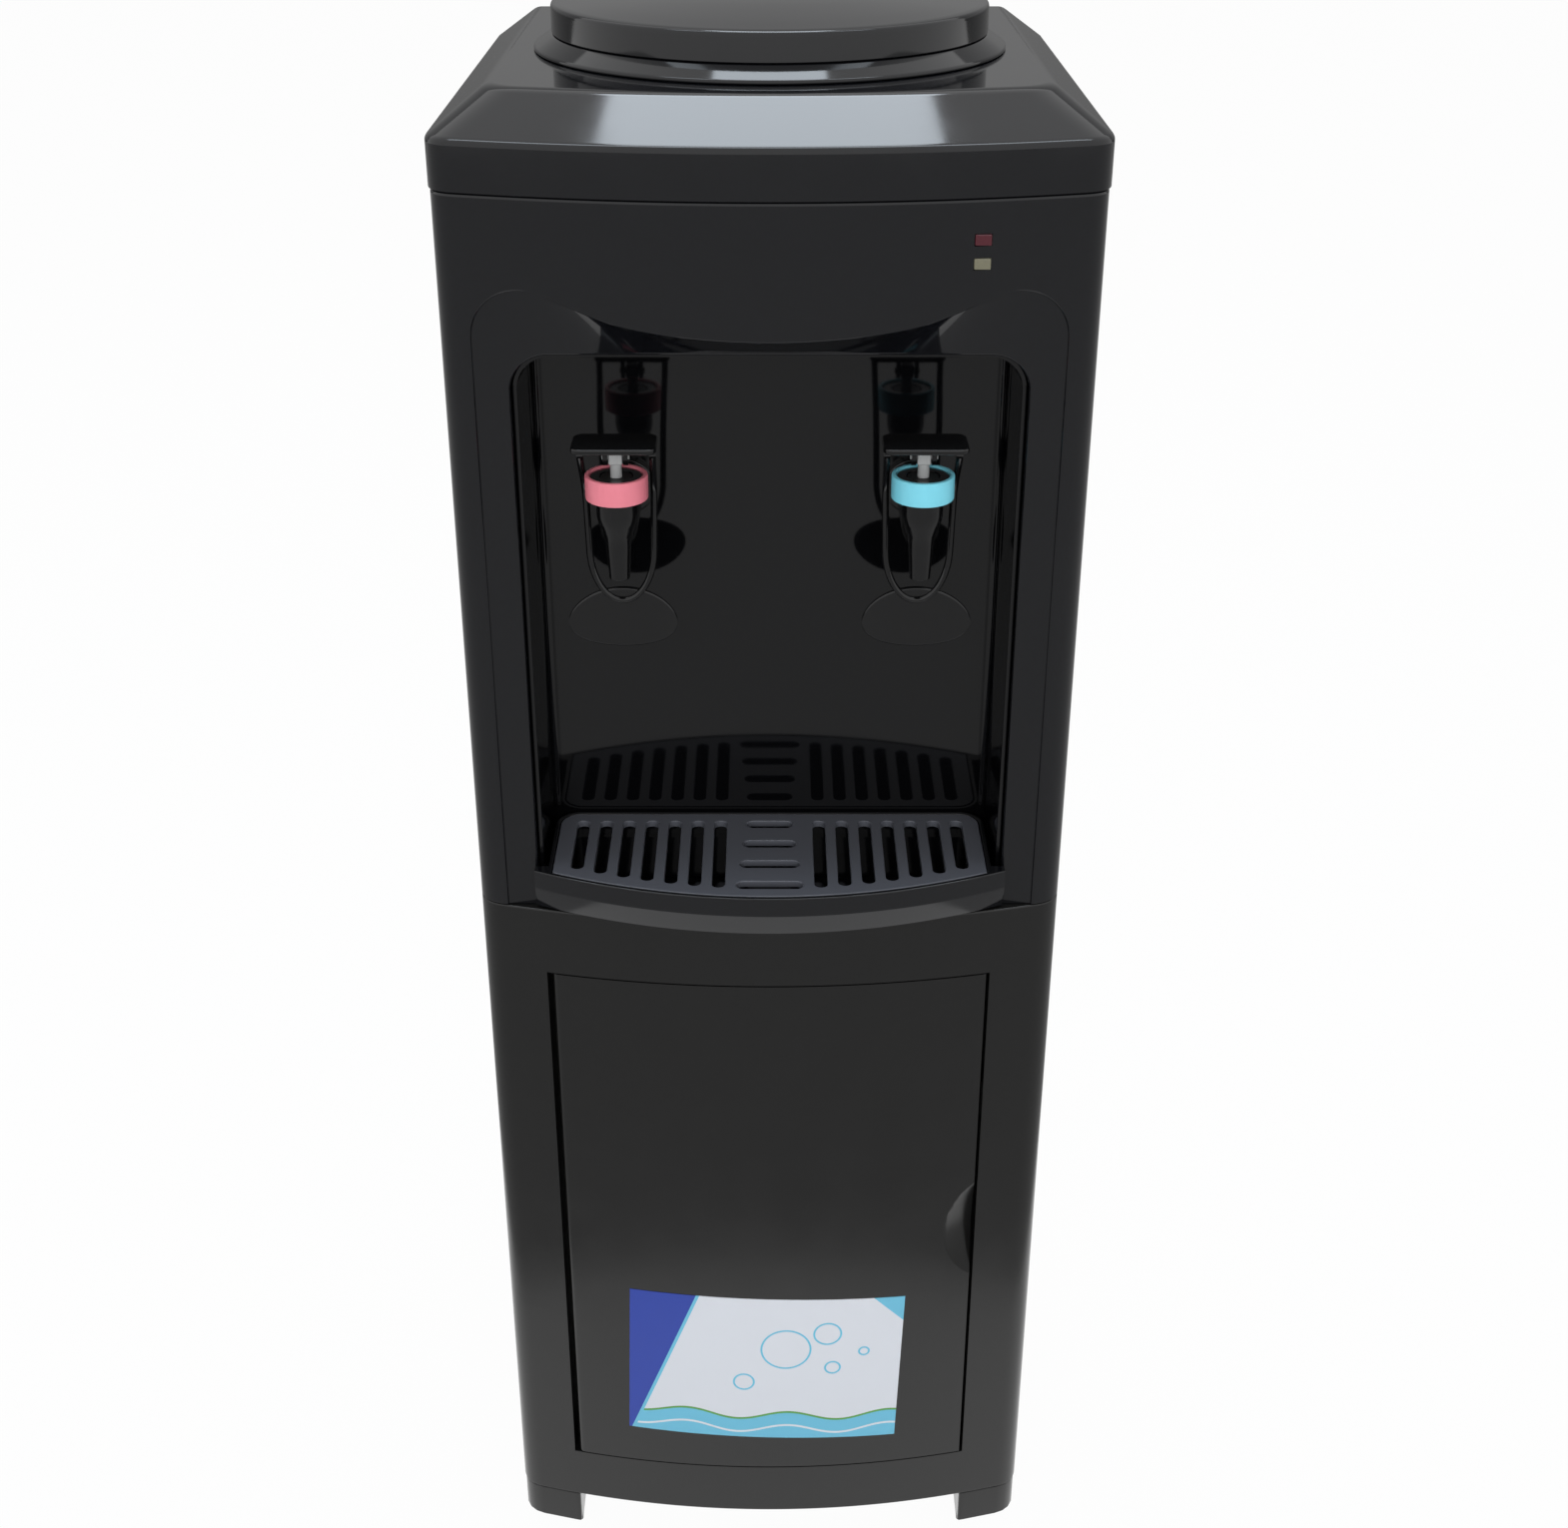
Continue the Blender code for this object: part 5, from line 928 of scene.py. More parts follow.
@dataclass(frozen=True)
class Plan:
    """The dispenser's shared plan: its half width, bowed front, and the levels at which mouldings meet."""

    half: float = 0.154
    bow_half: float = 0.155
    bow_depth: float = 0.0227
    front: float = -0.135
    back: float = 0.159
    wrap: float = -0.115
    corner: float = 0.0125
    wall: float = 0.003
    gap: float = 0.0003
    foot: float = 0.030
    seam: float = 0.455
    body_top: float = 0.8265
    opening_half: float = 0.1215
    opening_top: float = 0.7522
    opening_radius: float = 0.018
    opening_y: float = -0.138
    recess_y: float = -0.079
    tap_x: float = 0.0725
    tap_y: float = -0.147
    collar_y: float = 0.012
    plateau: float = 0.8675
    bow_steps: int = 82
    corner_steps: int = 10

    def bow(self, x: float, inset: float = 0.0) -> float:
        """The y of the bowed front at x, moved back by inset."""
        return self.front + inset - self.bow_depth * (1 - (x / self.bow_half) ** 2)

    def slope(self, x: float) -> float:
        """How fast the bowed front runs back with x."""
        return 2 * self.bow_depth * x / self.bow_half**2

    def front_line(self, start: float, end: float, inset: float, steps: int) -> Outline:
        """The bowed front's plan between two places across it, moved back by inset."""
        xs = [start + (end - start) * step / steps for step in range(steps + 1)]
        return [(x, self.bow(x, inset)) for x in xs]

    def outline(self, half: float, inset: float, corner: float, back: float) -> Outline:
        """Plan outline with a bowed front and rounded front corners.

        Args:
            half: Half the outline's width.
            inset: How far its front lies behind the bowed front.
            corner: Size of the front corners.
            back: The y of its rear.

        Returns:
            The outline, from the rear left round the front to the rear right.
        """
        run = half - corner
        start = self.bow(run, inset)
        bend = start + self.slope(run) * corner
        left = [(-half, bend + corner)]
        left += bezier([(-half, bend + corner), (-half, bend), (-run, start)], self.corner_steps)
        xs = [run * (2 * step / self.bow_steps - 1) for step in range(1, self.bow_steps)]
        middle = [(x, self.bow(x, inset)) for x in xs]
        return [(-half, back), *left, *middle, *[(-x, y) for x, y in reversed(left)], (half, back)]

    def opening(self, grow: float, low: float, arc_steps: int, run_steps: int) -> Outline:
        """The recess opening's edge, from its bottom left round to its bottom right.

        Args:
            grow: How far the edge is moved out.
            low: Height of its bottom.
            arc_steps: Number of steps in each top corner.
            run_steps: Number of steps from a corner to the middle.

        Returns:
            The outline.
        """
        half = self.opening_half + grow
        radius = self.opening_radius + grow
        top = self.opening_top + grow
        run = half - radius
        left = [(-half, low), *arc(-run, top - radius, radius, 180, 90, arc_steps)]
        left += [(-run * (1 - step / run_steps), top) for step in range(1, run_steps + 1)]
        return mirrored(left)


PLAN = Plan()


def dressed(piece: Piece, finish: Finish, body: str, *nodes: str, degrees: float = 32) -> Piece:
    """Shade a piece so that its flats stay flat, finish it, and put it in the place of nodes of the frame.

    Args:
        piece: The finished shape.
        finish: Its surface.
        body: The body that it moves with.
        nodes: The nodes that it stands for.
        degrees: Edges sharper than this stay sharp.

    Returns:
        The piece.
    """
    choose(piece)
    bpy.ops.object.shade_smooth_by_angle(angle=math.radians(degrees))
    weighing = piece.modifiers.new("weighing", "WEIGHTED_NORMAL")
    weighing.keep_sharp = True
    bpy.ops.object.modifier_apply(modifier=weighing.name)
    piece.data.materials.clear()
    piece.data.materials.append(finish.material())
    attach(piece, body)
    if nodes:
        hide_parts(*nodes)
    return piece


class Assembly(ABC):
    """A group of pieces that a maker builds together."""

    @abstractmethod
    def build(self) -> list[Piece]:
        """Model and dress the group's pieces."""


@dataclass
class UpperFascia(Assembly):
    """The upper moulding: bowed panel, smile-shaped brow, and the band that runs back to the opening."""

    band_reach: float = 0.0164
    band_drop: float = 0.0425
    lobe_radius: float = 0.024
    brow_sag: float = 0.0209
    brow_edge: float = 0.0017
    opening_edge: float = 0.0014
    edge_steps: int = 5
    arc_steps: int = 12
    brow_steps: int = 16
    turn: tuple[float, float] = (0.658, 0.620)
    lobe_handles: tuple[tuple[float, float], ...] = ((0.920, 0.0), (0.782, 0.384))
    smile_handles: tuple[tuple[float, float], ...] = ((0.608, 0.715), (0.360, 1.0))
    seam_edge: float = 0.0007
    top_edge: float = 0.0014
    lamp_x: float = 0.0955
    lamp_heights: tuple[float, float] = (0.8084, 0.7976)
    lamp_size: tuple[float, float, float] = (0.0076, 0.0073, 0.005)
    window_corner: float = 0.0006
    lens_edge: float = 0.0005

    def brow(self, grow: float, low: float) -> Outline:
        """The band's outer edge, moved out by grow, from its bottom left round to its bottom right.

        Args:
            grow: How far the edge is moved out.
            low: Height of its bottom.

        Returns:
            The outline.
        """
        half = PLAN.opening_half + self.band_reach + grow
        radius = self.lobe_radius + grow
        top = PLAN.body_top - self.band_drop + grow
        run = half - radius

        def on_brow(share: tuple[float, float]) -> tuple[float, float]:
            """A point at a share of the run and of the sag."""
            return -run * share[0], top - self.brow_sag * share[1]

        turn = on_brow(self.turn)
        left = [(-half, low), *arc(-run, top - radius, radius, 180, 90, self.arc_steps)]
        left += bezier([(-run, top), *map(on_brow, self.lobe_handles), turn], self.brow_steps)
        lowest = (0.0, top - self.brow_sag)
        left += bezier([turn, *map(on_brow, self.smile_handles), lowest], self.brow_steps)
        return mirrored(left)

    def opening(self, grow: float, low: float) -> Outline:
        """The opening's edge with as many points as the brow."""
        return PLAN.opening(grow, low, self.arc_steps, 2 * self.brow_steps)

    def cutter(self, name: str, grow: float, setback: float, low: float) -> Piece:
        """The space in front of the band and through the opening, with rolled edges.

        Args:
            name: Name of the cutter.
            grow: How far it is moved out all round.
            setback: How far it is moved back.
            low: Height of its bottom.

        Returns:
            The cutter.
        """
        edge = self.brow_edge
        loops = [placed(self.brow(grow + edge, low), PLAN.front - 5 * OVERRUN, Way.Y)]
        for out, back in quarter(edge, self.edge_steps):
            outline = self.brow(grow + out, low)
            loops.append([Vector((x, PLAN.bow(x, setback + back), z)) for x, z in outline])
        for out, back in quarter(self.opening_edge, self.edge_steps):
            loops.append(placed(self.opening(grow + out, low), PLAN.opening_y + setback + back, Way.Y))
        loops.append(placed(self.opening(grow, low), PLAN.wrap + 2 * OVERRUN, Way.Y))
        return lofted(name, loops)

    def panel(self) -> Piece:
        """The moulding itself.

        Returns:
            The dressed panel.
        """
        low = PLAN.seam + PLAN.gap
        wall = PLAN.wall
        outer = PLAN.outline(PLAN.half, 0.0, PLAN.corner, PLAN.wrap)
        shell = prism("fascia_moulding", outer, low, PLAN.body_top)
        for edge, level in ((self.seam_edge, low), (self.top_edge, PLAN.body_top)):

            def on_rim(spot: Vector, level: float = level, near: float = PLAN.gap + edge) -> bool:
                """Whether a point lies on this rim, and before the panel's rear edge."""
                return spot.y < PLAN.wrap - CLOSE and abs(spot.z - level) < near

            softened(shell, edge, 4, on_rim, 60)
        inner = PLAN.outline(PLAN.half - wall, wall, PLAN.corner - wall, PLAN.wrap + OVERRUN)
        hollow = prism("fascia_hollow", inner, low + wall, PLAN.body_top + OVERRUN)
        carved(hollow, self.cutter("fascia_keep", wall, wall, low - 2 * OVERRUN))
        carved(shell, self.cutter("fascia_opening", 0.0, 0.0, low - OVERRUN), hollow)
        front = PLAN.bow(self.lamp_x) - OVERRUN
        for height in self.lamp_heights:
            outline = self.window(height, PLAN.gap, self.window_corner)
            carved(shell, prism("lamp_window", outline, front, PLAN.wrap, Way.Y))
        return dressed(shell, GLOSS_MOULDING, "housing", "upper_fascia", degrees=28)

    def window(self, height: float, gap: float, corner: float) -> Outline:
        """The outline of a lamp at a height, moved out by a gap all round.

        Args:
            height: Height of the lamp's middle.
            gap: How far the outline is moved out.
            corner: Radius of its corners.

        Returns:
            The outline.
        """
        reach = self.lamp_size[0] / 2 + gap
        rise = self.lamp_size[2] / 2 + gap
        low = (self.lamp_x - reach, height - rise)
        high = (self.lamp_x + reach, height + rise)
        return round_box(low, high, corner, 3)

    def lamp(self, node: str, height: float, finish: Finish) -> Piece:
        """A lens with a softened face, flush in its window.

        Args:
            node: The node that it stands for.
            height: Height of its middle.
            finish: Its surface.

        Returns:
            The dressed lens.
        """
        outline = self.window(height, 0.0, self.lens_edge)
        front = PLAN.bow(self.lamp_x - self.lamp_size[0] / 2)
        lens = prism(f"{node}_lens", outline, front, PLAN.bow(self.lamp_x) + self.lamp_size[1], Way.Y)
        softened(lens, self.lens_edge, 3, lambda spot: spot.y < front + CLOSE)
        return dressed(lens, finish, "housing", node)

    def build(self) -> list[Piece]:
        """The panel and its two lamps.

        Returns:
            The three pieces.
        """
        upper, lower = self.lamp_heights
        return [
            self.panel(),
            self.lamp("heating_lamp", upper, RED_LENS),
            self.lamp("power_lamp", lower, GREEN_LENS),
        ]


@dataclass
class Recess(Assembly):
    """The glossy liner behind the opening: back, sides, ceiling, and a floor under the drip tray."""

    setback: float = 0.006
    wall: float = 0.002
    draft: float = 0.002
    fillet: float = 0.0030
    front_edge: float = 0.0005
    hole: float = 0.0093
    tap_height: float = 0.668
    steps: int = 5
    arc_steps: int = 12
    run_steps: int = 8

    def edge(self, grow: float, low: float) -> Outline:
        """The opening's edge, with the liner's own steps."""
        return PLAN.opening(grow, low, self.arc_steps, self.run_steps)

    def build(self) -> list[Piece]:
        """The liner, with a rounded corner all round its back and holes for the taps.

        Returns:
            The liner alone.
        """
        clear = -PLAN.gap
        front = PLAN.opening_y + self.setback
        back = PLAN.recess_y + self.wall
        ahead = front - OVERRUN
        shell = prism("recess_moulding_shell", self.edge(clear, PLAN.seam - self.wall), front, back, Way.Y)
        grow = clear - self.wall
        loops = [placed(self.edge(grow, PLAN.seam), ahead, Way.Y)]
        for rest, inward in quarter(self.fillet, self.steps):
            y = PLAN.recess_y - rest
            share = (y - ahead) / (PLAN.recess_y - ahead)
            loops.append(placed(self.edge(grow - self.draft * share - inward, PLAN.seam), y, Way.Y))
        carved(shell, lofted("recess_space", loops))
        low = (-PLAN.half, ahead, PLAN.seam - OVERRUN)
        high = (PLAN.half, PLAN.wrap + PLAN.gap, PLAN.seam + PLAN.gap)
        carved(shell, block("recess_step", low, high))
        for x in (-PLAN.tap_x, PLAN.tap_x):
            centre = Vector((x, PLAN.recess_y, self.tap_height))
            carved(shell, rod("tap_hole", self.hole, -OVERRUN, OVERRUN, centre, Way.Y, 48))
        softened(shell, self.front_edge, 2, lambda spot: spot.y < front + FINE, 60)
        return [dressed(shell, RECESS_MOULDING, "housing", "recess_liner", degrees=28)]


@dataclass
class TopCover(Assembly):
    """The cover: a short skirt, sloping shoulders with rolled edges, and a flat top round the collar."""

    lip: float = 0.001
    skirt: float = 0.023
    shoulder_front: float = 0.035
    shoulder_side: float = 0.025
    shoulder_rear: float = 0.010
    plateau_corner: float = 0.016
    rim_edge: float = 0.0022
    plateau_edge: float = 0.0030
    neck: float = 0.1058
    tube_wall: float = 0.003
    tube_low: float = 0.8297
    tube_drop: float = 0.001
    lip_edge: float = 0.0005
    lip_rear: float = 0.13

    def loop(self, inset: float, height: float, thickness: float = 0.0) -> Loop:
        """One level of the cover, at an inset from its rim.

        Args:
            inset: Distance in from the side of the rim.
            height: Height of the level.
            thickness: How much smaller the level is made all round.

        Returns:
            The level's points.
        """
        share = max(inset, 0.0) / self.shoulder_side
        front = (self.shoulder_front - self.shoulder_side) * share + thickness
        rear = (self.shoulder_rear - self.shoulder_side) * share + thickness
        corner = (PLAN.corner + self.lip) * (1 - share) + self.plateau_corner * share
        half = PLAN.bow_half - inset - thickness
        outline = PLAN.outline(half, inset + front, corner, PLAN.back + self.lip - inset - rear)
        return placed(outline, height, Way.Z)

    def build(self) -> list[Piece]:
        """The cover with its inner hollow and the tube that takes the collar.

        Returns:
            The cover alone.
        """
        low = PLAN.body_top + PLAN.gap
        rim = PLAN.body_top + self.skirt
        top = PLAN.plateau
        side = self.shoulder_side
        profile = [(0.0, low), (0.0, rim), (side, top), (side + 2 * self.plateau_edge, top)]
        levels = eased(profile, {1: self.rim_edge, 2: self.plateau_edge}, 6)[:-1]
        cover = lofted("top_cover_moulding", [self.loop(inset, height) for inset, height in levels])
        wall = PLAN.wall
        inner = [
            self.loop(0.0, low - OVERRUN, wall),
            self.loop(0.0, rim - wall, wall),
            self.loop(side, top - wall, wall / 2),
        ]
        carved(cover, lofted("cover_hollow", inner))
        centre = Vector((0, PLAN.collar_y, 0))
        carved(cover, rod("cover_hole", self.neck, low - OVERRUN, top + OVERRUN, centre, Way.Z, 128))
        tube = band(self.neck, self.neck + self.tube_wall, self.tube_low, top - self.tube_drop)
        fused(cover, turned("cover_tube", tube, centre, Way.Z, 128))
        edge = self.lip_edge
        softened(cover, edge, 2, lambda spot: spot.z < low + edge and spot.y < self.lip_rear, 60)
        return [dressed(cover, GLOSS_MOULDING, "housing", "top_cover", degrees=24)]


@dataclass
class BottleSeat(Assembly):
    """The bottle collar with its funnel, the probe in its throat, and the dust lid."""

    flange: float = 0.1178
    ledge: float = 0.0032
    edge: float = 0.0016
    flange_height: float = 0.0075
    neck: float = 0.1055
    neck_wall: float = 0.004
    neck_rise: float = 0.010
    neck_drop: float = 0.0355
    throat: float = 0.030
    throat_hole: float = 0.011
    funnel_drop: float = 0.0675
    funnel_wall: float = 0.0025
    funnel: tuple[tuple[float, float], ...] = ((1.00, 0.0), (0.93, 0.18), (0.80, 0.42), (0.45, 0.86))
    lid_radius: float = 0.1088
    lid_skirt: float = 0.0135
    lid_crown: float = 0.006
    lid_wall: float = 0.0022
    lid_edge: float = 0.0022
    lid_dome: tuple[tuple[float, float], ...] = ((0.97, 0.12), (0.75, 0.45), (0.40, 0.85), (0.0, 1.0))
    probe_radius: float = 0.007
    probe_bore: float = 0.003
    probe_rise: float = 0.050
    probe_tail: float = 0.030
    probe_flange: float = 0.024

    def centre(self) -> Vector:
        """The axis that the collar, probe and lid are turned round."""
        return Vector((0, PLAN.collar_y, 0))

    def collar(self) -> Piece:
        """The collar's flange, neck, shoulder and funnel.

        Returns:
            The dressed collar.
        """
        seat = PLAN.plateau + PLAN.gap
        top = seat + self.flange_height
        lip = top + self.neck_rise
        bore = self.neck - self.neck_wall
        wall = self.funnel_wall
        drop = self.funnel_drop
        low = PLAN.plateau - drop
        foot = PLAN.plateau - self.neck_drop
        run = bore - self.throat
        bowl = [(self.throat + run * share, PLAN.plateau - drop * fall) for share, fall in self.funnel]
        profile = [
            (self.flange, seat),
            (self.flange, seat + self.edge),
            (self.neck + self.ledge, top),
            (self.neck, top),
            (self.neck, lip),
            (bore, lip),
            *bowl,
            (self.throat, low),
            (self.throat_hole, low),
            (self.throat_hole, low - wall),
            (self.throat + wall, low - wall),
            *[(radius - wall, height - wall) for radius, height in reversed(bowl[2:])],
            (bore - wall, foot),
            (self.neck, foot),
            (self.neck, seat),
        ]
        radii = {0: 0.0005, 1: 0.0010, 2: 0.0010, 4: 0.0015, 5: 0.0015}
        radii |= {6: 0.008, 7: 0.004, 8: 0.008, 9: 0.012}
        collar = turned("bottle_collar_moulding", eased(profile, radii, 6), self.centre(), Way.Z, 144)
        return dressed(collar, GLOSS_MOULDING, "housing", "bottle_collar", degrees=26)

    def lid(self) -> Piece:
        """The dust lid, domed on top, with a rolled rim and a shallow dish round its crown.

        Returns:
            The dressed lid.
        """
        low = PLAN.plateau + PLAN.gap + self.flange_height + PLAN.gap
        rim = low + self.lid_skirt
        radius = self.lid_radius
        inner = radius - self.lid_wall
        crown = [(radius * share, rim + self.lid_crown * up) for share, up in self.lid_dome]
        under = [(across, height - self.lid_wall) for across, height in reversed(crown)]
        under[-1] = (inner, rim - self.lid_wall)
        outer = [(radius, low), (radius, rim), *crown]
        outside = eased(outer, {0: 0.0005, 1: self.lid_edge, 2: 0.002, 3: 0.020, 4: 0.020}, 7)
        profile = [*outside, *eased(under, {1: 0.015, 2: 0.015}, 4), (inner, low)]
        lid = turned("dust_lid", list(reversed(self.from_pole(profile))), self.centre(), Way.Z, 144)
        return dressed(lid, GLOSS_MOULDING, "lid", "lid", degrees=26)

    @staticmethod
    def from_pole(profile: Outline) -> Outline:
        """A closed profile that touches the axis, turned so that it starts and ends there.

        Args:
            profile: The profile.

        Returns:
            The same points, from pole to pole.
        """
        poles = [place for place, point in enumerate(profile) if point[0] < SAME_POINT]
        start = poles[-1]
        return [*profile[start:], *profile[: poles[0] + 1]]

    def probe(self) -> Piece:
        """The hollow spike that opens the bottle's cap.

        Returns:
            The dressed probe.
        """
        low = PLAN.plateau - self.funnel_drop
        seat = low + PLAN.gap
        flange = seat + self.funnel_wall
        tip = flange + self.probe_rise
        radius = self.probe_radius
        bore = self.probe_bore
        profile = [
            (bore, low - self.probe_tail),
            (radius, low - self.probe_tail),
            (radius, seat),
            (self.probe_flange, seat),
            (self.probe_flange, flange),
            (radius + bore, flange),
            (radius, flange + radius),
            (radius, tip - radius),
            (bore + (radius - bore) / 4, tip),
            (bore, tip),
        ]
        radii = {4: 0.0006, 5: 0.002, 6: 0.002, 7: 0.002}
        probe = turned("bottle_probe_spike", eased(profile, radii, 4), self.centre(), Way.Z, 64)
        return dressed(probe, MILKY_PLASTIC, "housing", "bottle_probe")

    def build(self) -> list[Piece]:
        """The collar, the probe and the lid."""
        return [self.collar(), self.probe(), self.lid()]


@dataclass
class Tap(Assembly):
    """One tap: barrel with its arm, coloured ring, stem, cup lever, and what lies inside."""

    water: Water
    ring_finish: Finish
    barrel_top: float = 0.697
    barrel_radius: float = 0.0125
    waist_radius: float = 0.0100
    waist_top: float = 0.0095
    barrel_height: float = 0.021
    chamber_radius: float = 0.008
    chamber_depth: float = 0.0185
    taper: float = 0.011
    nozzle_top: float = 0.0062
    nozzle_end: float = 0.0050
    nozzle_length: float = 0.020
    bore: float = 0.0028
    bore_length: float = 0.016
    arm_radius: float = 0.009
    arm_height: float = 0.668
    arm_end: float = -0.055
    flange_radius: float = 0.0145
    flange_thickness: float = 0.004
    ring_wall: float = 0.0022
    ring_height: float = 0.0120
    ring_edge: float = 0.0010
    ring_rise: float = 0.001
    stem_radius: float = 0.0028
    stem_lift: float = 0.002985
    foot_radius: float = 0.0068
    foot_height: float = 0.003
    head: tuple[float, float, float] = (0.0066, 0.007, 0.007)
    head_rise: float = 0.006
    trunnion_radius: float = 0.0015
    trunnion_length: float = 0.0130
    plate: tuple[float, float] = (0.040, 0.0028)
    plate_front: float = 0.0175
    plate_rear: float = 0.007
    plate_corner: float = 0.005
    plate_lift: float = 0.0062
    ear_thickness: float = 0.0022
    ear_play: float = 0.0004
    ear_radius: float = 0.0042
    loop_half: float = 0.0174
    loop_waist: float = 0.0158
    loop_straight: float = 0.0540
    loop_bottom: float = 0.0272
    loop_setback: float = 0.019
    loop_ease: float = 0.036
    loop_bar: tuple[float, float] = (0.0034, 0.0036)
    paddle: tuple[float, float, float] = (0.054, 0.032, 0.0025)
    paddle_drop: float = 0.0905
    paddle_curve: float = 0.007
    paddle_reach: float = 85
    paddle_least: float = 0.51
    paddle_steps: int = 48
    rim_steps: int = 8
    loop_steps: int = 16
    loop_sides: int = 14
    soft_edge: float = 0.0009

    @property
    def x(self) -> float:
        """Where the tap stands across the front."""
        return -PLAN.tap_x if self.water is Water.HOT else PLAN.tap_x

    @property
    def pivot(self) -> float:
        """Height of the lever's axis."""
        return self.barrel_top + self.head_rise + self.head[2] / 2

    def on_axis(self, height: float) -> Vector:
        """The point on the barrel's axis at a height."""
        return Vector((self.x, PLAN.tap_y, height))

    def name(self, piece: str) -> str:
        """A name that starts with the tap's own word."""
        return f"{self.water.value}_tap_{piece}"

    def barrel(self) -> Piece:
        """The barrel with chamber, taper and nozzle, and its arm through the liner.

        Returns:
            The dressed barrel.
        """
        top = self.barrel_top
        low = top - self.barrel_height
        chamber = top - self.chamber_depth
        taper = low - self.taper
        tip = taper - self.nozzle_length
        profile = [
            (0, chamber),
            (self.chamber_radius, chamber),
            (self.chamber_radius, top),
            (self.barrel_radius, top),
            (self.barrel_radius, top - self.waist_top),
            (self.waist_radius, top - self.waist_top),
            (self.waist_radius, low),
            (self.nozzle_top, taper),
            (self.nozzle_end, tip),
            (self.bore, tip),
            (self.bore, tip + self.bore_length),
            (0, tip + self.bore_length),
        ]
        radii = {2: 0.0004, 3: 0.0006, 6: 0.003, 7: 0.003, 8: 0.0006, 9: 0.0004}
        barrel = turned(self.name("barrel"), eased(profile, radii, 5), self.on_axis(0), Way.Z, 64)
        face = PLAN.recess_y - PLAN.gap
        arm = [
            (0, PLAN.tap_y),
            (self.arm_radius, PLAN.tap_y),
            (self.arm_radius, face - self.flange_thickness),
            (self.flange_radius, face - self.flange_thickness),
            (self.flange_radius, face),
            (self.arm_radius, face),
            (self.arm_radius, self.arm_end),
            (0, self.arm_end),
        ]
        radii = {1: 0.0085, 2: 0.0012, 3: 0.0010}
        along = Vector((self.x, 0, self.arm_height))
        fused(barrel, turned("tap_arm", eased(arm, radii, 4), along, Way.Y, 48))
        return dressed(barrel, TAP_MOULDING, "housing", self.name("body"))

    def ring(self) -> Piece:
        """The coloured cap ring, rounded at its edges.

        Returns:
            The dressed ring.
        """
        inner = self.barrel_radius + PLAN.gap
        high = self.barrel_top + self.ring_rise
        profile = band(inner, inner + self.ring_wall, high - self.ring_height, high)
        radii = {0: 0.0003, 1: self.ring_edge, 2: self.ring_edge, 3: 0.0006}
        ring = turned(self.name("cap_ring"), eased(profile, radii, 5), self.on_axis(0), Way.Z, 96)
        return dressed(ring, self.ring_finish, "housing", self.name("ring"), degrees=40)

    def stem(self) -> Piece:
        """The valve stem with its foot, and a head with two trunnions.

        Returns:
            The dressed stem.
        """
        foot = self.barrel_top - self.chamber_depth + PLAN.gap
        head = self.barrel_top + self.head_rise
        wide, deep, tall = self.head
        profile = [
            (0, foot),
            (self.foot_radius, foot),
            (self.foot_radius, foot + self.foot_height),
            (self.stem_radius, foot + self.foot_height),
            (self.stem_radius, head + tall / 2),
            (0, head + tall / 2),
        ]
        stem = turned(self.name("valve_stem"), profile, self.on_axis(0), Way.Z, 32)
        low = (self.x - wide / 2, PLAN.tap_y - deep / 2, head)
        high = (self.x + wide / 2, PLAN.tap_y + deep / 2, head + tall)
        fused(stem, softened(block("stem_head", low, high), self.soft_edge, 3))
        half = self.trunnion_length / 2
        pin = rod("trunnions", self.trunnion_radius, -half, half, self.on_axis(self.pivot), Way.X, 24)
        fused(stem, pin)
        # The stem takes the darker copy of the milky plastic, as painted shade
        return dressed(stem, SHADED_STEM_PLASTIC, f"{self.water.value}_stem", self.name("stem"))

    def loop_line(self) -> Loop:
        """The middle line of the lever's loop, down one side, round the bottom and up the other.

        Returns:
            The points of the line.
        """
        top = self.pivot + self.plate_lift + self.plate[1] / 2
        bend = self.pivot - self.loop_straight
        narrowing = self.loop_waist - self.loop_half
        steps = self.loop_steps
        half = []
        for step in range(steps):
            half.append((self.loop_half + narrowing * step / steps, top + (bend - top) * step / steps))
        for step in range(steps + 1):
            angle = math.pi / 2 * step / steps
            half.append((self.loop_waist * math.cos(angle), bend - self.loop_bottom * math.sin(angle)))
        line = []
        for across, height in mirrored(half):
            share = min(1.0, (top - height) / self.loop_ease)
            back = self.loop_setback * share**2 * (3 - 2 * share)
            line.append(Vector((self.x + across, PLAN.tap_y + back, height)))
        return line

    def loop(self) -> Piece:
        """The loop, as oval sections bridged along its middle line.

        Returns:
            The closed piece.
        """
        line = self.loop_line()
        wide, deep = self.loop_bar
        loops = []
        for place, point in enumerate(line):
            along = (line[min(place + 1, len(line) - 1)] - line[max(place - 1, 0)]).normalized()
            side = along.cross(Vector((0, 1, 0))).normalized()
            lift = side.cross(along)
            section = []
            for step in range(self.loop_sides):
                angle = math.tau * (step + 0.5) / self.loop_sides
                across = side * (math.cos(angle) * wide / 2)
                section.append(point + across + lift * (math.sin(angle) * deep / 2))
            loops.append(section)
        return lofted("lever_loop", loops)

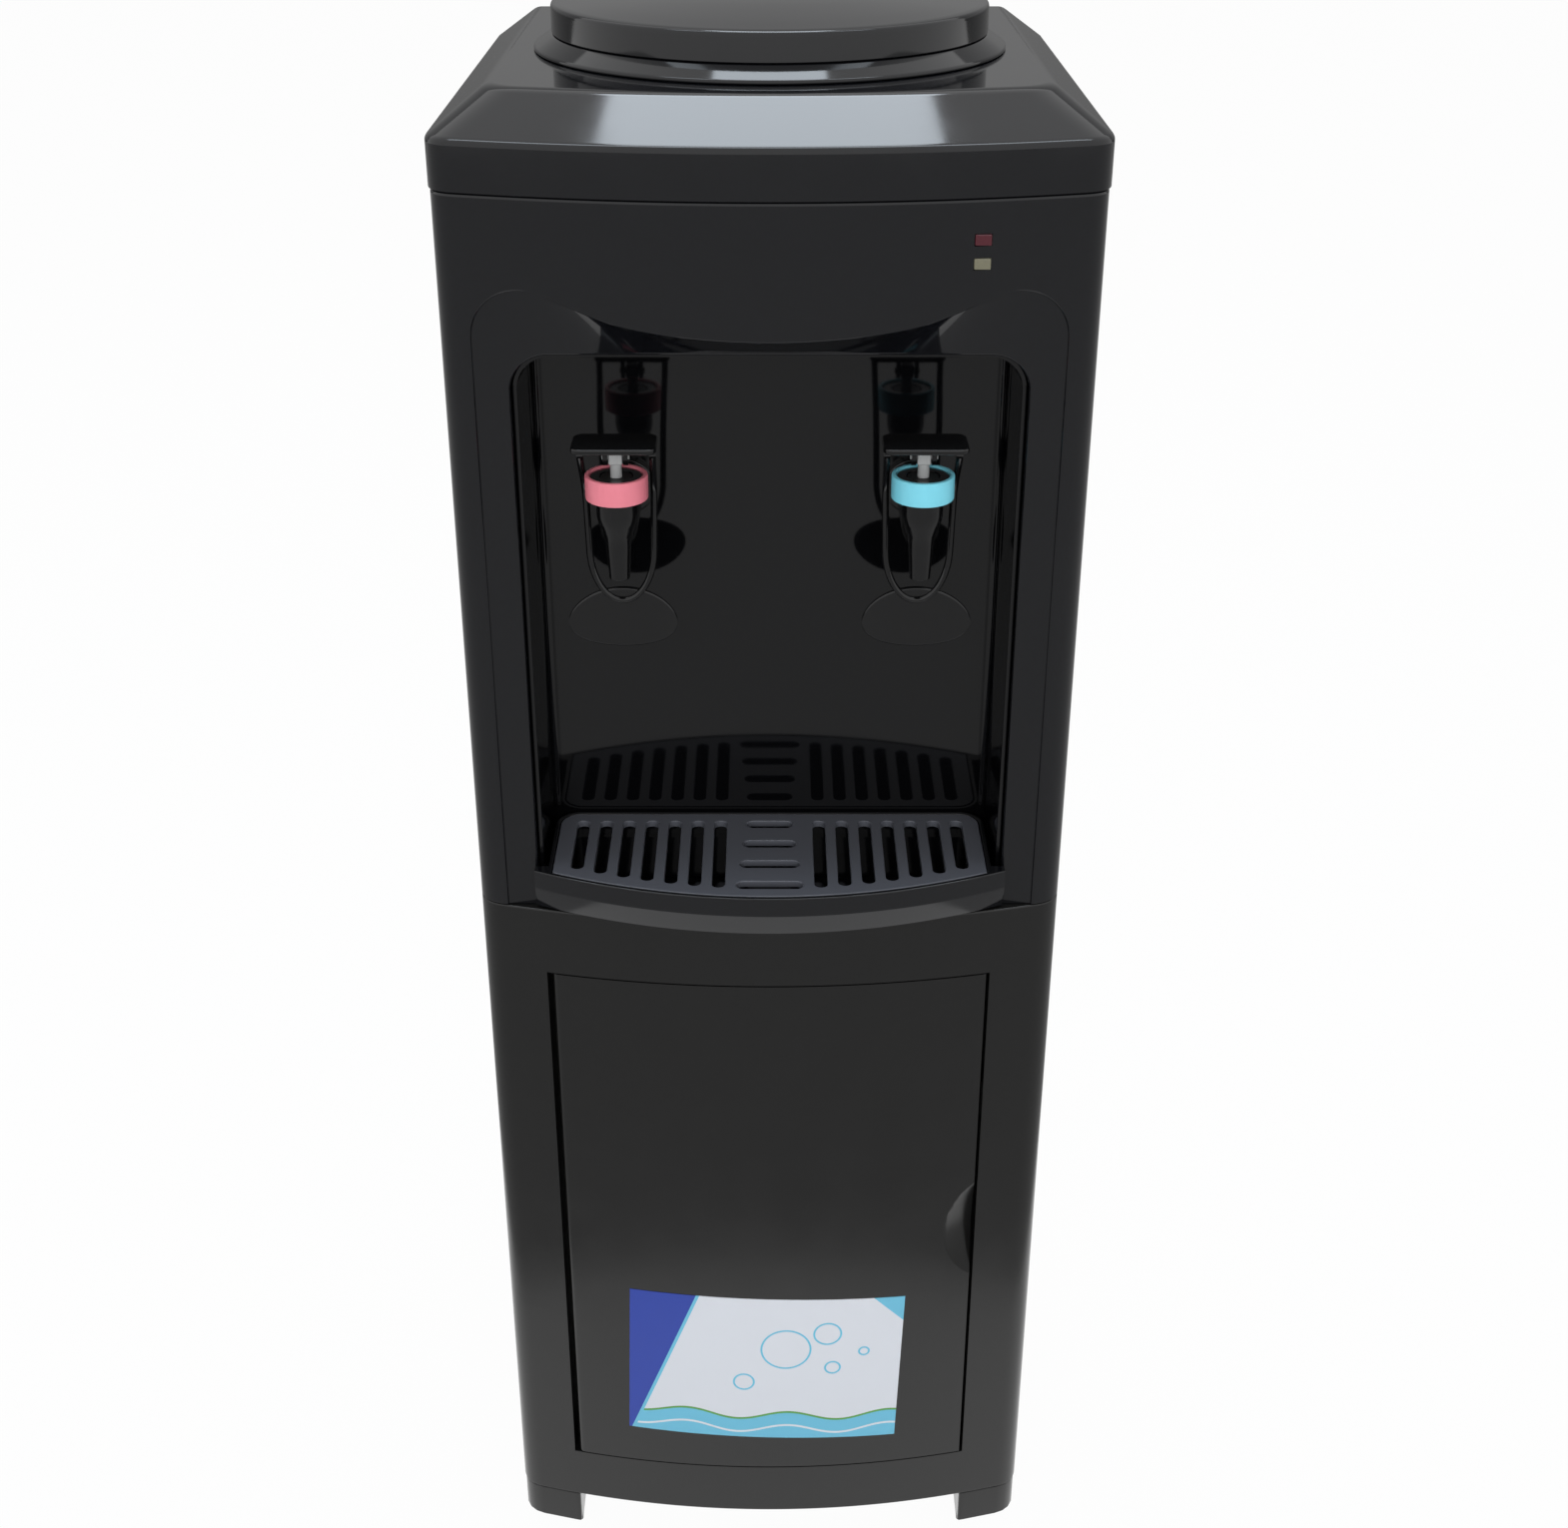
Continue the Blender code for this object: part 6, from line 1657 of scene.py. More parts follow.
    def paddle_plate(self) -> Piece:
        """The oval paddle, bent to take a cup, as sections with round rims that are bridged across it.

        Returns:
            The closed piece.
        """
        wide, tall, thick = self.paddle
        rim = thick / 2
        middle = PLAN.tap_y + self.loop_setback + rim
        height = self.pivot - self.paddle_drop
        loops = []
        for step in range(self.paddle_steps + 1):
            turn = math.radians(self.paddle_reach * (2 * step / self.paddle_steps - 1))
            share = math.sin(turn)
            rise = max(tall / 2 * math.cos(turn), thick * self.paddle_least) - rim
            y = middle - self.paddle_curve * share**2
            section = arc(y, height + rise, rim, 0, 180, self.rim_steps)
            section += arc(y, height - rise, rim, 180, 360, self.rim_steps)
            loops.append(placed(section, self.x + wide / 2 * share, Way.X))
        return lofted("lever_paddle", loops)

    def lever(self) -> Piece:
        """The cup lever: thumb plate with two ears, loop and paddle.

        Returns:
            The dressed lever.
        """
        low = self.pivot + self.plate_lift
        wide, thick = self.plate
        near = (self.x - wide / 2, PLAN.tap_y - self.plate_front)
        far = (self.x + wide / 2, PLAN.tap_y + self.plate_rear)
        outline = round_box(near, far, self.plate_corner, 8)
        plate = prism(self.name("cup_lever"), outline, low, low + thick)
        lever = softened(plate, self.soft_edge, 4, None, 60)
        ears = []
        for side in (-1, 1):
            start = side * (self.head[0] / 2 + self.ear_play)
            end = start + side * self.ear_thickness
            ear = arc(PLAN.tap_y, self.pivot, self.ear_radius, 180, 360, 16)
            root = low + thick / 2
            ear += [(PLAN.tap_y + self.ear_radius, root), (PLAN.tap_y - self.ear_radius, root)]
            ears.append(prism("lever_ear", ear, self.x + min(start, end), self.x + max(start, end), Way.X))
        fused(lever, self.loop(), self.paddle_plate(), *ears)
        radius = self.trunnion_radius + self.ear_play
        reach = 2 * OVERRUN
        carved(lever, rod("ear_hole", radius, -reach, reach, self.on_axis(self.pivot), Way.X, 24))
        return dressed(lever, TAP_MOULDING, f"{self.water.value}_lever", self.name("lever"), degrees=40)

    def spring(self) -> Piece:
        """The coil spring, which the rising foot of the stem presses against the sealing disc.

        Returns:
            The dressed spring, on a mesh of its own.
        """
        node = self.name("spring")
        spring = dressed(welded(node, self.name("coil")), STAINLESS_STEEL, "housing", node, degrees=60)
        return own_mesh(spring)

    def build(self) -> list[Piece]:
        """The tap's four shown pieces, and the spring inside."""
        return [self.barrel(), self.ring(), self.stem(), self.lever(), self.spring()]


@dataclass
class DripTray(Assembly):
    """The drip tray with its undercut band, and the grille on its ledge."""

    half: float = 0.123
    height: float = 0.0237
    proud: float = 0.0153
    sweep: float = 0.0285
    undercut: float = 0.0045
    band: float = 0.0133
    wing: float = 0.0055
    side: float = 0.1162
    corner: float = 0.0135
    rear: float = -0.0805
    wall: float = 0.0025
    floor: float = 0.0025
    ledge: float = 0.003
    rim_edge: float = 0.0007
    grille_thickness: float = 0.0035
    grille_play: float = 0.0004
    slot_width: float = 0.0068
    slot_pitch: float = 0.0124
    slot_first: float = 0.0265
    slot_margin: float = 0.0075
    slots_per_side: int = 7
    bar_slots: int = 4
    bar_slot_width: float = 0.0074
    bar_slot_half: float = 0.0125
    bar_slot_growth: float = 0.0016
    steps: int = 64
    overlap: float = 0.002
    band_edge: float = 0.0005
    band_rear: float = -0.14
    slot_edge: float = 0.0006

    @property
    def low(self) -> float:
        """Height of the tray's underside."""
        return PLAN.seam + PLAN.gap

    def front(self, x: float, inset: float) -> float:
        """The y of the tray's bowed front at x."""
        return PLAN.front - PLAN.bow_depth - self.proud + inset + self.sweep * (x / self.half) ** 2

    def outline(self, inset: float, wing: bool = True) -> Outline:
        """Plan outline of the tray.

        Args:
            inset: How far it is moved in.
            wing: Whether the front has the short wings that lie before the opening's sides.

        Returns:
            The outline.
        """
        half = self.half - inset
        side = self.side - inset
        radius = self.corner - inset
        rear = self.rear - inset
        reach = half if wing else side
        xs = [reach * (2 * step / self.steps - 1) for step in range(self.steps + 1)]
        outline = [(x, self.front(x, inset)) for x in xs]
        step_y = self.front(self.half, 0) + self.wing
        if wing:
            outline += [(half, step_y - inset), (side, step_y - inset)]
        corner = arc(side - radius, rear - radius, radius, 0, 90, 12)
        outline += corner + [(-x, y) for x, y in reversed(corner)]
        if wing:
            outline += [(-side, step_y - inset), (-half, step_y - inset)]
        return outline

    def level(self, pulled: float, height: float) -> Loop:
        """One level of the tray's outside, its front edge pulled back."""
        limit = self.front(self.half, 0) + self.wing / 2
        return [Vector((x, y + (pulled if y < limit else 0.0), height)) for x, y in self.outline(0.0)]

    def tray(self) -> Piece:
        """The tray with its basin and the ledge for the grille.

        Returns:
            The dressed tray.
        """
        low = self.low
        top = low + self.height
        levels = [self.level(self.undercut, low), self.level(0.0, low + self.band), self.level(0.0, top)]
        tray = lofted("drip_tray_moulding", levels)
        seat = top - self.grille_thickness - PLAN.gap
        brim = low + self.band
        inset = self.wall + self.ledge
        for name, inward, floor, ceiling in (
            ("tray_upper", self.wall, seat, top + OVERRUN),
            ("tray_middle", inset, brim, seat + self.overlap),
            ("tray_lower", inset + self.undercut, low + self.floor, brim + self.overlap),
        ):
            carved(tray, prism(name, self.outline(inward, False), floor, ceiling))
        softened(tray, self.rim_edge, 3, lambda spot: spot.z > top - FINE, 50)
        edge = self.band_edge
        softened(tray, edge, 2, lambda spot: spot.y < self.band_rear and spot.z < brim + FINE, 12)
        return dressed(tray, GLOSS_MOULDING, "tray", "drip_tray", degrees=30)

    def slots(self) -> list[Piece]:
        """Cutters for the fore-and-aft slots either side, and for the cross slots between them.

        Returns:
            The cutters.
        """
        top = self.low + self.height
        low = top - self.grille_thickness - OVERRUN / 2
        high = top + OVERRUN / 2
        inset = self.wall + self.grille_play
        rear = self.rear - inset - self.slot_margin
        half = self.slot_width / 2
        cutters = []
        for side in (-1, 1):
            for place in range(self.slots_per_side):
                x = side * (self.slot_first + self.slot_pitch * place)
                front = self.front(abs(x) + half, inset) + self.slot_margin
                outline = round_box((x - half, front), (x + half, rear), half, 6)
                cutters.append(prism("grille_slot", outline, low, high))
        front = self.front(self.bar_slot_half, inset) + self.slot_margin
        pitch = (rear - front - self.bar_slot_width) / (self.bar_slots - 1)
        half = self.bar_slot_width / 2
        for place in range(self.bar_slots):
            y = rear - half - pitch * place
            reach = self.bar_slot_half + self.bar_slot_growth * place
            outline = round_box((-reach, y - half), (reach, y + half), half, 6)
            cutters.append(prism("grille_slot", outline, low, high))
        return cutters

    def grille(self) -> Piece:
        """The grille, with softened slots.

        Returns:
            The dressed grille.
        """
        top = self.low + self.height
        outline = self.outline(self.wall + self.grille_play, False)
        grille = prism("drip_grille_moulding", outline, top - self.grille_thickness, top)
        carved(grille, gathered(*self.slots()))
        softened(grille, self.slot_edge, 3, lambda spot: spot.z > top - FINE, 60)
        return dressed(grille, GRILLE_MOULDING, "grille", "drip_grille", degrees=40)

    def build(self) -> list[Piece]:
        """The tray and its grille."""
        return [self.tray(), self.grille()]


@dataclass
class Cupboard(Assembly):
    """The lower front with its doorway, the door with finger scoop and label, and the liner behind."""

    door_half: float = 0.117
    door_bottom: float = 0.067
    door_top: float = 0.415
    door_gap: float = 0.0007
    hinge_gap: float = 0.0022
    door_depth: float = 0.011
    door_wall: float = 0.0025
    nose: float = 0.005
    return_depth: float = 0.012
    scoop_radius: float = 0.0297
    scoop_depth: float = 0.0045
    scoop_outset: float = 0.0402
    scoop_height: float = 0.241
    latch_play: float = 0.0010
    strike_drop: float = 0.090
    strike_size: float = 0.018
    ledge_edge: float = 0.0011
    doorway_edge: float = 0.0009
    skin: float = 0.0006
    strike_inset: float = 0.0013
    strike_depth: float = 0.03
    pin_hole: float = 0.0029
    pin_seat: float = 0.0027
    pin_depth: float = 0.006
    pocket_steps: int = 28
    label_size: tuple[float, float] = (0.1600, 0.1080)
    label_thickness: float = 0.0002
    label_lift: float = 0.00012
    liner_edge: float = 0.0006

    def pin(self) -> Vector:
        """Where the door's pins stand."""
        x = self.nose - self.door_half
        return Vector((x, PLAN.bow(x) + self.nose * math.hypot(1, PLAN.slope(x)), 0))

    def drill(self, name: str, radius: float, height: float) -> Piece:
        """A cutter for a seat of the door's pin, round a height."""
        centre = self.pin() + Vector((0, 0, height))
        return rod(name, radius, -self.pin_depth, self.pin_depth, centre, Way.Z, 24)

    def lower_front(self) -> Piece:
        """The bowed moulding round the doorway, with a shelf on top and returns behind.

        Returns:
            The dressed moulding.
        """
        bottom = PLAN.foot + PLAN.gap
        wall = PLAN.wall
        outer = PLAN.outline(PLAN.half, 0.0, PLAN.corner, PLAN.wrap)
        shell = prism("lower_front_moulding", outer, bottom, PLAN.seam)
        softened(shell, self.ledge_edge, 4, lambda spot: spot.y < PLAN.wrap - CLOSE, 60)
        inner = PLAN.outline(PLAN.half - wall, wall, PLAN.corner - wall, PLAN.wrap + OVERRUN)
        hollow = prism("lower_hollow", inner, bottom - OVERRUN, PLAN.seam - wall)
        left = -self.door_half - self.hinge_gap
        right = self.door_half + self.door_gap
        low = self.door_bottom - self.door_gap
        high = self.door_top + self.door_gap
        far = PLAN.front - 4 * OVERRUN
        return_y = PLAN.front + self.return_depth
        keep = block("lower_keep", (left - wall, far, low - wall), (right + wall, return_y, high + wall))
        doorway = block("doorway", (left, far, low), (right, PLAN.wrap + OVERRUN, high))
        carved(shell, carved(hollow, keep), doorway)
        softened(shell, self.doorway_edge, 3, self.on_doorway, 60)
        for level in (low, high):
            carved(shell, self.drill("pin_hole", self.pin_hole, level))
        return dressed(shell, SATIN_MOULDING, "housing", "lower_front", degrees=28)

    def on_doorway(self, spot: Vector) -> bool:
        """Whether a point lies on the front edge of the doorway.

        Args:
            spot: The point.

        Returns:
            Whether it does.
        """
        if abs(spot.y - PLAN.bow(spot.x)) > self.skin:
            return False
        left = -self.door_half - self.hinge_gap - CLOSE / 2
        right = self.door_half + self.door_gap + CLOSE / 2
        return left < spot.x < right and self.door_bottom - 2 * CLOSE < spot.z < self.door_top + 2 * CLOSE

    def scoop(self, name: str, grow: float, segments: int) -> Piece:
        """The sphere that the finger scoop is cut with.

        Args:
            name: Name of the piece.
            grow: How far the sphere is grown all round.
            segments: Number of segments round it.

        Returns:
            The closed sphere.
        """
        radius = (self.scoop_radius**2 + self.scoop_depth**2) / (2 * self.scoop_depth)
        x = self.door_half + self.scoop_outset
        centre = Vector((x, PLAN.bow(x, self.scoop_depth) - radius, self.scoop_height))
        piece = new_piece(name)
        with editing(piece):
            bpy.ops.mesh.primitive_uv_sphere_add(
                segments=segments, ring_count=segments // 2, radius=radius + grow, location=centre
            )
            weld_all()
        return piece

    def strike(self) -> tuple[float, float, float]:
        """The middle of the strike plate's front face.

        Returns:
            Its place across, its depth and its height.
        """
        x = self.door_half - self.door_wall - self.strike_size / 2
        y = PLAN.bow(self.door_half, self.door_depth) - self.strike_inset
        return x, y, self.door_top - self.strike_drop

    def pocket(self, behind: float) -> Piece:
        """The hollow behind the door's skin, less the walls of the scoop and the pad of the strike plate.

        Args:
            behind: The y that it reaches back to.

        Returns:
            The cutter.
        """
        left = self.pin().x + self.nose + self.door_wall
        right = self.door_half - self.door_wall
        skin = PLAN.front_line(left, right, self.door_wall, self.pocket_steps)
        outline = [(left, behind), *skin, (right, behind)]
        floor = self.door_bottom + self.door_wall
        pocket = prism("door_pocket", outline, floor, self.door_top - self.door_wall)
        x, y, z = self.strike()
        reach = self.strike_size / 2
        low = (x - reach, y - self.strike_depth, z - reach)
        high = (right + self.door_wall, behind + OVERRUN, z + reach)
        return carved(pocket, self.scoop("scoop_keep", self.door_wall, 48), block("strike_pad", low, high))

    def door(self) -> Piece:
        """The door, moulded as a shallow tray, with its finger scoop and strike pad.

        Returns:
            The dressed door.
        """
        pin = self.pin()
        end = self.door_half - self.latch_play
        outline = PLAN.front_line(pin.x, end, 0.0, PLAN.bow_steps)
        outline += reversed(PLAN.front_line(pin.x, end, self.door_depth, PLAN.bow_steps))
        lean = math.degrees(math.atan(PLAN.slope(pin.x)))
        outline += arc(pin.x, pin.y, self.nose, 90, 270 + lean, 16)[:-1]
        door = prism("cupboard_door_moulding", outline, self.door_bottom, self.door_top)
        behind = PLAN.front + self.door_depth + OVERRUN
        x, y, z = self.strike()
        reach = self.strike_size / 2
        low = (x - reach - PLAN.gap, y, z - reach - PLAN.gap)
        high = (x + reach + PLAN.gap, behind, z + reach + PLAN.gap)
        carved(door, self.pocket(behind), block("strike_seat", low, high))
        softened(door, self.doorway_edge, 3, self.on_door_edge, 60)
        carved(door, self.scoop("scoop", 0.0, 192))
        for level in (self.door_bottom, self.door_top):
            carved(door, self.drill("pin_seat", self.pin_seat, level))
        return dressed(door, SATIN_MOULDING, "door", "cupboard_door", degrees=28)

    def on_door_edge(self, spot: Vector) -> bool:
        """Whether a point lies on the edge of the door's skin."""
        return abs(spot.y - PLAN.bow(spot.x)) < self.skin

    def label(self, door: Piece) -> Piece:
        """The label: a fine grid laid on the door's skin and given its thickness.

        Args:
            door: The door that it is laid on.

        Returns:
            The label.
        """
        wide, tall = self.label_size
        label = new_piece("door_label")
        spot = (LABEL.middle[0], PLAN.bow(0) - OVERRUN, LABEL.middle[2])
        with editing(label):
            bpy.ops.mesh.primitive_grid_add(
                x_subdivisions=64, y_subdivisions=12, size=1, location=spot, rotation=(math.pi / 2, 0, 0)
            )
            bpy.ops.transform.resize(value=(wide, 1, tall), center_override=spot)
            turn = -math.radians(LABEL.tilt)
            bpy.ops.transform.rotate(value=turn, orient_axis="Y", center_override=spot)
        choose(label)
        wrap = label.modifiers.new("lay", "SHRINKWRAP")
        wrap.target = door
        wrap.wrap_method = "PROJECT"
        wrap.use_project_y = True
        wrap.use_positive_direction = True
        wrap.use_negative_direction = False
        wrap.offset = 0.0
        bpy.ops.object.modifier_apply(modifier=wrap.name)
        thick = label.modifiers.new("paper", "SOLIDIFY")
        thick.thickness = self.label_thickness
        thick.offset = 0.0
        bpy.ops.object.modifier_apply(modifier=thick.name)
        with editing(label):
            weld_all()
            bpy.ops.transform.translate(value=(0, -self.label_lift, 0))
        return dressed(label, LABEL, "door", degrees=40)

    def liner(self) -> Piece:
        """The open box behind the door."""
        liner = softened(welded("cupboard_liner", "cupboard_liner_box"), self.liner_edge, 2, None, 60)
        return dressed(liner, DARK_LINER, "housing", "cupboard_liner")

    def build(self) -> list[Piece]:
        """The lower front, the door with its label, and the liner."""
        door = self.door()
        return [self.lower_front(), door, self.label(door), self.liner()]


@dataclass
class Cabinet(Assembly):
    """The base with its feet, the steel sides and back, and the back's screws."""

    edge: float = 0.0005
    foot_edge: float = 0.0012
    screw_x: float = 0.1464
    screw_heights: tuple[float, float] = (0.110, 0.760)
    back_y: float = 0.1587
    head_radius: float = 0.0038
    head_height: float = 0.0020
    shank: float = 0.0019
    length: float = 0.008
    cross_share: float = 0.55
    cross_half: float = 0.0004
    cross_depth: float = 0.001

    def screw(self, node: str, side: int, height: float) -> Piece:
        """A pan-head screw with a cross recess, at its place.

        Args:
            node: The node that it stands for.
            side: -1 for the left one, 1 for the right one.
            height: Its height.

        Returns:
            The screw.
        """
        centre = Vector((side * self.screw_x, self.back_y, height))
        profile = [
            (0, -self.length),
            (self.shank, self.shank - self.length),
            (self.shank, 0),
            (self.head_radius, 0),
            (self.head_radius, self.head_height),
            (0, self.head_height),
        ]
        screw = turned(f"{node}_screw", eased(profile, {4: 0.0016}, 5), centre, Way.Y, 40)
        arm = self.head_radius * self.cross_share
        slot = self.cross_half
        for reach_x, reach_z in ((arm, slot), (slot, arm)):
            low = centre + Vector((-reach_x, self.head_height - self.cross_depth, -reach_z))
            high = centre + Vector((reach_x, self.head_height + CLOSE, reach_z))
            carved(screw, block("cross", low, high))
        return dressed(screw, ZINC_PLATE, "housing", node)

    def panels(self) -> list[Piece]:
        """The base, the sides and the back, with broken edges.

        Returns:
            The four dressed panels.
        """
        made = []
        for node, finish, edge in (
            ("base", SATIN_MOULDING, self.foot_edge),
            ("left_side_panel", PAINTED_STEEL, self.edge),
            ("right_side_panel", PAINTED_STEEL, self.edge),
            ("back_panel", PAINTED_STEEL, self.edge / 2),
        ):
            panel = softened(welded(node, f"{node}_sheet"), edge, 2, None, 60)
            made.append(dressed(panel, finish, "housing", node))
        return made

    def build(self) -> list[Piece]:
        """The panels and the four screws.

        Returns:
            The eight pieces.
        """
        made = self.panels()
        for word, side in (("left", -1), ("right", 1)):
            for level, height in zip(("lower", "upper"), self.screw_heights):
                made.append(self.screw(f"back_screw_{level}_{word}", side, height))
        return made


@dataclass
class RearFittings(Assembly):
    """What the back panel carries: the heater switch, the lead's gland, and the drain with its cap."""

    inset_x: float = -0.100
    back_y: float = 0.1584
    sheet: float = 0.0012
    gland_height: float = 0.500
    gland_bore: float = 0.004
    gland_radius: float = 0.008
    gland_flange: float = 0.011
    gland_length: float = 0.009
    flange_thickness: float = 0.0022
    drain_height: float = 0.462
    spout_bore: float = 0.005
    spout_radius: float = 0.008
    spout_flange: float = 0.013
    spout_flange_thickness: float = 0.003
    spout_reach: float = 0.010
    spout_tail: float = 0.014
    cap_wall: float = 0.0022
    cap_end: float = 0.0025
    cap_y: float = 0.173
    cap_ribs: int = 28
    groove_radius: float = 0.0007
    groove_out: float = 0.0004
    groove_end: float = 0.0015
    bezel_edge: float = 0.0006
    rocker_edge: float = 0.0005

    def switch(self) -> list[Piece]:
        """The switch's bezel and its rocker, with softened edges.

        Returns:
            The dressed bezel and rocker.
        """
        bezel = softened(welded("switch_bezel", "switch_bezel_frame"), self.bezel_edge, 3, None, 60)
        rocker = softened(welded("heater_rocker", "heater_rocker_key"), self.rocker_edge, 3, None, 30)
        return [
            dressed(bezel, SATIN_MOULDING, "housing", "switch_bezel"),
            dressed(rocker, SIGNAL_RED, "rocker", "heater_rocker"),
        ]

    def gland(self) -> Piece:
        """The rubber gland, tapered outside, with its open bore.

        Returns:
            The dressed gland.
        """
        inside = -self.sheet - PLAN.gap
        outside = PLAN.gap
        thick = self.flange_thickness
        profile = [
            (self.gland_bore, outside + self.gland_length),
            (self.gland_bore + self.sheet, outside + self.gland_length),
            (self.gland_radius, outside + thick),
            (self.gland_flange, outside + thick),
            (self.gland_flange, outside),
            (self.gland_radius, outside),
            (self.gland_radius, inside),
            (self.gland_flange, inside),
            (self.gland_flange, inside - thick),
            (self.gland_bore, inside - thick),
        ]
        centre = Vector((self.inset_x, self.back_y, self.gland_height))
        radii = {1: 0.0006, 2: 0.0012, 3: 0.0007}
        gland = turned("lead_gland", eased(profile, radii, 4), centre, Way.Y, 48)
        return dressed(gland, SOFT_RUBBER, "housing", "cord_gland")

    def spout(self) -> Piece:
        """The drain outlet through the back.

        Returns:
            The dressed spout.
        """
        outside = PLAN.gap
        profile = [
            (self.spout_bore, -self.sheet - self.spout_tail),
            (self.spout_radius, -self.sheet - self.spout_tail),
            (self.spout_radius, outside),
            (self.spout_flange, outside),
            (self.spout_flange, outside + self.spout_flange_thickness),
            (self.spout_radius, outside + self.spout_flange_thickness),
            (self.spout_radius, outside + self.spout_reach),
            (self.spout_bore, outside + self.spout_reach),
        ]
        centre = Vector((0, self.back_y, self.drain_height))
        spout = turned("drain_outlet", eased(profile, {4: 0.0008, 6: 0.0004}, 4), centre, Way.Y, 48)
        return dressed(spout, MILKY_PLASTIC, "housing", "drain_spout")

    def cap(self) -> Piece:
        """The screw cap, with grip grooves round its side.

        Returns:
            The dressed cap.
        """
        seat = self.back_y + PLAN.gap + self.spout_flange_thickness + PLAN.gap
        inner = self.spout_radius + PLAN.gap
        outer = inner + self.cap_wall
        centre = Vector((0, 0, self.drain_height))
        profile = [
            (0, self.cap_y - self.cap_end),
            (inner, self.cap_y - self.cap_end),
            (inner, seat),
            (outer, seat),
            (outer, self.cap_y),
            (0, self.cap_y),
        ]
        cap = turned("drain_screw_cap", eased(profile, {4: 0.0009}, 4), centre, Way.Y, 112)
        grooves = []
        for place in range(self.cap_ribs):
            angle = math.tau * place / self.cap_ribs
            spot = centre + Vector((math.cos(angle), 0, math.sin(angle))) * (outer + self.groove_out)
            end = self.cap_y - self.groove_end
            grooves.append(rod("grip_groove", self.groove_radius, seat - CLOSE, end, spot, Way.Y, 8))
        carved(cap, gathered(*grooves))
        return dressed(cap, SATIN_MOULDING, "drain_cap", "drain_cap")

    def build(self) -> list[Piece]:
        """The switch, the gland, the spout and the cap."""
        return [*self.switch(), self.gland(), self.spout(), self.cap()]


@dataclass
class InnerParts(Assembly):
    """The nodes of the frame that stay as they are, inside the housing, each with its finish."""

    def build(self) -> list[Piece]:
        """Give every node that is still shown the finish of its slot.

        Returns:
            The nodes.
        """
        by_slot = {
            finish.slot: finish
            for finish in (
                DARK_LINER,
                PAINTED_STEEL,
                ZINC_PLATE,
                STAINLESS_STEEL,
                MILKY_PLASTIC,
                CLEAR_SILICONE,
                SOFT_RUBBER,
                OPEN_FOAM,
                GLOSS_MOULDING,
            )
        }
        slots = {row["node"]: row["material_slot"] for row in frame["record"]["subparts"]}
        made = []
        for name, node in sorted(frame["nodes"].items()):
            if node.hide_render:
                continue
            node.data.materials.clear()
            node.data.materials.append(by_slot[slots[name]].material())
            made.append(node)
        return made


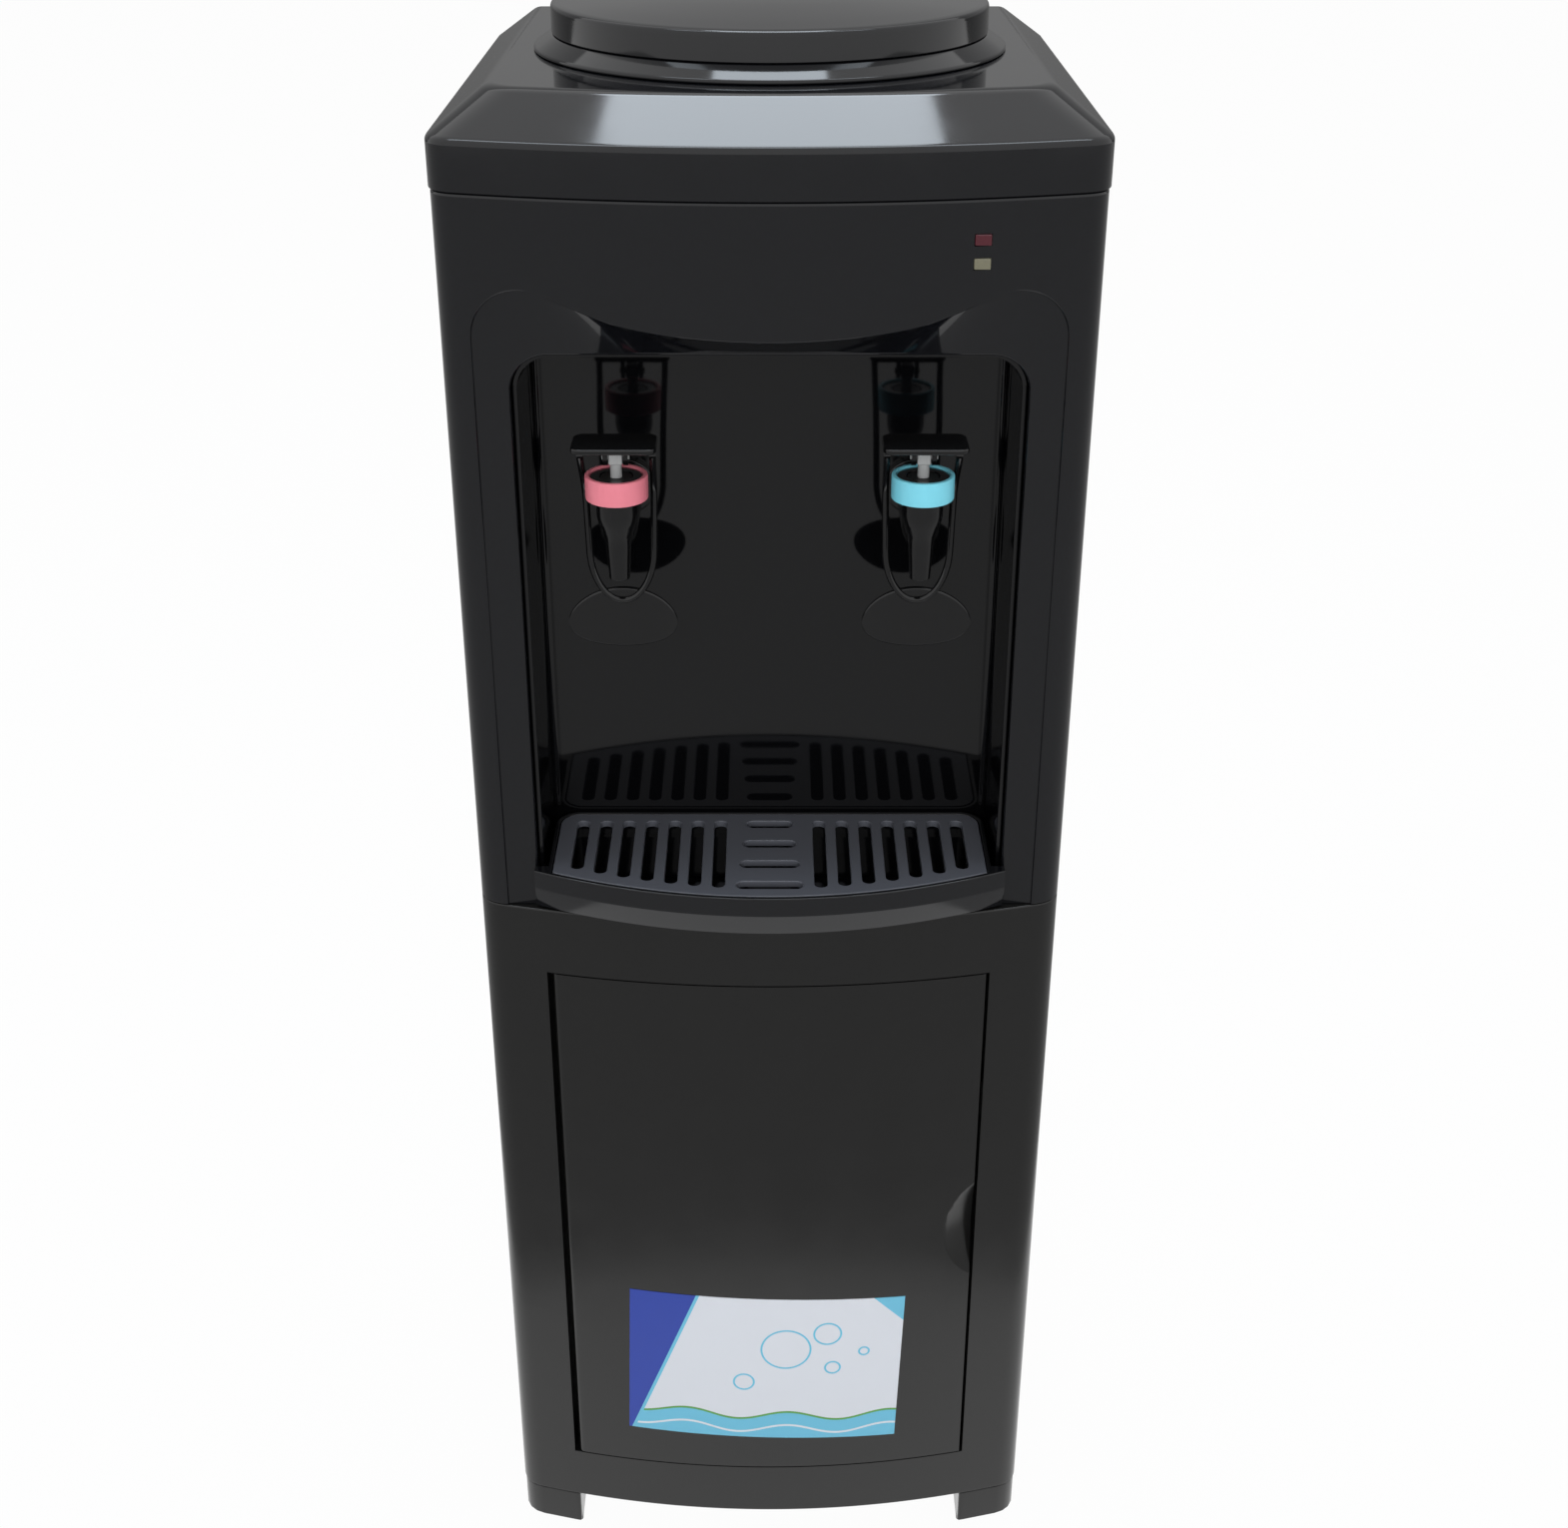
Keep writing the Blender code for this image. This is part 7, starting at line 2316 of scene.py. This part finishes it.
@dataclass
class Studio:
    """A plain pale floor and surroundings, two soft lights above, a fill in front, and the camera.

    A grey mat and a grey card stand round the dispenser too, which only gloss sees.
    """

    camera_place: tuple[float, float, float] = (0.0, -1.0823, 1.0322)
    camera_pitch: float = 27.6
    lens: float = 47.85
    shift: float = 0.0091
    sensor: float = 36.0
    clip_start: float = 0.05
    floor_size: float = 14.0
    floor_colour: float = 0.84
    floor_white: float = 0.97
    plain_light: float = 0.36
    top_tint: tuple[float, float, float] = (0.82, 0.91, 1.0)
    softbox_place: tuple[float, float, float] = (0.0, 0.75, 2.90)
    softbox_size: tuple[float, float] = (0.86, 1.20)
    softbox_power: float = 23.0
    strip_place: tuple[float, float, float] = (0.0, -0.20, 2.90)
    strip_size: tuple[float, float] = (2.60, 0.36)
    strip_power: float = 15.0
    fill_place: tuple[float, float, float] = (0.0, -3.2, 1.7)
    fill_aim: tuple[float, float, float] = (0.0, 0.0, 0.5)
    fill_size: tuple[float, float] = (2.6, 1.8)
    fill_power: float = 46.0
    mat_inner: float = 0.42
    mat_outer: float = 5.0
    mat_levels: tuple[float, float] = (0.0010, 0.0014)
    mat_tone: float = 0.42
    card_y: float = 3.4
    card_half: float = 6.0
    card_low: float = 0.002
    card_top: float = 3.6
    card_turn: tuple[float, float] = (0.6, 1.5)
    card_tones: tuple[float, float] = (0.16, 0.36)

    @staticmethod
    def shown_ray(desk: NodeDesk) -> Socket:
        """One for the rays that the camera, gloss and glass see, and nothing for the rest.

        Args:
            desk: The desk that takes the nodes.

        Returns:
            One or nothing.
        """
        rays = desk.add("ShaderNodeLightPath")
        some = desk.math("MAXIMUM", rays.outputs["Is Camera Ray"], rays.outputs["Is Glossy Ray"])
        return desk.math("MAXIMUM", some, rays.outputs["Is Transmission Ray"])

    def surroundings(self) -> None:
        """White where it is seen, and a plain level where it lights."""
        world = bpy.data.worlds.new("studio")
        bpy.context.scene.world = world
        world.use_nodes = True
        desk = NodeDesk(world.node_tree)
        plain = desk.add("ShaderNodeBackground")
        white = desk.add("ShaderNodeBackground")
        desk.write(plain, {"Color": WHITE, "Strength": self.plain_light})
        desk.write(white, {"Color": WHITE})
        desk.end("ShaderNodeOutputWorld", desk.mixed(self.shown_ray(desk), plain, white))

    def floor(self) -> Piece:
        """A pale floor that keeps the dispenser's shadow.

        Returns:
            The floor.
        """
        floor = new_piece("studio_floor")
        with editing(floor):
            bpy.ops.mesh.primitive_grid_add(x_subdivisions=4, y_subdivisions=4, size=self.floor_size)
        made, desk = new_material("pale_floor")
        paint = desk.add("ShaderNodeBsdfDiffuse")
        desk.write(paint, {"Color": (self.floor_colour,) * 3 + (1,)})
        white = desk.add("ShaderNodeEmission")
        share = desk.math("MULTIPLY", self.shown_ray(desk), self.floor_white)
        desk.end("ShaderNodeOutputMaterial", desk.mixed(share, paint, white))
        floor.data.materials.append(made)
        return floor

    def mat(self) -> Piece:
        """A grey mat round the dispenser, which only gloss sees, as a flag that keeps black plastic dark."""
        profile = band(self.mat_inner, self.mat_outer, *self.mat_levels)
        mat = turned("studio_mat", profile, Vector((0, 0, 0)), Way.Z, 64)
        return self.flag(mat, (self.mat_tone, self.mat_tone))

    def card(self) -> Piece:
        """A grey card behind the dispenser, darker below, which only gloss sees."""
        low = (-self.card_half, self.card_y, self.card_low)
        high = (self.card_half, self.card_y + OVERRUN, self.card_top)
        return self.flag(block("studio_card", low, high), self.card_tones)

    def flag(self, piece: Piece, tones: tuple[float, float]) -> Piece:
        """Give a piece one tone low down and another higher up, and hide it from all rays but gloss.

        Args:
            piece: The piece.
            tones: The lower and the higher tone.

        Returns:
            The piece.
        """
        made, desk = new_material(f"{piece.name}_tone")
        tone = desk.add("ShaderNodeEmission")
        desk.write(tone, {"Strength": desk.spread(desk.height(), self.card_turn, tones)})
        desk.end("ShaderNodeOutputMaterial", tone.outputs[0])
        piece.data.materials.append(made)
        piece.visible_camera = False
        piece.visible_diffuse = False
        piece.visible_transmission = False
        piece.visible_shadow = False
        return piece

    def lamp(
        self, name: str, spot: Sequence[float], aim: Sequence[float], size: Sequence[float], power: float
    ) -> Piece:
        """A soft rectangular lamp that the camera doesn't see.

        Args:
            name: Name of the lamp.
            spot: Where it stands.
            aim: The point that it faces.
            size: Its width and height.
            power: Its power in watts.

        Returns:
            The lamp.
        """
        bpy.ops.object.select_all(action="DESELECT")
        bpy.ops.object.light_add(type="AREA", location=spot)
        lamp = bpy.context.view_layer.objects.active
        lamp.name = name
        lamp.data.shape = "RECTANGLE"
        lamp.data.size, lamp.data.size_y = size
        lamp.data.energy = power
        lamp.rotation_euler = (Vector(aim) - Vector(spot)).to_track_quat("-Z", "Y").to_euler()
        lamp.visible_camera = False
        return lamp

    def overhead(self, name: str, spot: Sequence[float], size: Sequence[float], power: float) -> Piece:
        """A pale blue lamp that faces straight down.

        Args:
            name: Name of the lamp.
            spot: Where it stands.
            size: Its width and height.
            power: Its power in watts.

        Returns:
            The lamp.
        """
        lamp = self.lamp(name, spot, (spot[0], spot[1], 0.0), size, power)
        lamp.data.color = self.top_tint
        return lamp

    def camera(self) -> Piece:
        """The camera, at the photograph's place.

        Returns:
            The camera.
        """
        bpy.ops.object.select_all(action="DESELECT")
        turn = (math.radians(90 - self.camera_pitch), 0, 0)
        bpy.ops.object.camera_add(location=self.camera_place, rotation=turn)
        camera = bpy.context.view_layer.objects.active
        camera.name = "studio_camera"
        camera.data.sensor_width = self.sensor
        camera.data.lens = self.lens
        camera.data.shift_x = self.shift
        camera.data.clip_start = self.clip_start
        bpy.context.scene.camera = camera
        return camera

    def build(self) -> None:
        """Set up the whole studio."""
        self.surroundings()
        softbox = self.overhead("softbox", self.softbox_place, self.softbox_size, self.softbox_power)
        strip = self.overhead("strip_light", self.strip_place, self.strip_size, self.strip_power)
        fill = self.lamp("front_fill", self.fill_place, self.fill_aim, self.fill_size, self.fill_power)
        fill.visible_glossy = False
        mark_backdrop(self.floor(), self.mat(), self.card(), softbox, strip, fill)
        self.camera()
        bpy.context.scene.view_settings.view_transform = "Standard"


def corners(box: Sequence[Sequence[float]]) -> list[list[float]]:
    """A box as plain lists of numbers."""
    return [[float(value) for value in corner] for corner in box]


def main() -> None:
    """Build every sub-assembly and the studio."""
    logging.basicConfig(level=logging.INFO, format="%(message)s")
    before = corners(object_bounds())
    assemblies: list[Assembly] = [
        UpperFascia(),
        Recess(),
        TopCover(),
        BottleSeat(),
        Tap(Water.HOT, HOT_RED),
        Tap(Water.COLD, COLD_BLUE),
        DripTray(),
        Cupboard(),
        Cabinet(),
        RearFittings(),
        InnerParts(),
    ]
    for assembly in assemblies:
        for piece in assembly.build():
            LOG.info("%s: %s, %d faces", type(assembly).__name__, piece.name, len(piece.data.polygons))
    Studio().build()
    {"frame": before, "scene": corners(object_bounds())}


if __name__ == "__main__":
    main()
